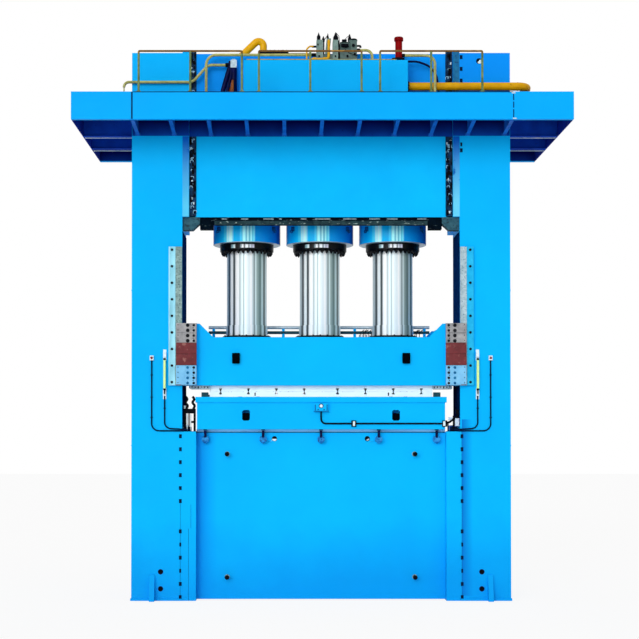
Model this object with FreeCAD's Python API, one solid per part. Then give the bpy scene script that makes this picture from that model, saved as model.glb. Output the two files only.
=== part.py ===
import FreeCAD, Part
import math
import os

from FreeCAD import Vector

# Large hydraulic press, all sizes in millimetres.
# +X is the operator's right, +Y runs from the front to the rear, +Z is up.
# The origin lies on the floor under the middle of the press.

# ---------------------------------------------------------------- driving dimensions

# cylinders and rams
RAM_RADIUS = 560
BORE_GAP = 80
BARREL_WALL = 205
BARREL_FLATS = 24
BORE_FLATS = 48
COLLAR_FLANGE = 98
COLLAR_HEIGHT = 590
COLLAR_SPACING = 164
CYLINDER_CAP = 500
CYLINDER_HEAD_SPACE = 100
STOP_COLLAR_GAP = 20
STOP_COLLAR_HEIGHT = 400
STOP_COLLAR_CUSHION = 60
GLAND_WALL = 190
GLAND_HEIGHT = 187
GLAND_FLATS = 48
GLAND_NUT_COUNT = 16
GLAND_NUT_INSET = 105
GLAND_NUT_ACROSS = 80
GLAND_NUT_HEIGHT = 108
RUNNING_CLEARANCE = 0.3
STROKE = 2000
HEAD_CLEARANCE = 125.5

# columns
FRAME_DEPTH = 3100
COLUMN_WIDTH = 1370
FOOT_HEIGHT = 130
FOOT_SPREAD = 40
FOOT_HOLE_RADIUS = 78
FOOT_HOLE_DEPTH = 260
FOOT_HOLE_HEIGHTS = (315, 780)
FOOT_HOLE_OFFSET = 590
FOOT_GUSSET_OFFSET = 840
FOOT_GUSSET_HEIGHT = 700
FOOT_GUSSET_REACH = 240
FOOT_GUSSET_THICKNESS = 60
HOIST_HOLE_RADIUS = 65
HOIST_HOLE_OFFSET = 532
HOIST_HOLE_DROP = 209

# keys along the seams at the columns' inner edges
KEY_WIDTH = 65
KEY_HEIGHT = 80
KEY_PROUD = 14
KEY_PITCH = 350
KEY_EDGE = 60
KEY_MARGIN = 46
KEY_GROUP = 6
KEY_GROUP_SPACE = 700
HEAD_KEY_COUNT = 3
HEAD_KEY_LIFT = 628

# crown
CROWN_HEIGHT = 4457
CROWN_RECESS = 100
CROWN_CORNER_WIDTH = 174
CROWN_CORNER_RECESS = 300
CROWN_SIDE_PLATE_WIDTH = 180
CROWN_SIDE_PLATE_RISE = 80
CROWN_TAIL_RISE = 243
UNDER_PLATE_THICKNESS = 100
UNDER_PLATE_HEIGHT = 215
UNDER_PLATE_RECESS = 50
LEDGE_WIDTH = 470
LEDGE_GAP = 297
LEDGE_HEIGHT = 350
LEDGE_DEPTH = 300
LEDGE_FOOT_WIDTH = 280
UPPER_STOP_WIDTH = 360
UPPER_STOP_HEIGHT = 318
UPPER_STOP_DEPTH = 300
UPPER_STOP_RECESS = 60

# bed and the plates that fill its sides
BED_TOP = 4541
BED_LIFT = 20
BED_RECESS = 300
BED_SIDE_PLATE_WIDTH = 375
BED_SIDE_PLATE_RISE = 30
BED_HOLE_RADIUS = 80
BED_HOLE_X = 1400
BED_HOLE_DROP = 176
PEG_ACROSS = 125
PEG_LENGTH = 210
PEG_INSET = 835
PEG_LOW = 620
PEG_DROP = 581

# table
BOLSTER_INSET = 355
BOLSTER_RECESS = 50
BOLSTER_HEIGHT = 879
BOLSTER_LIP = 40
BOLSTER_LIP_HEIGHT = 150
BOLSTER_BASE_HEIGHT = 90
POCKET_WIDTH = 211
POCKET_HEIGHT = 290
POCKET_CORNER = 40
POCKET_DEPTH = 320
TABLE_POCKET_X = 2034
TABLE_POCKET_DROP = 500
STOP_BLOCK_WIDTH = 200
STOP_BLOCK_HEIGHT = 130
STOP_BLOCK_DEPTH = 260
STOP_BLOCK_INSET = 155
STOP_BLOCK_RECESS = 120
CLAMP_PITCH = 1570
CLAMP_COUNT = 5
CLAMP_STEM = 64
CLAMP_STEM_LENGTH = 190
CLAMP_HEAD_ACROSS = 150
CLAMP_HEAD_HEIGHT = 110
CLAMP_HEAD_CLEAR = 14

# T-slot plates
PLATE_INSET = 380
PLATE_RECESS = 250
PLATE_THICKNESS = 154
PLATE_GAP = 0.5
T_SLOT_FIRST = 455
T_SLOT_PITCH = 759
T_SLOT_MARGIN = 100
T_SLOT_STEM = 40
T_SLOT_STEM_DEPTH = 48
T_SLOT_FOOT = 76
T_SLOT_FOOT_DEPTH = 34

# slide
SLIDE_INSET = 350
SLIDE_RECESS = 10
SLIDE_HEIGHT = 1310
SLIDE_SHOULDER_RISE = 366
SLIDE_SHOULDER_FLAT = 120
SLIDE_WALL = 90
SLIDE_POCKET_X = 2303
SLIDE_POCKET_LIFT = 733

# guides
EAR_WIDTH = 380
EAR_CLEARANCE = 20
EAR_DEPTH = 620
SHOE_OVERLAP = 155
SHOE_THICKNESS = 60
LINER_THICKNESS = 40
WEDGE_THICKNESS = 62
WEDGE_BOTTOM = 540
WEDGE_HEIGHT = 605
GUIDE_GAP = 0.3
RAIL_FACE_WIDTH = 174
RAIL_FACE_THICKNESS = 90
RAIL_FLANGE_WIDTH = 187
RAIL_FLANGE_THICKNESS = 40
RAIL_OFFSET = 4
RAIL_SPARE = 78
RAIL_BOLT_COUNT = 9
RAIL_BOLT_EDGE = 71
SHOE_BOLT_INSET = 160
SHOE_BOLT_PITCH = 140
SHOE_BOLT_COUNT = 4
SHOE_BOLT_EDGE = 58
BOLT_ACROSS = 60
BOLT_HEAD = 24

# walkway
WING_REACH = 1437
WALK_REACH = 1550
WALK_LEVEL = 3051
FASCIA_HEIGHT = 725
FASCIA_THICKNESS = 20
FASCIA_LIP = 150
DECK_THICKNESS = 18
BRACKET_COUNT = 11
BRACKET_EDGE = 160
BRACKET_THICKNESS = 24
BRACKET_WALL_DROP = 96
JOIST_PLACES = (2330, 4120)
JOIST_FLANGE = 140
STRINGER_HEIGHT = 180
STRINGER_OFFSETS = (350, 850)

# guard rail
RAIL_HEIGHT = 1100
RAIL_TUBE = 48
RAIL_INSET = 60
RAIL_BASE_SIDE = 120
RAIL_BASE_THICKNESS = 12
RAIL_SECTIONS = ((-4804, -2104), (-1659, 1026), (1511, 4183))

# equipment on the crown
TANK_WIDTH = 4390
TANK_SHIFT = 115
TANK_DEPTH = 700
TANK_HEIGHT = 1062
MANIFOLD_SPAN = (-145, 954)
MANIFOLD_DEPTH = 460
MANIFOLD_HEIGHT = 400
VALVE_WIDTH = 120
VALVE_BODY_SHARE = 0.6
PILOT_VALVES = ((-70, 120, 280), (20, -90, 320), (120, 90, 250), (230, -60, 440),
                (340, 100, 230), (430, -100, 370), (560, 60, 420), (640, -110, 260),
                (720, 80, 330), (810, -70, 200), (890, 90, 310))
FILTER_X = 2080
FILTER_FLATS = 16
FILTER_ACROSS = 216
FILTER_CAP_ACROSS = 252
FILTER_HEIGHT = 675
FILTER_CAP_HEIGHT = 134
FILTER_SETBACK = 180

# pipes, in straight runs whose corners are cut across
SMALL_PIPE = 75
SMALL_PIPE_CUT = 60
SMALL_PIPE_FLATS = 8
PIPE_SPACE = 80
PIPE_STANDOFF = 80
LEFT_PIPE_OFFSETS = (200, -281, -698, -1173)
LEFT_PIPE_LEVELS = (590, 1053)
RISER_X = -3108
RISER_LEVEL = 1309
VALVE_PIPE_X = 1376
VALVE_PIPE_LEVEL = 350
FILTER_PIPE_X = 3053
FILTER_PIPE_LEVEL = 165
SUCTION_PIPE = 210
SUCTION_PIPE_FLATS = 12
SUCTION_PIPE_X = (-1569, -2242)
SUCTION_PIPE_SETBACK = 350
SUCTION_PIPE_RISE = 500
SUCTION_PIPE_FOOT = 100
SUCTION_PIPE_CUT = 190
FILLING_PIPE = 219
FILLING_PIPE_FLATS = 16
FILLING_PIPE_LEVEL = 430
FILLING_PIPE_CUT = 190
FILLING_PIPE_OFFSET = 450
FILLING_PIPE_RUN = 1100
FILLING_FLANGE = 290
FILLING_FLANGE_THICKNESS = 50

# drain pipes beside the tank
VALVE_BLOCK = (190, 160, 243)
VALVE_BLOCK_GAP = 200
VALVE_BLOCK_DROP = 93
DRAIN_PIPE = 80
DRAIN_PIPE_SPLAY = 220
DRAIN_BEND_HEIGHTS = (250, 750)
COUPLING = 120
RETURN_PIPE = 57
RETURN_PIPE_CUT = 80
RETURN_PIPE_SETBACK = 190
RETURN_PIPE_RISE = 95
RETURN_PIPE_RUN = (-210, 445, 715, 835, 880)
RETURN_PIPE_DROP = (0, 15, 180, 600)

# pipe across the top of the slide
CROSS_PIPE = 90
CROSS_PIPE_HALF = 3200
CROSS_PIPE_LEVELS = (283, 428)
CROSS_PIPE_Y = 900
CROSS_PIPE_POST = 80
CROSS_PIPE_POSTS = (-3025, -1025, 1025, 3025)

# sensor on the table's front and its conduit
TAB_HALF = 150
TAB_HEIGHT = 205
TAB_THICKNESS = 40
TAB_FOOT_HALF = 190
TAB_FOOT_DEPTH = 110
TAB_FOOT_HEIGHT = 24
TAB_DROP = 20
TAB_BOSS = 96
TAB_BOSS_LENGTH = 60
CONDUIT = 24
CONDUIT_FLATS = 6
CONDUIT_CUT = 60
CONDUIT_LEVEL = 155
CLIP_OFFSETS = (886, 3350)
CLIP_WIDTH = 50
CLIP_HEIGHT = 120
CLIP_DEPTH = 60

# conduits down the column faces into boxes beside the table
BOX_CONDUIT_LEVEL = 30
CURTAIN_CONDUIT_LEVEL = 66
CONDUIT_TURN_X = (100, 180)
CURTAIN_CONDUIT_SPLAY = 170
CURTAIN_CONDUIT_BEND = 140
CONDUIT_REACH = 180
JUNCTION_BOX = (200, 140, 130)

# small fittings on the column faces
BUTTON_BOX = (105, 70, 130)
BUTTON_BOX_OFFSET = 823
BUTTON_BOX_LIFT = 1050
BUTTON_STEM = 24
BUTTON_STEM_LENGTH = 34
BUTTON_CAP = 50
BUTTON_CAP_HEIGHT = 18
BUTTON_TRAVEL = 6
CURTAIN_OFFSET = 472
CURTAIN_LIFT = 175
CURTAIN_LENGTH = 865
CURTAIN_WIDTH = 92
CURTAIN_DEPTH = 60
CURTAIN_STANDOFF = 50
CURTAIN_BRACKET_OVERLAP = 60
CURTAIN_BRACKET_HEIGHT = 300

# ---------------------------------------------------------------- worked-out places

SIDES = {"left": -1, "right": 1}

# across the press: cylinders, then the window that they need, then the columns
BORE_RADIUS = RAM_RADIUS + BORE_GAP
BARREL_ACROSS = 2 * (BORE_RADIUS + BARREL_WALL)
COLLAR_RADIUS = BARREL_ACROSS / 2 + COLLAR_FLANGE
GLAND_RADIUS = RAM_RADIUS + GLAND_WALL
CYLINDER_PITCH = 2 * COLLAR_RADIUS + COLLAR_SPACING
CYLINDER_PLACES = {"left": -CYLINDER_PITCH, "middle": 0, "right": CYLINDER_PITCH}
LEDGE_INNER = CYLINDER_PITCH + COLLAR_RADIUS + LEDGE_GAP
COLUMN_INNER = LEDGE_INNER + LEDGE_WIDTH
COLUMN_OUTER = COLUMN_INNER + COLUMN_WIDTH
CROWN_HALF = COLUMN_INNER - CROWN_SIDE_PLATE_WIDTH
CROWN_FACE_HALF = CROWN_HALF - CROWN_CORNER_WIDTH
BED_HALF = COLUMN_INNER - BED_SIDE_PLATE_WIDTH
BOLSTER_HALF = COLUMN_INNER - BOLSTER_INSET
SLIDE_HALF = COLUMN_INNER - SLIDE_INSET
PLATE_HALF = SLIDE_HALF - PLATE_INSET
EAR_OUTER = COLUMN_INNER - EAR_CLEARANCE
EAR_INNER = EAR_OUTER - EAR_WIDTH
SHOE_OUTER = COLUMN_INNER + SHOE_OVERLAP
RAIL_INNER = COLUMN_INNER + RAIL_OFFSET
WALK_HALF_WIDTH = COLUMN_OUTER + WING_REACH

# from front to rear
FRAME_FRONT = -FRAME_DEPTH / 2
CROWN_FRONT = FRAME_FRONT + CROWN_RECESS
BED_FRONT = FRAME_FRONT + BED_RECESS
BOLSTER_FRONT = FRAME_FRONT + BOLSTER_RECESS
SLIDE_FRONT = FRAME_FRONT + SLIDE_RECESS
PLATE_FRONT = FRAME_FRONT + PLATE_RECESS
GUIDE_FACE = FRAME_FRONT - RAIL_FACE_THICKNESS
SHOE_BACK = GUIDE_FACE - GUIDE_GAP
SHOE_FRONT = SHOE_BACK - SHOE_THICKNESS
WALK_FRONT = FRAME_FRONT - WALK_REACH

# upwards: bed, table, plates, slide, stroke, cylinders, crown
BOLSTER_BOTTOM = BED_TOP + BOLSTER_BASE_HEIGHT
TABLE_TOP = BOLSTER_BOTTOM + BOLSTER_HEIGHT
PLATE_TOP = TABLE_TOP + PLATE_THICKNESS
UPPER_PLATE_BOTTOM = PLATE_TOP + PLATE_GAP
SLIDE_BOTTOM = UPPER_PLATE_BOTTOM + PLATE_THICKNESS
SLIDE_TOP = SLIDE_BOTTOM + SLIDE_HEIGHT
SHOULDER_TOP = SLIDE_TOP + SLIDE_SHOULDER_RISE
RAIL_LENGTH = SHOULDER_TOP - SLIDE_BOTTOM + STROKE + RAIL_SPARE
GLAND_BOTTOM = SHOULDER_TOP + STROKE + HEAD_CLEARANCE
COLLAR_BOTTOM = GLAND_BOTTOM + GLAND_HEIGHT
CROWN_BOTTOM = COLLAR_BOTTOM + COLLAR_HEIGHT
STOP_COLLAR_BOTTOM = COLLAR_BOTTOM + STOP_COLLAR_CUSHION
BORE_TOP = STOP_COLLAR_BOTTOM + STOP_COLLAR_HEIGHT + STROKE + CYLINDER_HEAD_SPACE
CYLINDER_TOP = BORE_TOP + CYLINDER_CAP
FRAME_HEIGHT = CROWN_BOTTOM + CROWN_HEIGHT
DECK_TOP = CROWN_BOTTOM + WALK_LEVEL
DECK_BOTTOM = DECK_TOP - DECK_THICKNESS
FASCIA_BOTTOM = DECK_TOP - FASCIA_HEIGHT
TANK_TOP = DECK_TOP + TANK_HEIGHT
TANK_LEFT = TANK_SHIFT - TANK_WIDTH / 2
TANK_RIGHT = TANK_SHIFT + TANK_WIDTH / 2
TANK_FRONT = CROWN_FRONT - TANK_DEPTH
TANK_MIDDLE = CROWN_FRONT - TANK_DEPTH / 2
PIPE_ROW = FRAME_FRONT - PIPE_STANDOFF
BED_SIDE_TOP = BED_TOP + BED_SIDE_PLATE_RISE
CONDUIT_SEAT = CONDUIT / 2 / math.cos(math.pi / CONDUIT_FLATS)
BUTTON_BOX_X = COLUMN_INNER + BUTTON_BOX_OFFSET
BUTTON_BOX_Z = TABLE_TOP + BUTTON_BOX_LIFT
CURTAIN_X = COLUMN_INNER + CURTAIN_OFFSET
CURTAIN_BOTTOM = TABLE_TOP + CURTAIN_LIFT
CURTAIN_TOP = CURTAIN_BOTTOM + CURTAIN_LENGTH
CURTAIN_FOOT = CURTAIN_BOTTOM + CURTAIN_BRACKET_OVERLAP - CURTAIN_BRACKET_HEIGHT


# ---------------------------------------------------------------- shape helpers

def block(x_low, x_high, y_low, y_high, z_low, z_high):
    """A box between two corners."""
    corner = Vector(x_low, y_low, z_low)
    return Part.makeBox(x_high - x_low, y_high - y_low, z_high - z_low, corner)


def prism_yz(points, x_low, x_high):
    """A flat outline in the YZ plane, carried from x_low to x_high."""
    corners = [Vector(x_low, y, z) for y, z in points]
    face = Part.Face(Part.makePolygon(corners + corners[:1]))
    return face.extrude(Vector(x_high - x_low, 0, 0))


def prism_xz(points, y_low, y_high):
    """A flat outline in the XZ plane, carried from y_low to y_high."""
    corners = [Vector(x, y_low, z) for x, z in points]
    face = Part.Face(Part.makePolygon(corners + corners[:1]))
    return face.extrude(Vector(0, y_high - y_low, 0))


def upright(x, y, z_low, z_high, radius):
    """A round bar standing along Z."""
    return Part.makeCylinder(radius, z_high - z_low, Vector(x, y, z_low))


def across(x, z, y_low, y_high, radius):
    """A round bar lying along Y."""
    return Part.makeCylinder(radius, y_high - y_low, Vector(x, y_low, z), Vector(0, 1, 0))


def polygon_outline(centre, direction, sides, across_flats):
    """A regular closed outline square to a direction."""
    radius = across_flats / 2 / math.cos(math.pi / sides)
    turn = FreeCAD.Rotation(Vector(0, 0, 1), direction)
    corners = []
    for step in range(sides):
        angle = 2 * math.pi * (step + 0.5) / sides
        flat = Vector(radius * math.cos(angle), radius * math.sin(angle), 0)
        corners.append(centre + turn.multVec(flat))
    return Part.makePolygon(corners + corners[:1])


def polygon_bar(centre, direction, sides, across_flats, length):
    """A bar with a regular outline that starts at centre and runs along direction."""
    face = Part.Face(polygon_outline(centre, direction, sides, across_flats))
    return face.extrude(direction * length)


def hexagon(centre, direction, across_flats, height):
    """A hexagonal nut or bolt head that starts at centre."""
    return polygon_bar(centre, direction, 6, across_flats, height)


def cut_corner_pocket(x, z, y_low, y_high):
    """The space of a hoisting pocket with cut corners, lying along Y."""
    wide = POCKET_WIDTH / 2
    high = POCKET_HEIGHT / 2
    outline = [(wide - POCKET_CORNER, high), (wide, high - POCKET_CORNER),
               (wide, POCKET_CORNER - high), (wide - POCKET_CORNER, -high),
               (POCKET_CORNER - wide, -high), (-wide, POCKET_CORNER - high),
               (-wide, high - POCKET_CORNER), (POCKET_CORNER - wide, high)]
    return prism_xz([(x + dx, z + dz) for dx, dz in outline], y_low, y_high)


def mirror_x(shape):
    """The same shape on the other side of the press."""
    return shape.mirror(Vector(0, 0, 0), Vector(1, 0, 0))


def mirror_y(shape):
    """The same shape turned from the front to the rear."""
    return shape.mirror(Vector(0, 0, 0), Vector(0, 1, 0))


def to_side(shape, sign):
    """A shape drawn on the right, kept there or mirrored to the left."""
    return shape if sign > 0 else mirror_x(shape)


def to_end(shape, sign):
    """A shape drawn at the front, kept there or mirrored to the rear."""
    return shape if sign > 0 else mirror_y(shape)


def four_corners(shape):
    """A shape drawn at the right front, repeated at all four corners."""
    return [to_end(to_side(shape, side), end) for side in (-1, 1) for end in (1, -1)]


def mitred_pipe(points, across, flats, corner_cut):
    """A pipe of straight runs, with each corner cut across by a short mitred run."""
    corners = [Vector(*point) for point in points]
    path = corners[:1]
    for before, corner, after in zip(corners, corners[1:], corners[2:]):
        path.append(corner + (before - corner).normalize() * corner_cut)
        path.append(corner + (after - corner).normalize() * corner_cut)
    path.append(corners[-1])
    heading = (path[1] - path[0]).normalize()
    outline = polygon_outline(path[0], heading, flats, across)
    return Part.makePolygon(path).makePipeShell([outline], True, False, 1)


def save(name, *solids):
    """Writes one sub-part, a single solid or a group of separate solids."""
    if len(solids) == 1:
        shape = solids[0].removeSplitter()
        shape.exportStep(f"parts/{name}.step")
        return
    Part.makeCompound(list(solids)).exportStep(f"parts/{name}.step")


# ---------------------------------------------------------------- frame

def column():
    """The right column: box upright, foot flange, gussets and foot holes."""
    half_depth = FRAME_DEPTH / 2
    body = block(COLUMN_INNER, COLUMN_OUTER, -half_depth, half_depth, 0, FRAME_HEIGHT)
    foot = block(COLUMN_INNER, COLUMN_OUTER + FOOT_SPREAD, FRAME_FRONT - FOOT_SPREAD,
                 half_depth + FOOT_SPREAD, 0, FOOT_HEIGHT)
    gusset_x = COLUMN_INNER + FOOT_GUSSET_OFFSET - FOOT_GUSSET_THICKNESS / 2
    gusset = prism_yz([(FRAME_FRONT, 0), (FRAME_FRONT, FOOT_GUSSET_HEIGHT),
                       (FRAME_FRONT - FOOT_SPREAD, FOOT_GUSSET_HEIGHT),
                       (FRAME_FRONT - FOOT_GUSSET_REACH, FOOT_HEIGHT),
                       (FRAME_FRONT - FOOT_GUSSET_REACH, 0)],
                      gusset_x, gusset_x + FOOT_GUSSET_THICKNESS)
    body = body.fuse([foot, gusset, mirror_y(gusset)])
    cuts = []
    for height in FOOT_HOLE_HEIGHTS:
        cuts.append(across(COLUMN_INNER + FOOT_HOLE_OFFSET, height, FRAME_FRONT - 1,
                           FRAME_FRONT + FOOT_HOLE_DEPTH, FOOT_HOLE_RADIUS))
    return body.cut(cuts)


def key_places():
    """Centres of the keys on the right column's front face, group by group upwards."""
    bed_group = BED_TOP - KEY_MARGIN * 2 - (KEY_GROUP - 1) * KEY_PITCH
    low_start = FOOT_HEIGHT + KEY_MARGIN
    low_count = int((bed_group - KEY_GROUP_SPACE - low_start) / KEY_PITCH) + 1
    groups = ((low_start, low_count), (bed_group, KEY_GROUP),
              (CROWN_BOTTOM + KEY_MARGIN, KEY_GROUP), (DECK_TOP + HEAD_KEY_LIFT, HEAD_KEY_COUNT))
    for start, count in groups:
        for step in range(count):
            yield COLUMN_INNER + KEY_EDGE, start + step * KEY_PITCH


def build_columns():
    """Both columns, with the hoisting hole through the right one's head."""
    right = column()
    save("left_column", mirror_x(right))
    half_depth = FRAME_DEPTH / 2
    hoist_hole = across(COLUMN_INNER + HOIST_HOLE_OFFSET, FRAME_HEIGHT - HOIST_HOLE_DROP,
                        -half_depth - 1, half_depth + 1, HOIST_HOLE_RADIUS)
    save("right_column", right.cut(hoist_hole))


def build_keys():
    """The dark keys along the seams, each standing a little proud of the face."""
    keys = []
    for x, z in key_places():
        key = block(x - KEY_WIDTH / 2, x + KEY_WIDTH / 2, FRAME_FRONT - KEY_PROUD,
                    FRAME_FRONT, z - KEY_HEIGHT / 2, z + KEY_HEIGHT / 2)
        keys += [key, mirror_x(key)]
    save("column_keys", *keys)


def build_bed():
    """The bottom cross-member, the plates beside it and the pegs on its wall."""
    bed = block(-BED_HALF, BED_HALF, BED_FRONT, -BED_FRONT, BED_LIFT, BED_TOP)
    hole = across(BED_HOLE_X, BED_TOP - BED_HOLE_DROP, BED_FRONT - 1, 1 - BED_FRONT,
                  BED_HOLE_RADIUS)
    save("bed", bed.cut([hole, mirror_x(hole)]))
    side_plate = block(BED_HALF, COLUMN_INNER, FRAME_FRONT, -FRAME_FRONT,
                       0, BED_TOP + BED_SIDE_PLATE_RISE)
    save("bed_side_plates", mirror_x(side_plate), side_plate)
    pegs = []
    for height in (PEG_LOW, BED_TOP - PEG_DROP):
        seat = Vector(BED_HALF - PEG_INSET, BED_FRONT, height)
        peg = hexagon(seat, Vector(0, -1, 0), PEG_ACROSS, PEG_LENGTH)
        pegs += [peg, mirror_x(peg)]
    save("lifting_pegs", *pegs)


def tail_slope(half_width):
    """The wedge taken off the crown's underside behind the cylinders' middle."""
    rear = -FRAME_FRONT
    low = CROWN_BOTTOM - 1
    high = CROWN_BOTTOM + CROWN_TAIL_RISE
    return prism_yz([(0, low), (0, CROWN_BOTTOM), (rear, high), (rear + 1, high),
                     (rear + 1, low)], -half_width - 1, half_width + 1)


def build_crown():
    """The top cross-member, its side plates, under plate, ledges and upper stops."""
    crown = block(-CROWN_HALF, CROWN_HALF, CROWN_FRONT, -CROWN_FRONT, CROWN_BOTTOM, FRAME_HEIGHT)
    corner = block(CROWN_FACE_HALF, CROWN_HALF + 1, CROWN_FRONT - 1,
                   CROWN_FRONT + CROWN_CORNER_RECESS, CROWN_BOTTOM - 1, FRAME_HEIGHT + 1)
    cuts = four_corners(corner) + [tail_slope(CROWN_HALF)]
    seat = BARREL_ACROSS / 2 + RUNNING_CLEARANCE
    for x in CYLINDER_PLACES.values():
        cuts.append(block(x - seat, x + seat, -seat, seat, CROWN_BOTTOM - 1,
                          CYLINDER_TOP + RUNNING_CLEARANCE))
    save("crown", crown.cut(cuts))

    side_plate = block(CROWN_HALF, COLUMN_INNER, FRAME_FRONT, -FRAME_FRONT, CROWN_BOTTOM,
                       FRAME_HEIGHT + CROWN_SIDE_PLATE_RISE).cut(tail_slope(COLUMN_INNER))
    ledge_bottom = CROWN_BOTTOM - LEDGE_HEIGHT
    ledge = prism_xz([(LEDGE_INNER, CROWN_BOTTOM), (LEDGE_INNER, CROWN_BOTTOM - LEDGE_HEIGHT / 2),
                      (COLUMN_INNER - LEDGE_FOOT_WIDTH, ledge_bottom),
                      (COLUMN_INNER, ledge_bottom), (COLUMN_INNER, CROWN_BOTTOM)],
                     CROWN_FRONT, CROWN_FRONT + LEDGE_DEPTH)
    save("crown_side_plates", mirror_x(side_plate), side_plate)
    save("crown_ledges", mirror_x(ledge), ledge)

    plate_front = CROWN_FRONT + UNDER_PLATE_RECESS
    plate_half = LEDGE_INNER - UPPER_STOP_WIDTH
    save("crown_under_plate",
         block(-plate_half, plate_half, plate_front, plate_front + UNDER_PLATE_THICKNESS,
               CROWN_BOTTOM - UNDER_PLATE_HEIGHT, CROWN_BOTTOM))

    stop_front = CROWN_FRONT + UPPER_STOP_RECESS
    stop = block(plate_half, LEDGE_INNER, stop_front, stop_front + UPPER_STOP_DEPTH,
                 CROWN_BOTTOM - UPPER_STOP_HEIGHT, CROWN_BOTTOM)
    save("upper_stop_blocks", mirror_x(stop), stop)


# ---------------------------------------------------------------- cylinders and rams

def cylinder(x):
    """One cylinder: turned collar, forged barrel with flats, and the blind bore."""
    collar = upright(x, 0, COLLAR_BOTTOM, CROWN_BOTTOM, COLLAR_RADIUS)
    barrel = polygon_bar(Vector(x, 0, CROWN_BOTTOM), Vector(0, 0, 1), BARREL_FLATS,
                         BARREL_ACROSS, CYLINDER_TOP - CROWN_BOTTOM)
    bore = polygon_bar(Vector(x, 0, COLLAR_BOTTOM), Vector(0, 0, 1), BORE_FLATS,
                       2 * BORE_RADIUS, BORE_TOP - COLLAR_BOTTOM)
    return collar.fuse(barrel).cut(bore)


def gland(x):
    """The bearing ring that closes a cylinder's mouth round its ram."""
    ring = polygon_bar(Vector(x, 0, GLAND_BOTTOM), Vector(0, 0, 1), GLAND_FLATS,
                       2 * GLAND_RADIUS, GLAND_HEIGHT)
    return ring.cut(upright(x, 0, GLAND_BOTTOM, COLLAR_BOTTOM, RAM_RADIUS + RUNNING_CLEARANCE))


def gland_nuts(x):
    """The ring of nuts under one gland."""
    nuts = []
    circle = RAM_RADIUS + GLAND_NUT_INSET
    for step in range(GLAND_NUT_COUNT):
        angle = 2 * math.pi * (step + 0.5) / GLAND_NUT_COUNT
        place = Vector(x + circle * math.cos(angle), circle * math.sin(angle), GLAND_BOTTOM)
        nuts.append(hexagon(place, Vector(0, 0, -1), GLAND_NUT_ACROSS, GLAND_NUT_HEIGHT))
    return nuts


def ram(x):
    """One ram with the stop collar that keeps it in its cylinder."""
    rod = upright(x, 0, SLIDE_TOP, STOP_COLLAR_BOTTOM + STOP_COLLAR_HEIGHT, RAM_RADIUS)
    collar = polygon_bar(Vector(x, 0, STOP_COLLAR_BOTTOM), Vector(0, 0, 1), BARREL_FLATS,
                         2 * (BORE_RADIUS - STOP_COLLAR_GAP), STOP_COLLAR_HEIGHT)
    return rod.fuse(collar)


def build_cylinders():
    """Three cylinders with their rams, glands and gland nuts."""
    for name, x in CYLINDER_PLACES.items():
        save(f"{name}_cylinder", cylinder(x))
        save(f"{name}_gland", gland(x))
        save(f"{name}_ram", ram(x))
    save("gland_nuts", *[nut for x in CYLINDER_PLACES.values() for nut in gland_nuts(x)])


# ---------------------------------------------------------------- table and slide

def t_slots(face_z, direction):
    """The spaces of the T-slots cut from a face, upwards or downwards."""
    mouth = face_z - direction
    step_z = face_z + direction * T_SLOT_STEM_DEPTH
    floor = step_z + direction * T_SLOT_FOOT_DEPTH
    stem = T_SLOT_STEM / 2
    foot = T_SLOT_FOOT / 2
    count = int((PLATE_HALF - T_SLOT_MARGIN - T_SLOT_FIRST) / T_SLOT_PITCH) + 1
    spaces = []
    for step in range(count):
        x = T_SLOT_FIRST + step * T_SLOT_PITCH
        outline = [(x - stem, mouth), (x + stem, mouth), (x + stem, step_z), (x + foot, step_z),
                   (x + foot, floor), (x - foot, floor), (x - foot, step_z), (x - stem, step_z)]
        space = prism_xz(outline, PLATE_FRONT - 1, 1 - PLATE_FRONT)
        spaces += [space, mirror_x(space)]
    return spaces


def build_plates():
    """The two T-slot plates, one on the table and one under the slide."""
    lower = block(-PLATE_HALF, PLATE_HALF, PLATE_FRONT, -PLATE_FRONT, TABLE_TOP, PLATE_TOP)
    save("lower_t_slot_plate", lower.cut(t_slots(PLATE_TOP, -1)))
    upper = block(-PLATE_HALF, PLATE_HALF, PLATE_FRONT, -PLATE_FRONT,
                  UPPER_PLATE_BOTTOM, SLIDE_BOTTOM)
    save("upper_t_slot_plate", upper.cut(t_slots(UPPER_PLATE_BOTTOM, 1)))


def build_table():
    """The bolster on its wear plate, with its pockets and the stop blocks on top."""
    lip_bottom = TABLE_TOP - BOLSTER_LIP_HEIGHT
    wall = BOLSTER_FRONT + BOLSTER_LIP
    wall_half = BOLSTER_HALF - BOLSTER_LIP
    body = block(-wall_half, wall_half, wall, -wall, BOLSTER_BOTTOM, lip_bottom)
    top = block(-BOLSTER_HALF, BOLSTER_HALF, BOLSTER_FRONT, -BOLSTER_FRONT,
                lip_bottom, TABLE_TOP)
    pocket = cut_corner_pocket(TABLE_POCKET_X, TABLE_TOP - TABLE_POCKET_DROP, wall - 20,
                               wall + POCKET_DEPTH)
    save("bolster", body.fuse(top).cut(four_corners(pocket)))
    base_half = BED_HALF - 1
    save("bolster_base_plate",
         block(-base_half, base_half, BED_FRONT, -BED_FRONT, BED_TOP, BOLSTER_BOTTOM))
    stop_outer = BOLSTER_HALF - STOP_BLOCK_INSET
    stop_front = BOLSTER_FRONT + STOP_BLOCK_RECESS
    stop = block(stop_outer - STOP_BLOCK_WIDTH, stop_outer, stop_front,
                 stop_front + STOP_BLOCK_DEPTH, TABLE_TOP, TABLE_TOP + STOP_BLOCK_HEIGHT)
    save("table_stop_blocks", *four_corners(stop))


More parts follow.
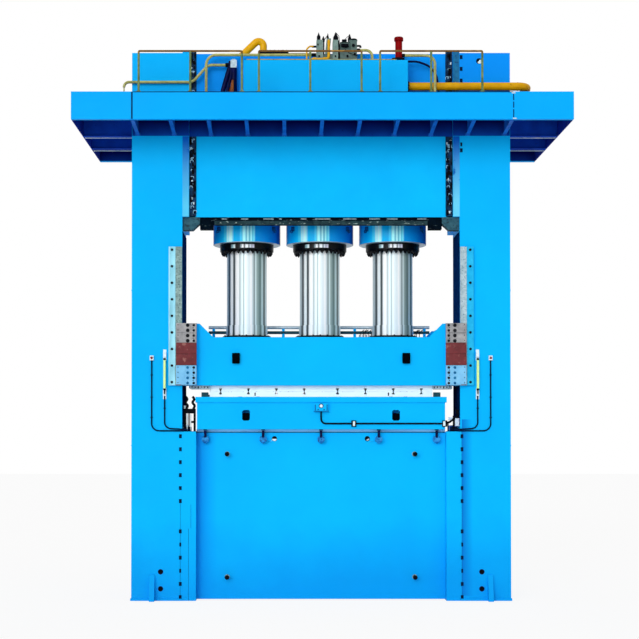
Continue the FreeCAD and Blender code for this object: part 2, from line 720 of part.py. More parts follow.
def slide_shoulder():
    """The raised right end of the slide, flat on top with a slope inwards."""
    flat = SLIDE_HALF - SLIDE_SHOULDER_FLAT
    return prism_xz([(flat - SLIDE_SHOULDER_RISE, SLIDE_TOP), (SLIDE_HALF, SLIDE_TOP),
                     (SLIDE_HALF, SHOULDER_TOP), (flat, SHOULDER_TOP)],
                    SLIDE_FRONT, SLIDE_FRONT + SLIDE_WALL)


def build_slide():
    """The slide: box body, raised shoulders, guide ears and hoisting pockets."""
    body = block(-SLIDE_HALF, SLIDE_HALF, SLIDE_FRONT, -SLIDE_FRONT, SLIDE_BOTTOM, SLIDE_TOP)
    ear = block(EAR_INNER, EAR_OUTER, SHOE_BACK, SHOE_BACK + EAR_DEPTH,
                SLIDE_BOTTOM, SHOULDER_TOP)
    body = body.fuse(four_corners(slide_shoulder()) + four_corners(ear))
    pocket = cut_corner_pocket(SLIDE_POCKET_X, SLIDE_BOTTOM + SLIDE_POCKET_LIFT,
                               SLIDE_FRONT - 20, SLIDE_FRONT + POCKET_DEPTH)
    save("slide", body.cut(four_corners(pocket)))


# ---------------------------------------------------------------- guides

def build_guide_rails():
    """Four guide rails on the columns, each with its row of bolts."""
    bottom = SLIDE_BOTTOM
    flange_inner = RAIL_INNER + RAIL_FACE_WIDTH
    flange_outer = flange_inner + RAIL_FLANGE_WIDTH
    face = block(RAIL_INNER, flange_inner, GUIDE_FACE, FRAME_FRONT,
                 bottom, bottom + RAIL_LENGTH)
    flange = block(flange_inner, flange_outer, FRAME_FRONT - RAIL_FLANGE_THICKNESS,
                   FRAME_FRONT, bottom, bottom + RAIL_LENGTH)
    rail = face.fuse(flange)
    save("guide_rails", *four_corners(rail))
    bolts = []
    pitch = (RAIL_LENGTH - 2 * RAIL_BOLT_EDGE) / (RAIL_BOLT_COUNT - 1)
    for step in range(RAIL_BOLT_COUNT):
        seat = Vector((flange_inner + flange_outer) / 2,
                      FRAME_FRONT - RAIL_FLANGE_THICKNESS,
                      bottom + RAIL_BOLT_EDGE + step * pitch)
        bolts += four_corners(hexagon(seat, Vector(0, -1, 0), BOLT_ACROSS, BOLT_HEAD))
    save("guide_rail_bolts", *bolts)


def build_shoes():
    """Guide shoes at the slide's corners, with liners, wedge blocks and bolts."""
    wedge_low = SLIDE_BOTTOM + WEDGE_BOTTOM
    wedge_high = wedge_low + WEDGE_HEIGHT
    shoe = block(EAR_INNER, SHOE_OUTER, SHOE_FRONT, SHOE_BACK,
                 SLIDE_BOTTOM, SHOULDER_TOP)
    save("guide_shoes", *four_corners(shoe))
    liner_front = SHOE_FRONT - LINER_THICKNESS
    upper = block(EAR_INNER, SHOE_OUTER, liner_front, SHOE_FRONT,
                  wedge_high, SHOULDER_TOP)
    lower = block(EAR_INNER, SHOE_OUTER, liner_front, SHOE_FRONT,
                  SLIDE_BOTTOM, wedge_low)
    wedge = block(EAR_INNER, SHOE_OUTER, SHOE_FRONT - WEDGE_THICKNESS, SHOE_FRONT,
                  wedge_low, wedge_high)
    save("upper_shoe_plates", *four_corners(upper))
    save("lower_shoe_plates", *four_corners(lower))
    save("wedge_blocks", *four_corners(wedge))
    bolts = []
    for step in range(SHOE_BOLT_COUNT):
        rise = SHOE_BOLT_EDGE + step * SHOE_BOLT_PITCH
        for z in (SHOULDER_TOP - rise, SLIDE_BOTTOM + rise):
            seat = Vector(COLUMN_INNER - SHOE_BOLT_INSET, liner_front, z)
            bolts += four_corners(hexagon(seat, Vector(0, -1, 0), BOLT_ACROSS, BOLT_HEAD))
    save("shoe_bolts", *bolts)


# ---------------------------------------------------------------- walkway and guard rail

def walkway_wall(x):
    """Where a bracket at x meets the wall behind the front walkway."""
    if abs(x) > CROWN_HALF:
        return FRAME_FRONT
    if abs(x) > CROWN_FACE_HALF - BRACKET_THICKNESS:
        return CROWN_FRONT + CROWN_CORNER_RECESS
    return CROWN_FRONT


def build_walkway():
    """Fascias all round the head, decks, tapered brackets and the wings' joists."""
    lip_top = FASCIA_BOTTOM + FASCIA_THICKNESS
    web_back = WALK_FRONT + FASCIA_THICKNESS
    lip_edge = WALK_FRONT + FASCIA_LIP
    front = prism_yz([(WALK_FRONT, FASCIA_BOTTOM), (lip_edge, FASCIA_BOTTOM),
                      (lip_edge, lip_top), (web_back, lip_top),
                      (web_back, DECK_TOP), (WALK_FRONT, DECK_TOP)],
                     -WALK_HALF_WIDTH, WALK_HALF_WIDTH)
    save("front_walkway_fascia", front)
    save("rear_walkway_fascia", mirror_y(front))
    side = block(WALK_HALF_WIDTH - FASCIA_THICKNESS, WALK_HALF_WIDTH, lip_edge, -lip_edge,
                 FASCIA_BOTTOM, DECK_TOP)
    side = side.fuse(block(WALK_HALF_WIDTH - FASCIA_THICKNESS, WALK_HALF_WIDTH, web_back,
                           -web_back, lip_top, DECK_TOP))
    save("wing_side_fascias", mirror_x(side), side)

    deck_side = WALK_HALF_WIDTH - FASCIA_THICKNESS
    front_deck = block(-deck_side, deck_side, web_back, FRAME_FRONT, DECK_BOTTOM, DECK_TOP)
    tongue = block(-CROWN_FACE_HALF, CROWN_FACE_HALF, FRAME_FRONT, CROWN_FRONT,
                   DECK_BOTTOM, DECK_TOP)
    front_deck = front_deck.fuse(tongue).removeSplitter()
    wing_deck = block(COLUMN_OUTER, deck_side, FRAME_FRONT, -FRAME_FRONT,
                      DECK_BOTTOM, DECK_TOP)
    save("walkway_decks", front_deck, mirror_y(front_deck), wing_deck, mirror_x(wing_deck))

    brackets = []
    pitch = 2 * (COLUMN_OUTER - BRACKET_EDGE) / (BRACKET_COUNT - 1)
    for step in range(BRACKET_COUNT):
        x = (step - (BRACKET_COUNT - 1) / 2) * pitch
        wall = walkway_wall(x)
        bracket = prism_yz([(web_back, DECK_BOTTOM), (web_back, lip_top),
                            (lip_edge, lip_top), (lip_edge, FASCIA_BOTTOM),
                            (wall, FASCIA_BOTTOM - BRACKET_WALL_DROP), (wall, DECK_BOTTOM)],
                           x - BRACKET_THICKNESS / 2, x + BRACKET_THICKNESS / 2)
        brackets += [bracket, mirror_y(bracket)]
    save("walkway_brackets", *brackets)
    save("wing_joists", *[to_side(joist, side) for joist in wing_joists() for side in (-1, 1)])


def wing_joists():
    """The right wing's cross joists and the stringers that stand between them."""
    inner = COLUMN_OUTER
    outer = WALK_HALF_WIDTH - FASCIA_THICKNESS
    half_flange = JOIST_FLANGE / 2
    half_web = FASCIA_THICKNESS / 2
    web_back = WALK_FRONT + FASCIA_THICKNESS
    joists = []
    edges = [web_back]
    for depth in JOIST_PLACES:
        y = WALK_FRONT + depth
        web = block(inner, outer, y - half_web, y + half_web, FASCIA_BOTTOM, DECK_BOTTOM)
        flange = block(inner, outer, y - half_flange, y + half_flange,
                       FASCIA_BOTTOM, FASCIA_BOTTOM + FASCIA_THICKNESS)
        joists.append(web.fuse(flange).removeSplitter())
        edges += [y - half_web, y + half_web]
    edges.append(-web_back)
    for low, high in zip(edges[::2], edges[1::2]):
        for offset in STRINGER_OFFSETS:
            x = inner + offset
            joists.append(block(x - half_web, x + half_web, low, high,
                                DECK_BOTTOM - STRINGER_HEIGHT, DECK_BOTTOM))
    return joists


def guard_section(x_start, x_end):
    """One guard rail section: a top rail on three posts, each on its base plate."""
    y = WALK_FRONT + RAIL_INSET
    base_top = DECK_TOP + RAIL_BASE_THICKNESS
    post_top = DECK_TOP + RAIL_HEIGHT - RAIL_TUBE
    half_tube = RAIL_TUBE / 2
    half_base = RAIL_BASE_SIDE / 2
    pieces = [polygon_bar(Vector(x_start - half_tube, y, post_top + half_tube),
                          Vector(1, 0, 0), 8, RAIL_TUBE, x_end - x_start + RAIL_TUBE)]
    for x in (x_start, (x_start + x_end) / 2, x_end):
        pieces.append(polygon_bar(Vector(x, y, base_top), Vector(0, 0, 1), 8, RAIL_TUBE,
                                  post_top - base_top))
        pieces.append(block(x - half_base, x + half_base, WALK_FRONT,
                            WALK_FRONT + RAIL_BASE_SIDE, DECK_TOP, base_top))
    return pieces


def build_guard_rail():
    """Three guard rail sections along the front walkway."""
    pieces = []
    for start, end in RAIL_SECTIONS:
        pieces += guard_section(start, end)
    save("guard_rails", *pieces)


# ---------------------------------------------------------------- fittings on the front

def build_fittings():
    """Button boxes, push buttons, light curtains and their brackets."""
    width, depth, height = BUTTON_BOX
    box_front = FRAME_FRONT - depth
    half_stem = BUTTON_STEM / 2
    half_bore = half_stem + RUNNING_CLEARANCE
    half_cap = BUTTON_CAP / 2
    x, z = BUTTON_BOX_X, BUTTON_BOX_Z
    box = block(x - width / 2, x + width / 2, box_front, FRAME_FRONT,
                z - height / 2, z + height / 2)
    stem_end = box_front + BUTTON_STEM_LENGTH
    bore = block(x - half_bore, x + half_bore, box_front - 1, stem_end + BUTTON_TRAVEL + 1,
                 z - half_bore, z + half_bore)
    box = box.cut(bore)
    save("button_boxes", mirror_x(box), box)
    cap_back = box_front - BUTTON_TRAVEL - 1
    stem = block(x - half_stem, x + half_stem, cap_back, stem_end,
                 z - half_stem, z + half_stem)
    cap = block(x - half_cap, x + half_cap, cap_back - BUTTON_CAP_HEIGHT, cap_back,
                z - half_cap, z + half_cap)
    button = stem.fuse(cap)
    for name, side in SIDES.items():
        save(f"{name}_button", to_side(button, side))

    inner = CURTAIN_X - CURTAIN_WIDTH / 2
    outer = inner + CURTAIN_WIDTH
    back = FRAME_FRONT - CURTAIN_STANDOFF
    curtain = block(inner, outer, back - CURTAIN_DEPTH, back, CURTAIN_BOTTOM, CURTAIN_TOP)
    save("light_curtains", mirror_x(curtain), curtain)
    brackets = []
    for low in (CURTAIN_FOOT, CURTAIN_TOP - CURTAIN_BRACKET_OVERLAP):
        bracket = block(inner, outer, back, FRAME_FRONT, low, low + CURTAIN_BRACKET_HEIGHT)
        brackets += [bracket, mirror_x(bracket)]
    save("curtain_brackets", *brackets)


def build_hold_downs():
    """The rows of clamps that hang beside the bed's upper edges, bolster to bed."""
    clamps = []
    half_stem = CLAMP_STEM / 2
    wall = BED_FRONT
    y = wall - CLAMP_HEAD_ACROSS / 2 - CLAMP_HEAD_CLEAR
    head_top = BED_TOP - CLAMP_STEM_LENGTH
    for step in range(CLAMP_COUNT):
        x = (step - (CLAMP_COUNT - 1) / 2) * CLAMP_PITCH
        stem = block(x - half_stem, x + half_stem, y - half_stem, wall,
                     head_top, BOLSTER_BOTTOM)
        head = hexagon(Vector(x, y, head_top), Vector(0, 0, -1), CLAMP_HEAD_ACROSS,
                       CLAMP_HEAD_HEIGHT)
        clamp = stem.fuse(head)
        clamps += [clamp, mirror_y(clamp)]
    save("hold_down_clamps", *clamps)


# ---------------------------------------------------------------- equipment on the crown

def build_tank():
    """The oil tank on the walkway against the crown's front."""
    save("oil_tank", block(TANK_LEFT, TANK_RIGHT, TANK_FRONT, CROWN_FRONT, DECK_TOP, TANK_TOP))


def build_manifold():
    """The pump manifold on the tank, with its rows of pilot valves on top."""
    x_low, x_high = MANIFOLD_SPAN
    z_low = TANK_TOP
    y_mid = TANK_MIDDLE
    z_high = z_low + MANIFOLD_HEIGHT
    manifold = block(x_low, x_high, y_mid - MANIFOLD_DEPTH / 2, y_mid + MANIFOLD_DEPTH / 2,
                     z_low, z_high)
    save("pump_manifold", manifold)
    valves = []
    for x, y_shift, height in PILOT_VALVES:
        foot = Vector(x, y_mid + y_shift, z_high)
        body = polygon_bar(foot, Vector(0, 0, 1), 4, VALVE_WIDTH, height * VALVE_BODY_SHARE)
        cap = polygon_bar(foot, Vector(0, 0, 1), 4, VALVE_WIDTH / 2, height)
        valves.append(body.fuse(cap))
    save("pilot_valves", *valves)


def build_filter():
    """The return filter: a housing under a wider cap, standing on the tank."""
    low = TANK_TOP
    top = low + FILTER_HEIGHT
    cap_low = top - FILTER_CAP_HEIGHT
    foot = Vector(FILTER_X, TANK_FRONT + FILTER_SETBACK, low)
    body = polygon_bar(foot, Vector(0, 0, 1), FILTER_FLATS, FILTER_ACROSS, FILTER_HEIGHT)
    cap = polygon_bar(Vector(foot.x, foot.y, cap_low), Vector(0, 0, 1), FILTER_FLATS,
                      FILTER_CAP_ACROSS, FILTER_CAP_HEIGHT)
    save("return_filter", body.fuse(cap))


def small_pipe(*points):
    """One of the thin oil pipes on the crown."""
    return mitred_pipe(points, SMALL_PIPE, SMALL_PIPE_FLATS, SMALL_PIPE_CUT)


def build_oil_pipes():
    """The thin oil pipes round the tank and the thick suction bend on the crown."""
    y = PIPE_ROW
    low = DECK_TOP + LEFT_PIPE_LEVELS[0]
    high = DECK_TOP + LEFT_PIPE_LEVELS[1]
    far, lower, upper, end = [-COLUMN_INNER - offset for offset in LEFT_PIPE_OFFSETS]
    far -= COLUMN_WIDTH
    left_pipe = small_pipe((far, y, DECK_TOP), (far, y, low), (lower, y, low),
                           (upper, y, high), (end, y, high))
    riser_y = y - PIPE_SPACE
    riser_z = DECK_TOP + RISER_LEVEL
    riser = small_pipe((RISER_X, riser_y, DECK_TOP), (RISER_X, riser_y, riser_z),
                       (MANIFOLD_SPAN[0], riser_y, riser_z))
    elbow_z = TANK_TOP + VALVE_PIPE_LEVEL
    elbow = small_pipe((MANIFOLD_SPAN[1], TANK_MIDDLE, elbow_z),
                       (VALVE_PIPE_X, TANK_MIDDLE, elbow_z),
                       (VALVE_PIPE_X, TANK_MIDDLE, TANK_TOP))
    filter_y = TANK_FRONT + FILTER_SETBACK
    filter_z = TANK_TOP + FILTER_PIPE_LEVEL
    filter_pipe = small_pipe((FILTER_X + FILTER_ACROSS / 2, filter_y, filter_z),
                             (FILTER_PIPE_X, filter_y, filter_z),
                             (FILTER_PIPE_X, filter_y, DECK_TOP))
    up, down = SUCTION_PIPE_X
    bend_y = CROWN_FRONT + SUCTION_PIPE_SETBACK
    below = FRAME_HEIGHT - SUCTION_PIPE_FOOT
    suction = mitred_pipe([(up, bend_y, below),
                           (up, bend_y, FRAME_HEIGHT + SUCTION_PIPE_RISE),
                           (down, bend_y, below)],
                          SUCTION_PIPE, SUCTION_PIPE_FLATS, SUCTION_PIPE_CUT)
    sunk = block(down - SUCTION_PIPE, up + SUCTION_PIPE, bend_y - SUCTION_PIPE,
                 bend_y + SUCTION_PIPE, below - SUCTION_PIPE, FRAME_HEIGHT)
    save("oil_pipes", left_pipe, riser, elbow, filter_pipe, suction.cut(sunk))


def build_filling_pipe():
    """The filling pipe from its flange on the tank round to the right column's side."""
    z = DECK_TOP + FILLING_PIPE_LEVEL
    start = TANK_RIGHT + FILLING_FLANGE_THICKNESS
    far = COLUMN_OUTER + FILLING_PIPE_OFFSET
    back = TANK_MIDDLE + FILLING_PIPE_RUN
    points = [(start, TANK_MIDDLE, z), (far, TANK_MIDDLE, z), (far, back, z),
              (COLUMN_OUTER, back, z)]
    save("filling_pipe",
         mitred_pipe(points, FILLING_PIPE, FILLING_PIPE_FLATS, FILLING_PIPE_CUT))
    save("filling_flange",
         polygon_bar(Vector(TANK_RIGHT, TANK_MIDDLE, z), Vector(1, 0, 0), FILLING_PIPE_FLATS,
                     FILLING_FLANGE, FILLING_FLANGE_THICKNESS))


def build_drain_pipes():
    """The valve block beside the tank on its two legs, and the return pipe's arc."""
    width, depth, height = VALVE_BLOCK
    y = PIPE_ROW
    right = TANK_LEFT - VALVE_BLOCK_GAP
    left = right - width
    low = TANK_TOP - VALVE_BLOCK_DROP
    valve_block = block(left, right, y - depth / 2, y + depth / 2, low, low + height)
    leg_gap = width / 2 - DRAIN_PIPE / 2
    straight_leg = polygon_bar(Vector(right - leg_gap + DRAIN_PIPE / 2, y, DECK_TOP),
                               Vector(0, 0, 1), SMALL_PIPE_FLATS, DRAIN_PIPE, low - DECK_TOP)
    bent_x = left + DRAIN_PIPE / 2
    foot_x = bent_x - DRAIN_PIPE_SPLAY
    lower_bend, upper_bend = DRAIN_BEND_HEIGHTS
    bent_leg = mitred_pipe([(foot_x, y, DECK_TOP), (foot_x, y, DECK_TOP + lower_bend),
                            (bent_x, y, DECK_TOP + upper_bend), (bent_x, y, low)],
                           DRAIN_PIPE, SMALL_PIPE_FLATS, RETURN_PIPE_CUT)
    pipe_end = -COLUMN_INNER - LEFT_PIPE_OFFSETS[-1]
    coupling = polygon_bar(Vector(pipe_end, y, DECK_TOP + LEFT_PIPE_LEVELS[1]),
                           Vector(1, 0, 0), SMALL_PIPE_FLATS, COUPLING, left - pipe_end)
    back = CROWN_FRONT - RETURN_PIPE_SETBACK
    x_start, *runs = [TANK_RIGHT + run for run in RETURN_PIPE_RUN]
    top = TANK_TOP + RETURN_PIPE_RISE
    points = [(x_start, back, TANK_TOP), (x_start, back, top)]
    points += [(x, back, top - drop) for x, drop in zip(runs, RETURN_PIPE_DROP)]
    points.append((runs[-1], back, DECK_TOP))
    return_pipe = mitred_pipe(points, RETURN_PIPE, SMALL_PIPE_FLATS, RETURN_PIPE_CUT)
    save("drain_pipes", valve_block, straight_leg, bent_leg, coupling, return_pipe)


def build_cross_pipe():
    """Two pipes, one above the other, on posts along the slide's top behind the rams."""
    half_post = CROSS_PIPE_POST / 2
    pieces = []
    seat = SLIDE_TOP
    for level in CROSS_PIPE_LEVELS:
        z = SLIDE_TOP + level
        pieces.append(polygon_bar(Vector(-CROSS_PIPE_HALF, CROSS_PIPE_Y, z), Vector(1, 0, 0),
                                  SUCTION_PIPE_FLATS, CROSS_PIPE, 2 * CROSS_PIPE_HALF))
        for x in CROSS_PIPE_POSTS:
            pieces.append(block(x - half_post, x + half_post, CROSS_PIPE_Y - half_post,
                                CROSS_PIPE_Y + half_post, seat, z - CROSS_PIPE / 2))
        seat = z + CROSS_PIPE / 2
    save("slide_cross_pipe", *pieces)


def build_table_sensor():
    """The lug with its boss on the table's front, and the conduit with two clips."""
    wall = BOLSTER_FRONT + BOLSTER_LIP
    top = TABLE_TOP - BOLSTER_LIP_HEIGHT - TAB_DROP
    low = top - TAB_HEIGHT
    plate = block(-TAB_HALF, TAB_HALF, wall - TAB_THICKNESS, wall, low, top)
    foot = block(-TAB_FOOT_HALF, TAB_FOOT_HALF, wall - TAB_FOOT_DEPTH, wall,
                 low - TAB_FOOT_HEIGHT, low)
    boss = polygon_bar(Vector(0, wall - TAB_THICKNESS, (low + top) / 2), Vector(0, -1, 0), 12,
                       TAB_BOSS, TAB_BOSS_LENGTH)
    save("table_lifting_tab", plate.fuse([foot, boss]))
    y = wall - CONDUIT_SEAT
    z = BOLSTER_BOTTOM + CONDUIT_LEVEL
    points = [(0, y, low - TAB_FOOT_HEIGHT), (0, y, z), (BOLSTER_HALF - BOLSTER_LIP, y, z)]
    save("table_conduit", mitred_pipe(points, CONDUIT, CONDUIT_FLATS, CONDUIT_CUT))
    clips = []
    slot = CONDUIT_SEAT + RUNNING_CLEARANCE
    for x in CLIP_OFFSETS:
        clip = block(x - CLIP_WIDTH / 2, x + CLIP_WIDTH / 2, wall - CLIP_DEPTH, wall,
                     z - CLIP_HEIGHT / 2, z + CLIP_HEIGHT / 2)
        space = block(x - CLIP_WIDTH, x + CLIP_WIDTH, y - slot, wall + 1, z - slot, z + slot)
        clips.append(clip.cut(space))
    save("conduit_clips", *clips)


def build_conduits():
    """Conduits from the button boxes and curtains into boxes beside the table."""
    y = FRAME_FRONT - CONDUIT_SEAT
    inner_y = FRAME_FRONT + CONDUIT_REACH
    box_z = BED_SIDE_TOP + BOX_CONDUIT_LEVEL
    curtain_z = BED_SIDE_TOP + CURTAIN_CONDUIT_LEVEL
    near, far = [COLUMN_INNER - offset for offset in CONDUIT_TURN_X]
    width, depth, height = BUTTON_BOX
    box_points = [(BUTTON_BOX_X, y, BUTTON_BOX_Z - height / 2), (BUTTON_BOX_X, y, box_z),
                  (near, y, box_z), (near, inner_y, box_z)]
    splay_x = CURTAIN_X - CURTAIN_CONDUIT_SPLAY
    curtain_points = [(CURTAIN_X, y, CURTAIN_FOOT),
                      (CURTAIN_X, y, curtain_z + CURTAIN_CONDUIT_BEND),
                      (splay_x, y, curtain_z), (far, y, curtain_z), (far, inner_y, curtain_z)]
    pieces = [mitred_pipe(points, CONDUIT, CONDUIT_FLATS, CONDUIT_CUT)
              for points in (box_points, curtain_points)]
    box_width, box_depth, box_height = JUNCTION_BOX
    middle = (near + far) / 2
    pieces.append(block(middle - box_width / 2, middle + box_width / 2, inner_y,
                        inner_y + box_depth, BED_SIDE_TOP, BED_SIDE_TOP + box_height))
    save("conduits", *pieces, *[mirror_x(piece) for piece in pieces])


def main():
    """Builds every sub-part of the press."""
    os.makedirs("parts", exist_ok=True)
    build_columns()
    build_keys()
    build_bed()
    build_crown()
    build_cylinders()
    build_plates()
    build_table()
    build_slide()
    build_guide_rails()
    build_shoes()
    build_walkway()
    build_guard_rail()
    build_fittings()
    build_hold_downs()
    build_tank()
    build_manifold()
    build_filter()
    build_oil_pipes()
    build_filling_pipe()
    build_drain_pipes()
    build_cross_pipe()
    build_table_sensor()
    build_conduits()


if __name__ == "__main__":
    main()
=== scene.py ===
"""Hydraulic press: the finishes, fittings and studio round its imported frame."""
from __future__ import annotations

import logging
import math
from dataclasses import dataclass, replace
from enum import Enum
from random import Random
from typing import Iterable, Sequence

import bpy
from mathutils import Matrix, Vector

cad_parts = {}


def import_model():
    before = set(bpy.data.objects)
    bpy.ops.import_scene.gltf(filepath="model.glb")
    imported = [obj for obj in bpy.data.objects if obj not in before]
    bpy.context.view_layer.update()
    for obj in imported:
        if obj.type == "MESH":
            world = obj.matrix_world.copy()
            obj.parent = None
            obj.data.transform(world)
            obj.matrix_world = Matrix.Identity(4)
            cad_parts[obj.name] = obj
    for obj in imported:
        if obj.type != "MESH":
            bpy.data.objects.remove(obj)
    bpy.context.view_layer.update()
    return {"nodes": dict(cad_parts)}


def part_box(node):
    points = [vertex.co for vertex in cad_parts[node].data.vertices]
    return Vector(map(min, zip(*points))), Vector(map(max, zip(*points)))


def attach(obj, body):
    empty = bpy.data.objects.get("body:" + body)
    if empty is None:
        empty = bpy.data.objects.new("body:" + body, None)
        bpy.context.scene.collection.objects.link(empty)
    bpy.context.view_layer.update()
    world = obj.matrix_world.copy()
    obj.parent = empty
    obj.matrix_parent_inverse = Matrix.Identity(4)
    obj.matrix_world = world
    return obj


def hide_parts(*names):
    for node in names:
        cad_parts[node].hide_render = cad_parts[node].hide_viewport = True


LOG = logging.getLogger("press")
Point = Sequence[float]
Piece = bpy.types.Object
Pieces = list[Piece]
Tree = bpy.types.NodeTree
Socket = bpy.types.NodeSocket
# The ways that a face can look: the front is the operator's side.
FRONT, BACK = (0, -1, 0), (0, 1, 0)
UP, DOWN = (0, 0, 1), (0, 0, -1)
RIGHT, LEFT = (1, 0, 0), (-1, 0, 0)


class Body(Enum):
    """The moving bodies that a piece can ride on."""

    FRAME = "frame"
    SLIDE = "slide"
    LEFT_BUTTON = "left_button"
    RIGHT_BUTTON = "right_button"


# ---- colour and nodes

def linear(code: str, alpha: float = 1.0) -> tuple[float, float, float, float]:
    """Turns an sRGB hex colour into linear light.

    Args:
        code: Six hex digits, as "00b4ff".
        alpha: The fourth value.

    Returns:
        The colour as red, green, blue and alpha.
    """
    parts = [int(code[i:i + 2], 16) / 255 for i in (0, 2, 4)]
    lit = [v / 12.92 if v <= 0.04045 else ((v + 0.055) / 1.055) ** 2.4 for v in parts]
    return lit[0], lit[1], lit[2], alpha


def add_node(tree: Tree, kind: str, values: dict | None = None, links: dict | None = None,
             **settings: object) -> bpy.types.Node:
    """Adds one shader node with its settings, socket values and links.

    Args:
        tree: The node tree that gets it.
        kind: The node's type name after "ShaderNode".
        values: Input names or indices, each with the constant it is set to.
        links: Input names or indices, each with the output socket it takes.
        **settings: Attributes of the node itself.

    Returns:
        The new node.
    """
    node = tree.nodes.new("ShaderNode" + kind)
    for name, value in settings.items():
        setattr(node, name, value)
    for key, value in (values or {}).items():
        node.inputs[key].default_value = value
    for key, socket in (links or {}).items():
        tree.links.new(socket, node.inputs[key])
    return node


# ---- finishes

@dataclass(frozen=True)
class Finish:
    """One finish: its colours, its gloss, the marks that its making left and any painted shade.

    Lengths are millimetres on the press. A cloud has its size and its share, a speck
    its tone, size and level, a grain its size and bump, the low tone its tone and top.
    The upper field is a band of painted shade with its tone, middle, half fade and
    axis. Each stretch makes a pattern longer along X, Y or Z than it is wide.
    """

    name: str
    slot: str
    colour: str
    shade: str
    roughness: float
    cloud: tuple[float, float]
    speck: tuple[str, float, float]
    grain: tuple[float, float]
    metallic: float = 0.0
    spread: float = 0.06
    specular: float = 0.14
    stretch: Point = (1.0, 1.0, 1.0)
    speck_stretch: Point = (1.0, 1.0, 1.0)
    grain_stretch: Point = (1.0, 1.0, 1.0)
    coat: float = 0.0
    low_tone: tuple[str, float] | None = None
    upper: tuple[str, float, float, int] | None = None

    def build(self) -> bpy.types.Material:
        """Makes the material from object coordinates.

        Returns:
            The material, with every pattern at its real size.
        """
        material = bpy.data.materials.new(self.name)
        material.use_nodes = True
        tree = material.node_tree
        shader = tree.nodes["Principled BSDF"]
        place = add_node(tree, "TexCoord").outputs["Object"]
        cloud = self._pattern(tree, place, self.cloud[0], self.stretch, 4.0)
        share = add_node(tree, "MapRange",
                         {"From Min": 0.35, "From Max": 0.65, "To Max": self.cloud[1]},
                         {"Value": cloud})
        mixed = add_node(tree, "Mix", {6: linear(self.colour), 7: linear(self.shade)},
                         {0: share.outputs[0]}, data_type="RGBA")
        speck = self._pattern(tree, place, self.speck[1], self.speck_stretch, 6.0)
        worn = add_node(tree, "MapRange",
                        {"From Min": self.speck[2], "From Max": self.speck[2] + 0.06},
                        {"Value": speck})
        colour = add_node(tree, "Mix", {7: linear(self.speck[0])},
                          {0: worn.outputs[0], 6: mixed.outputs[2]}, data_type="RGBA").outputs[2]
        if self.low_tone:
            colour = self._darken_low(tree, place, cloud, colour)
        if self.upper:
            colour = self._painted_shade_band(tree, place, colour)
        tree.links.new(colour, shader.inputs["Base Color"])
        gloss = add_node(tree, "MapRange",
                         {"From Min": 0.3, "From Max": 0.7,
                          "To Min": max(self.roughness - self.spread, 0.02),
                          "To Max": self.roughness + self.spread}, {"Value": speck})
        tree.links.new(gloss.outputs[0], shader.inputs["Roughness"])
        grain = self._pattern(tree, place, self.grain[0], self.grain_stretch, 3.0)
        relief = add_node(tree, "Bump",
                          {"Strength": self.grain[1], "Distance": self.grain[0] / 4000},
                          {"Height": grain})
        tree.links.new(relief.outputs[0], shader.inputs["Normal"])
        shader.inputs["Metallic"].default_value = self.metallic
        if not self.metallic:
            shader.inputs["Specular IOR Level"].default_value = self.specular
        shader.inputs["Coat Weight"].default_value = self.coat
        shader.inputs["Coat Roughness"].default_value = 0.08
        return material

    @staticmethod
    def _pattern(tree: Tree, place: Socket, size: float, stretch: Point, detail: float) -> Socket:
        """Adds a noise whose features are about size millimetres wide.

        Args:
            tree: The material's tree.
            place: Object coordinates in metres.
            size: Feature size in millimetres.
            stretch: How much longer it is along each axis.
            detail: Octaves of finer noise.

        Returns:
            The noise value.
        """
        scale = [1000.0 / size / part for part in stretch]
        turned = add_node(tree, "Mapping", {"Scale": scale}, {"Vector": place})
        noise = add_node(tree, "TexNoise", {"Scale": 1.0, "Detail": detail, "Roughness": 0.6},
                         {"Vector": turned.outputs[0]})
        return noise.outputs[0]

    def _painted_shade_band(self, tree: Tree, place: Socket, colour: Socket) -> Socket:
        """Blends towards the painted shade's tone past a level on one axis.

        Args:
            tree: The material's tree.
            place: Object coordinates in metres.
            colour: The colour without the painted shade.

        Returns:
            The colour with the painted shade.
        """
        tone, middle, fade, axis = self.upper
        height = add_node(tree, "SeparateXYZ", links={0: place}).outputs[axis]
        share = add_node(tree, "MapRange",
                         {"From Min": (middle - fade) / 1000, "From Max": (middle + fade) / 1000},
                         {"Value": height}).outputs[0]
        return add_node(tree, "Mix", {7: linear(tone)}, {0: share, 6: colour},
                        data_type="RGBA").outputs[2]

    def _darken_low(self, tree: Tree, place: Socket, cloud: Socket, colour: Socket) -> Socket:
        """Darkens the finish towards the floor.

        Args:
            tree: The material's tree.
            place: Object coordinates in metres.
            cloud: The pattern that breaks the edge of the darker band.
            colour: The colour above it.

        Returns:
            The colour, darker towards the floor.
        """
        tone, top = self.low_tone
        height = add_node(tree, "SeparateXYZ", links={0: place}).outputs[2]
        edge = add_node(tree, "Math", {1: top / 1000}, {0: cloud}, operation="MULTIPLY").outputs[0]
        level = add_node(tree, "Math", {}, {0: height, 1: edge}, operation="SUBTRACT").outputs[0]
        share = add_node(tree, "MapRange",
                         {"From Min": top / 1000, "From Max": -0.4, "To Max": 0.8},
                         {"Value": level}).outputs[0]
        return add_node(tree, "Mix", {7: linear(tone)}, {0: share, 6: colour},
                        data_type="RGBA").outputs[2]


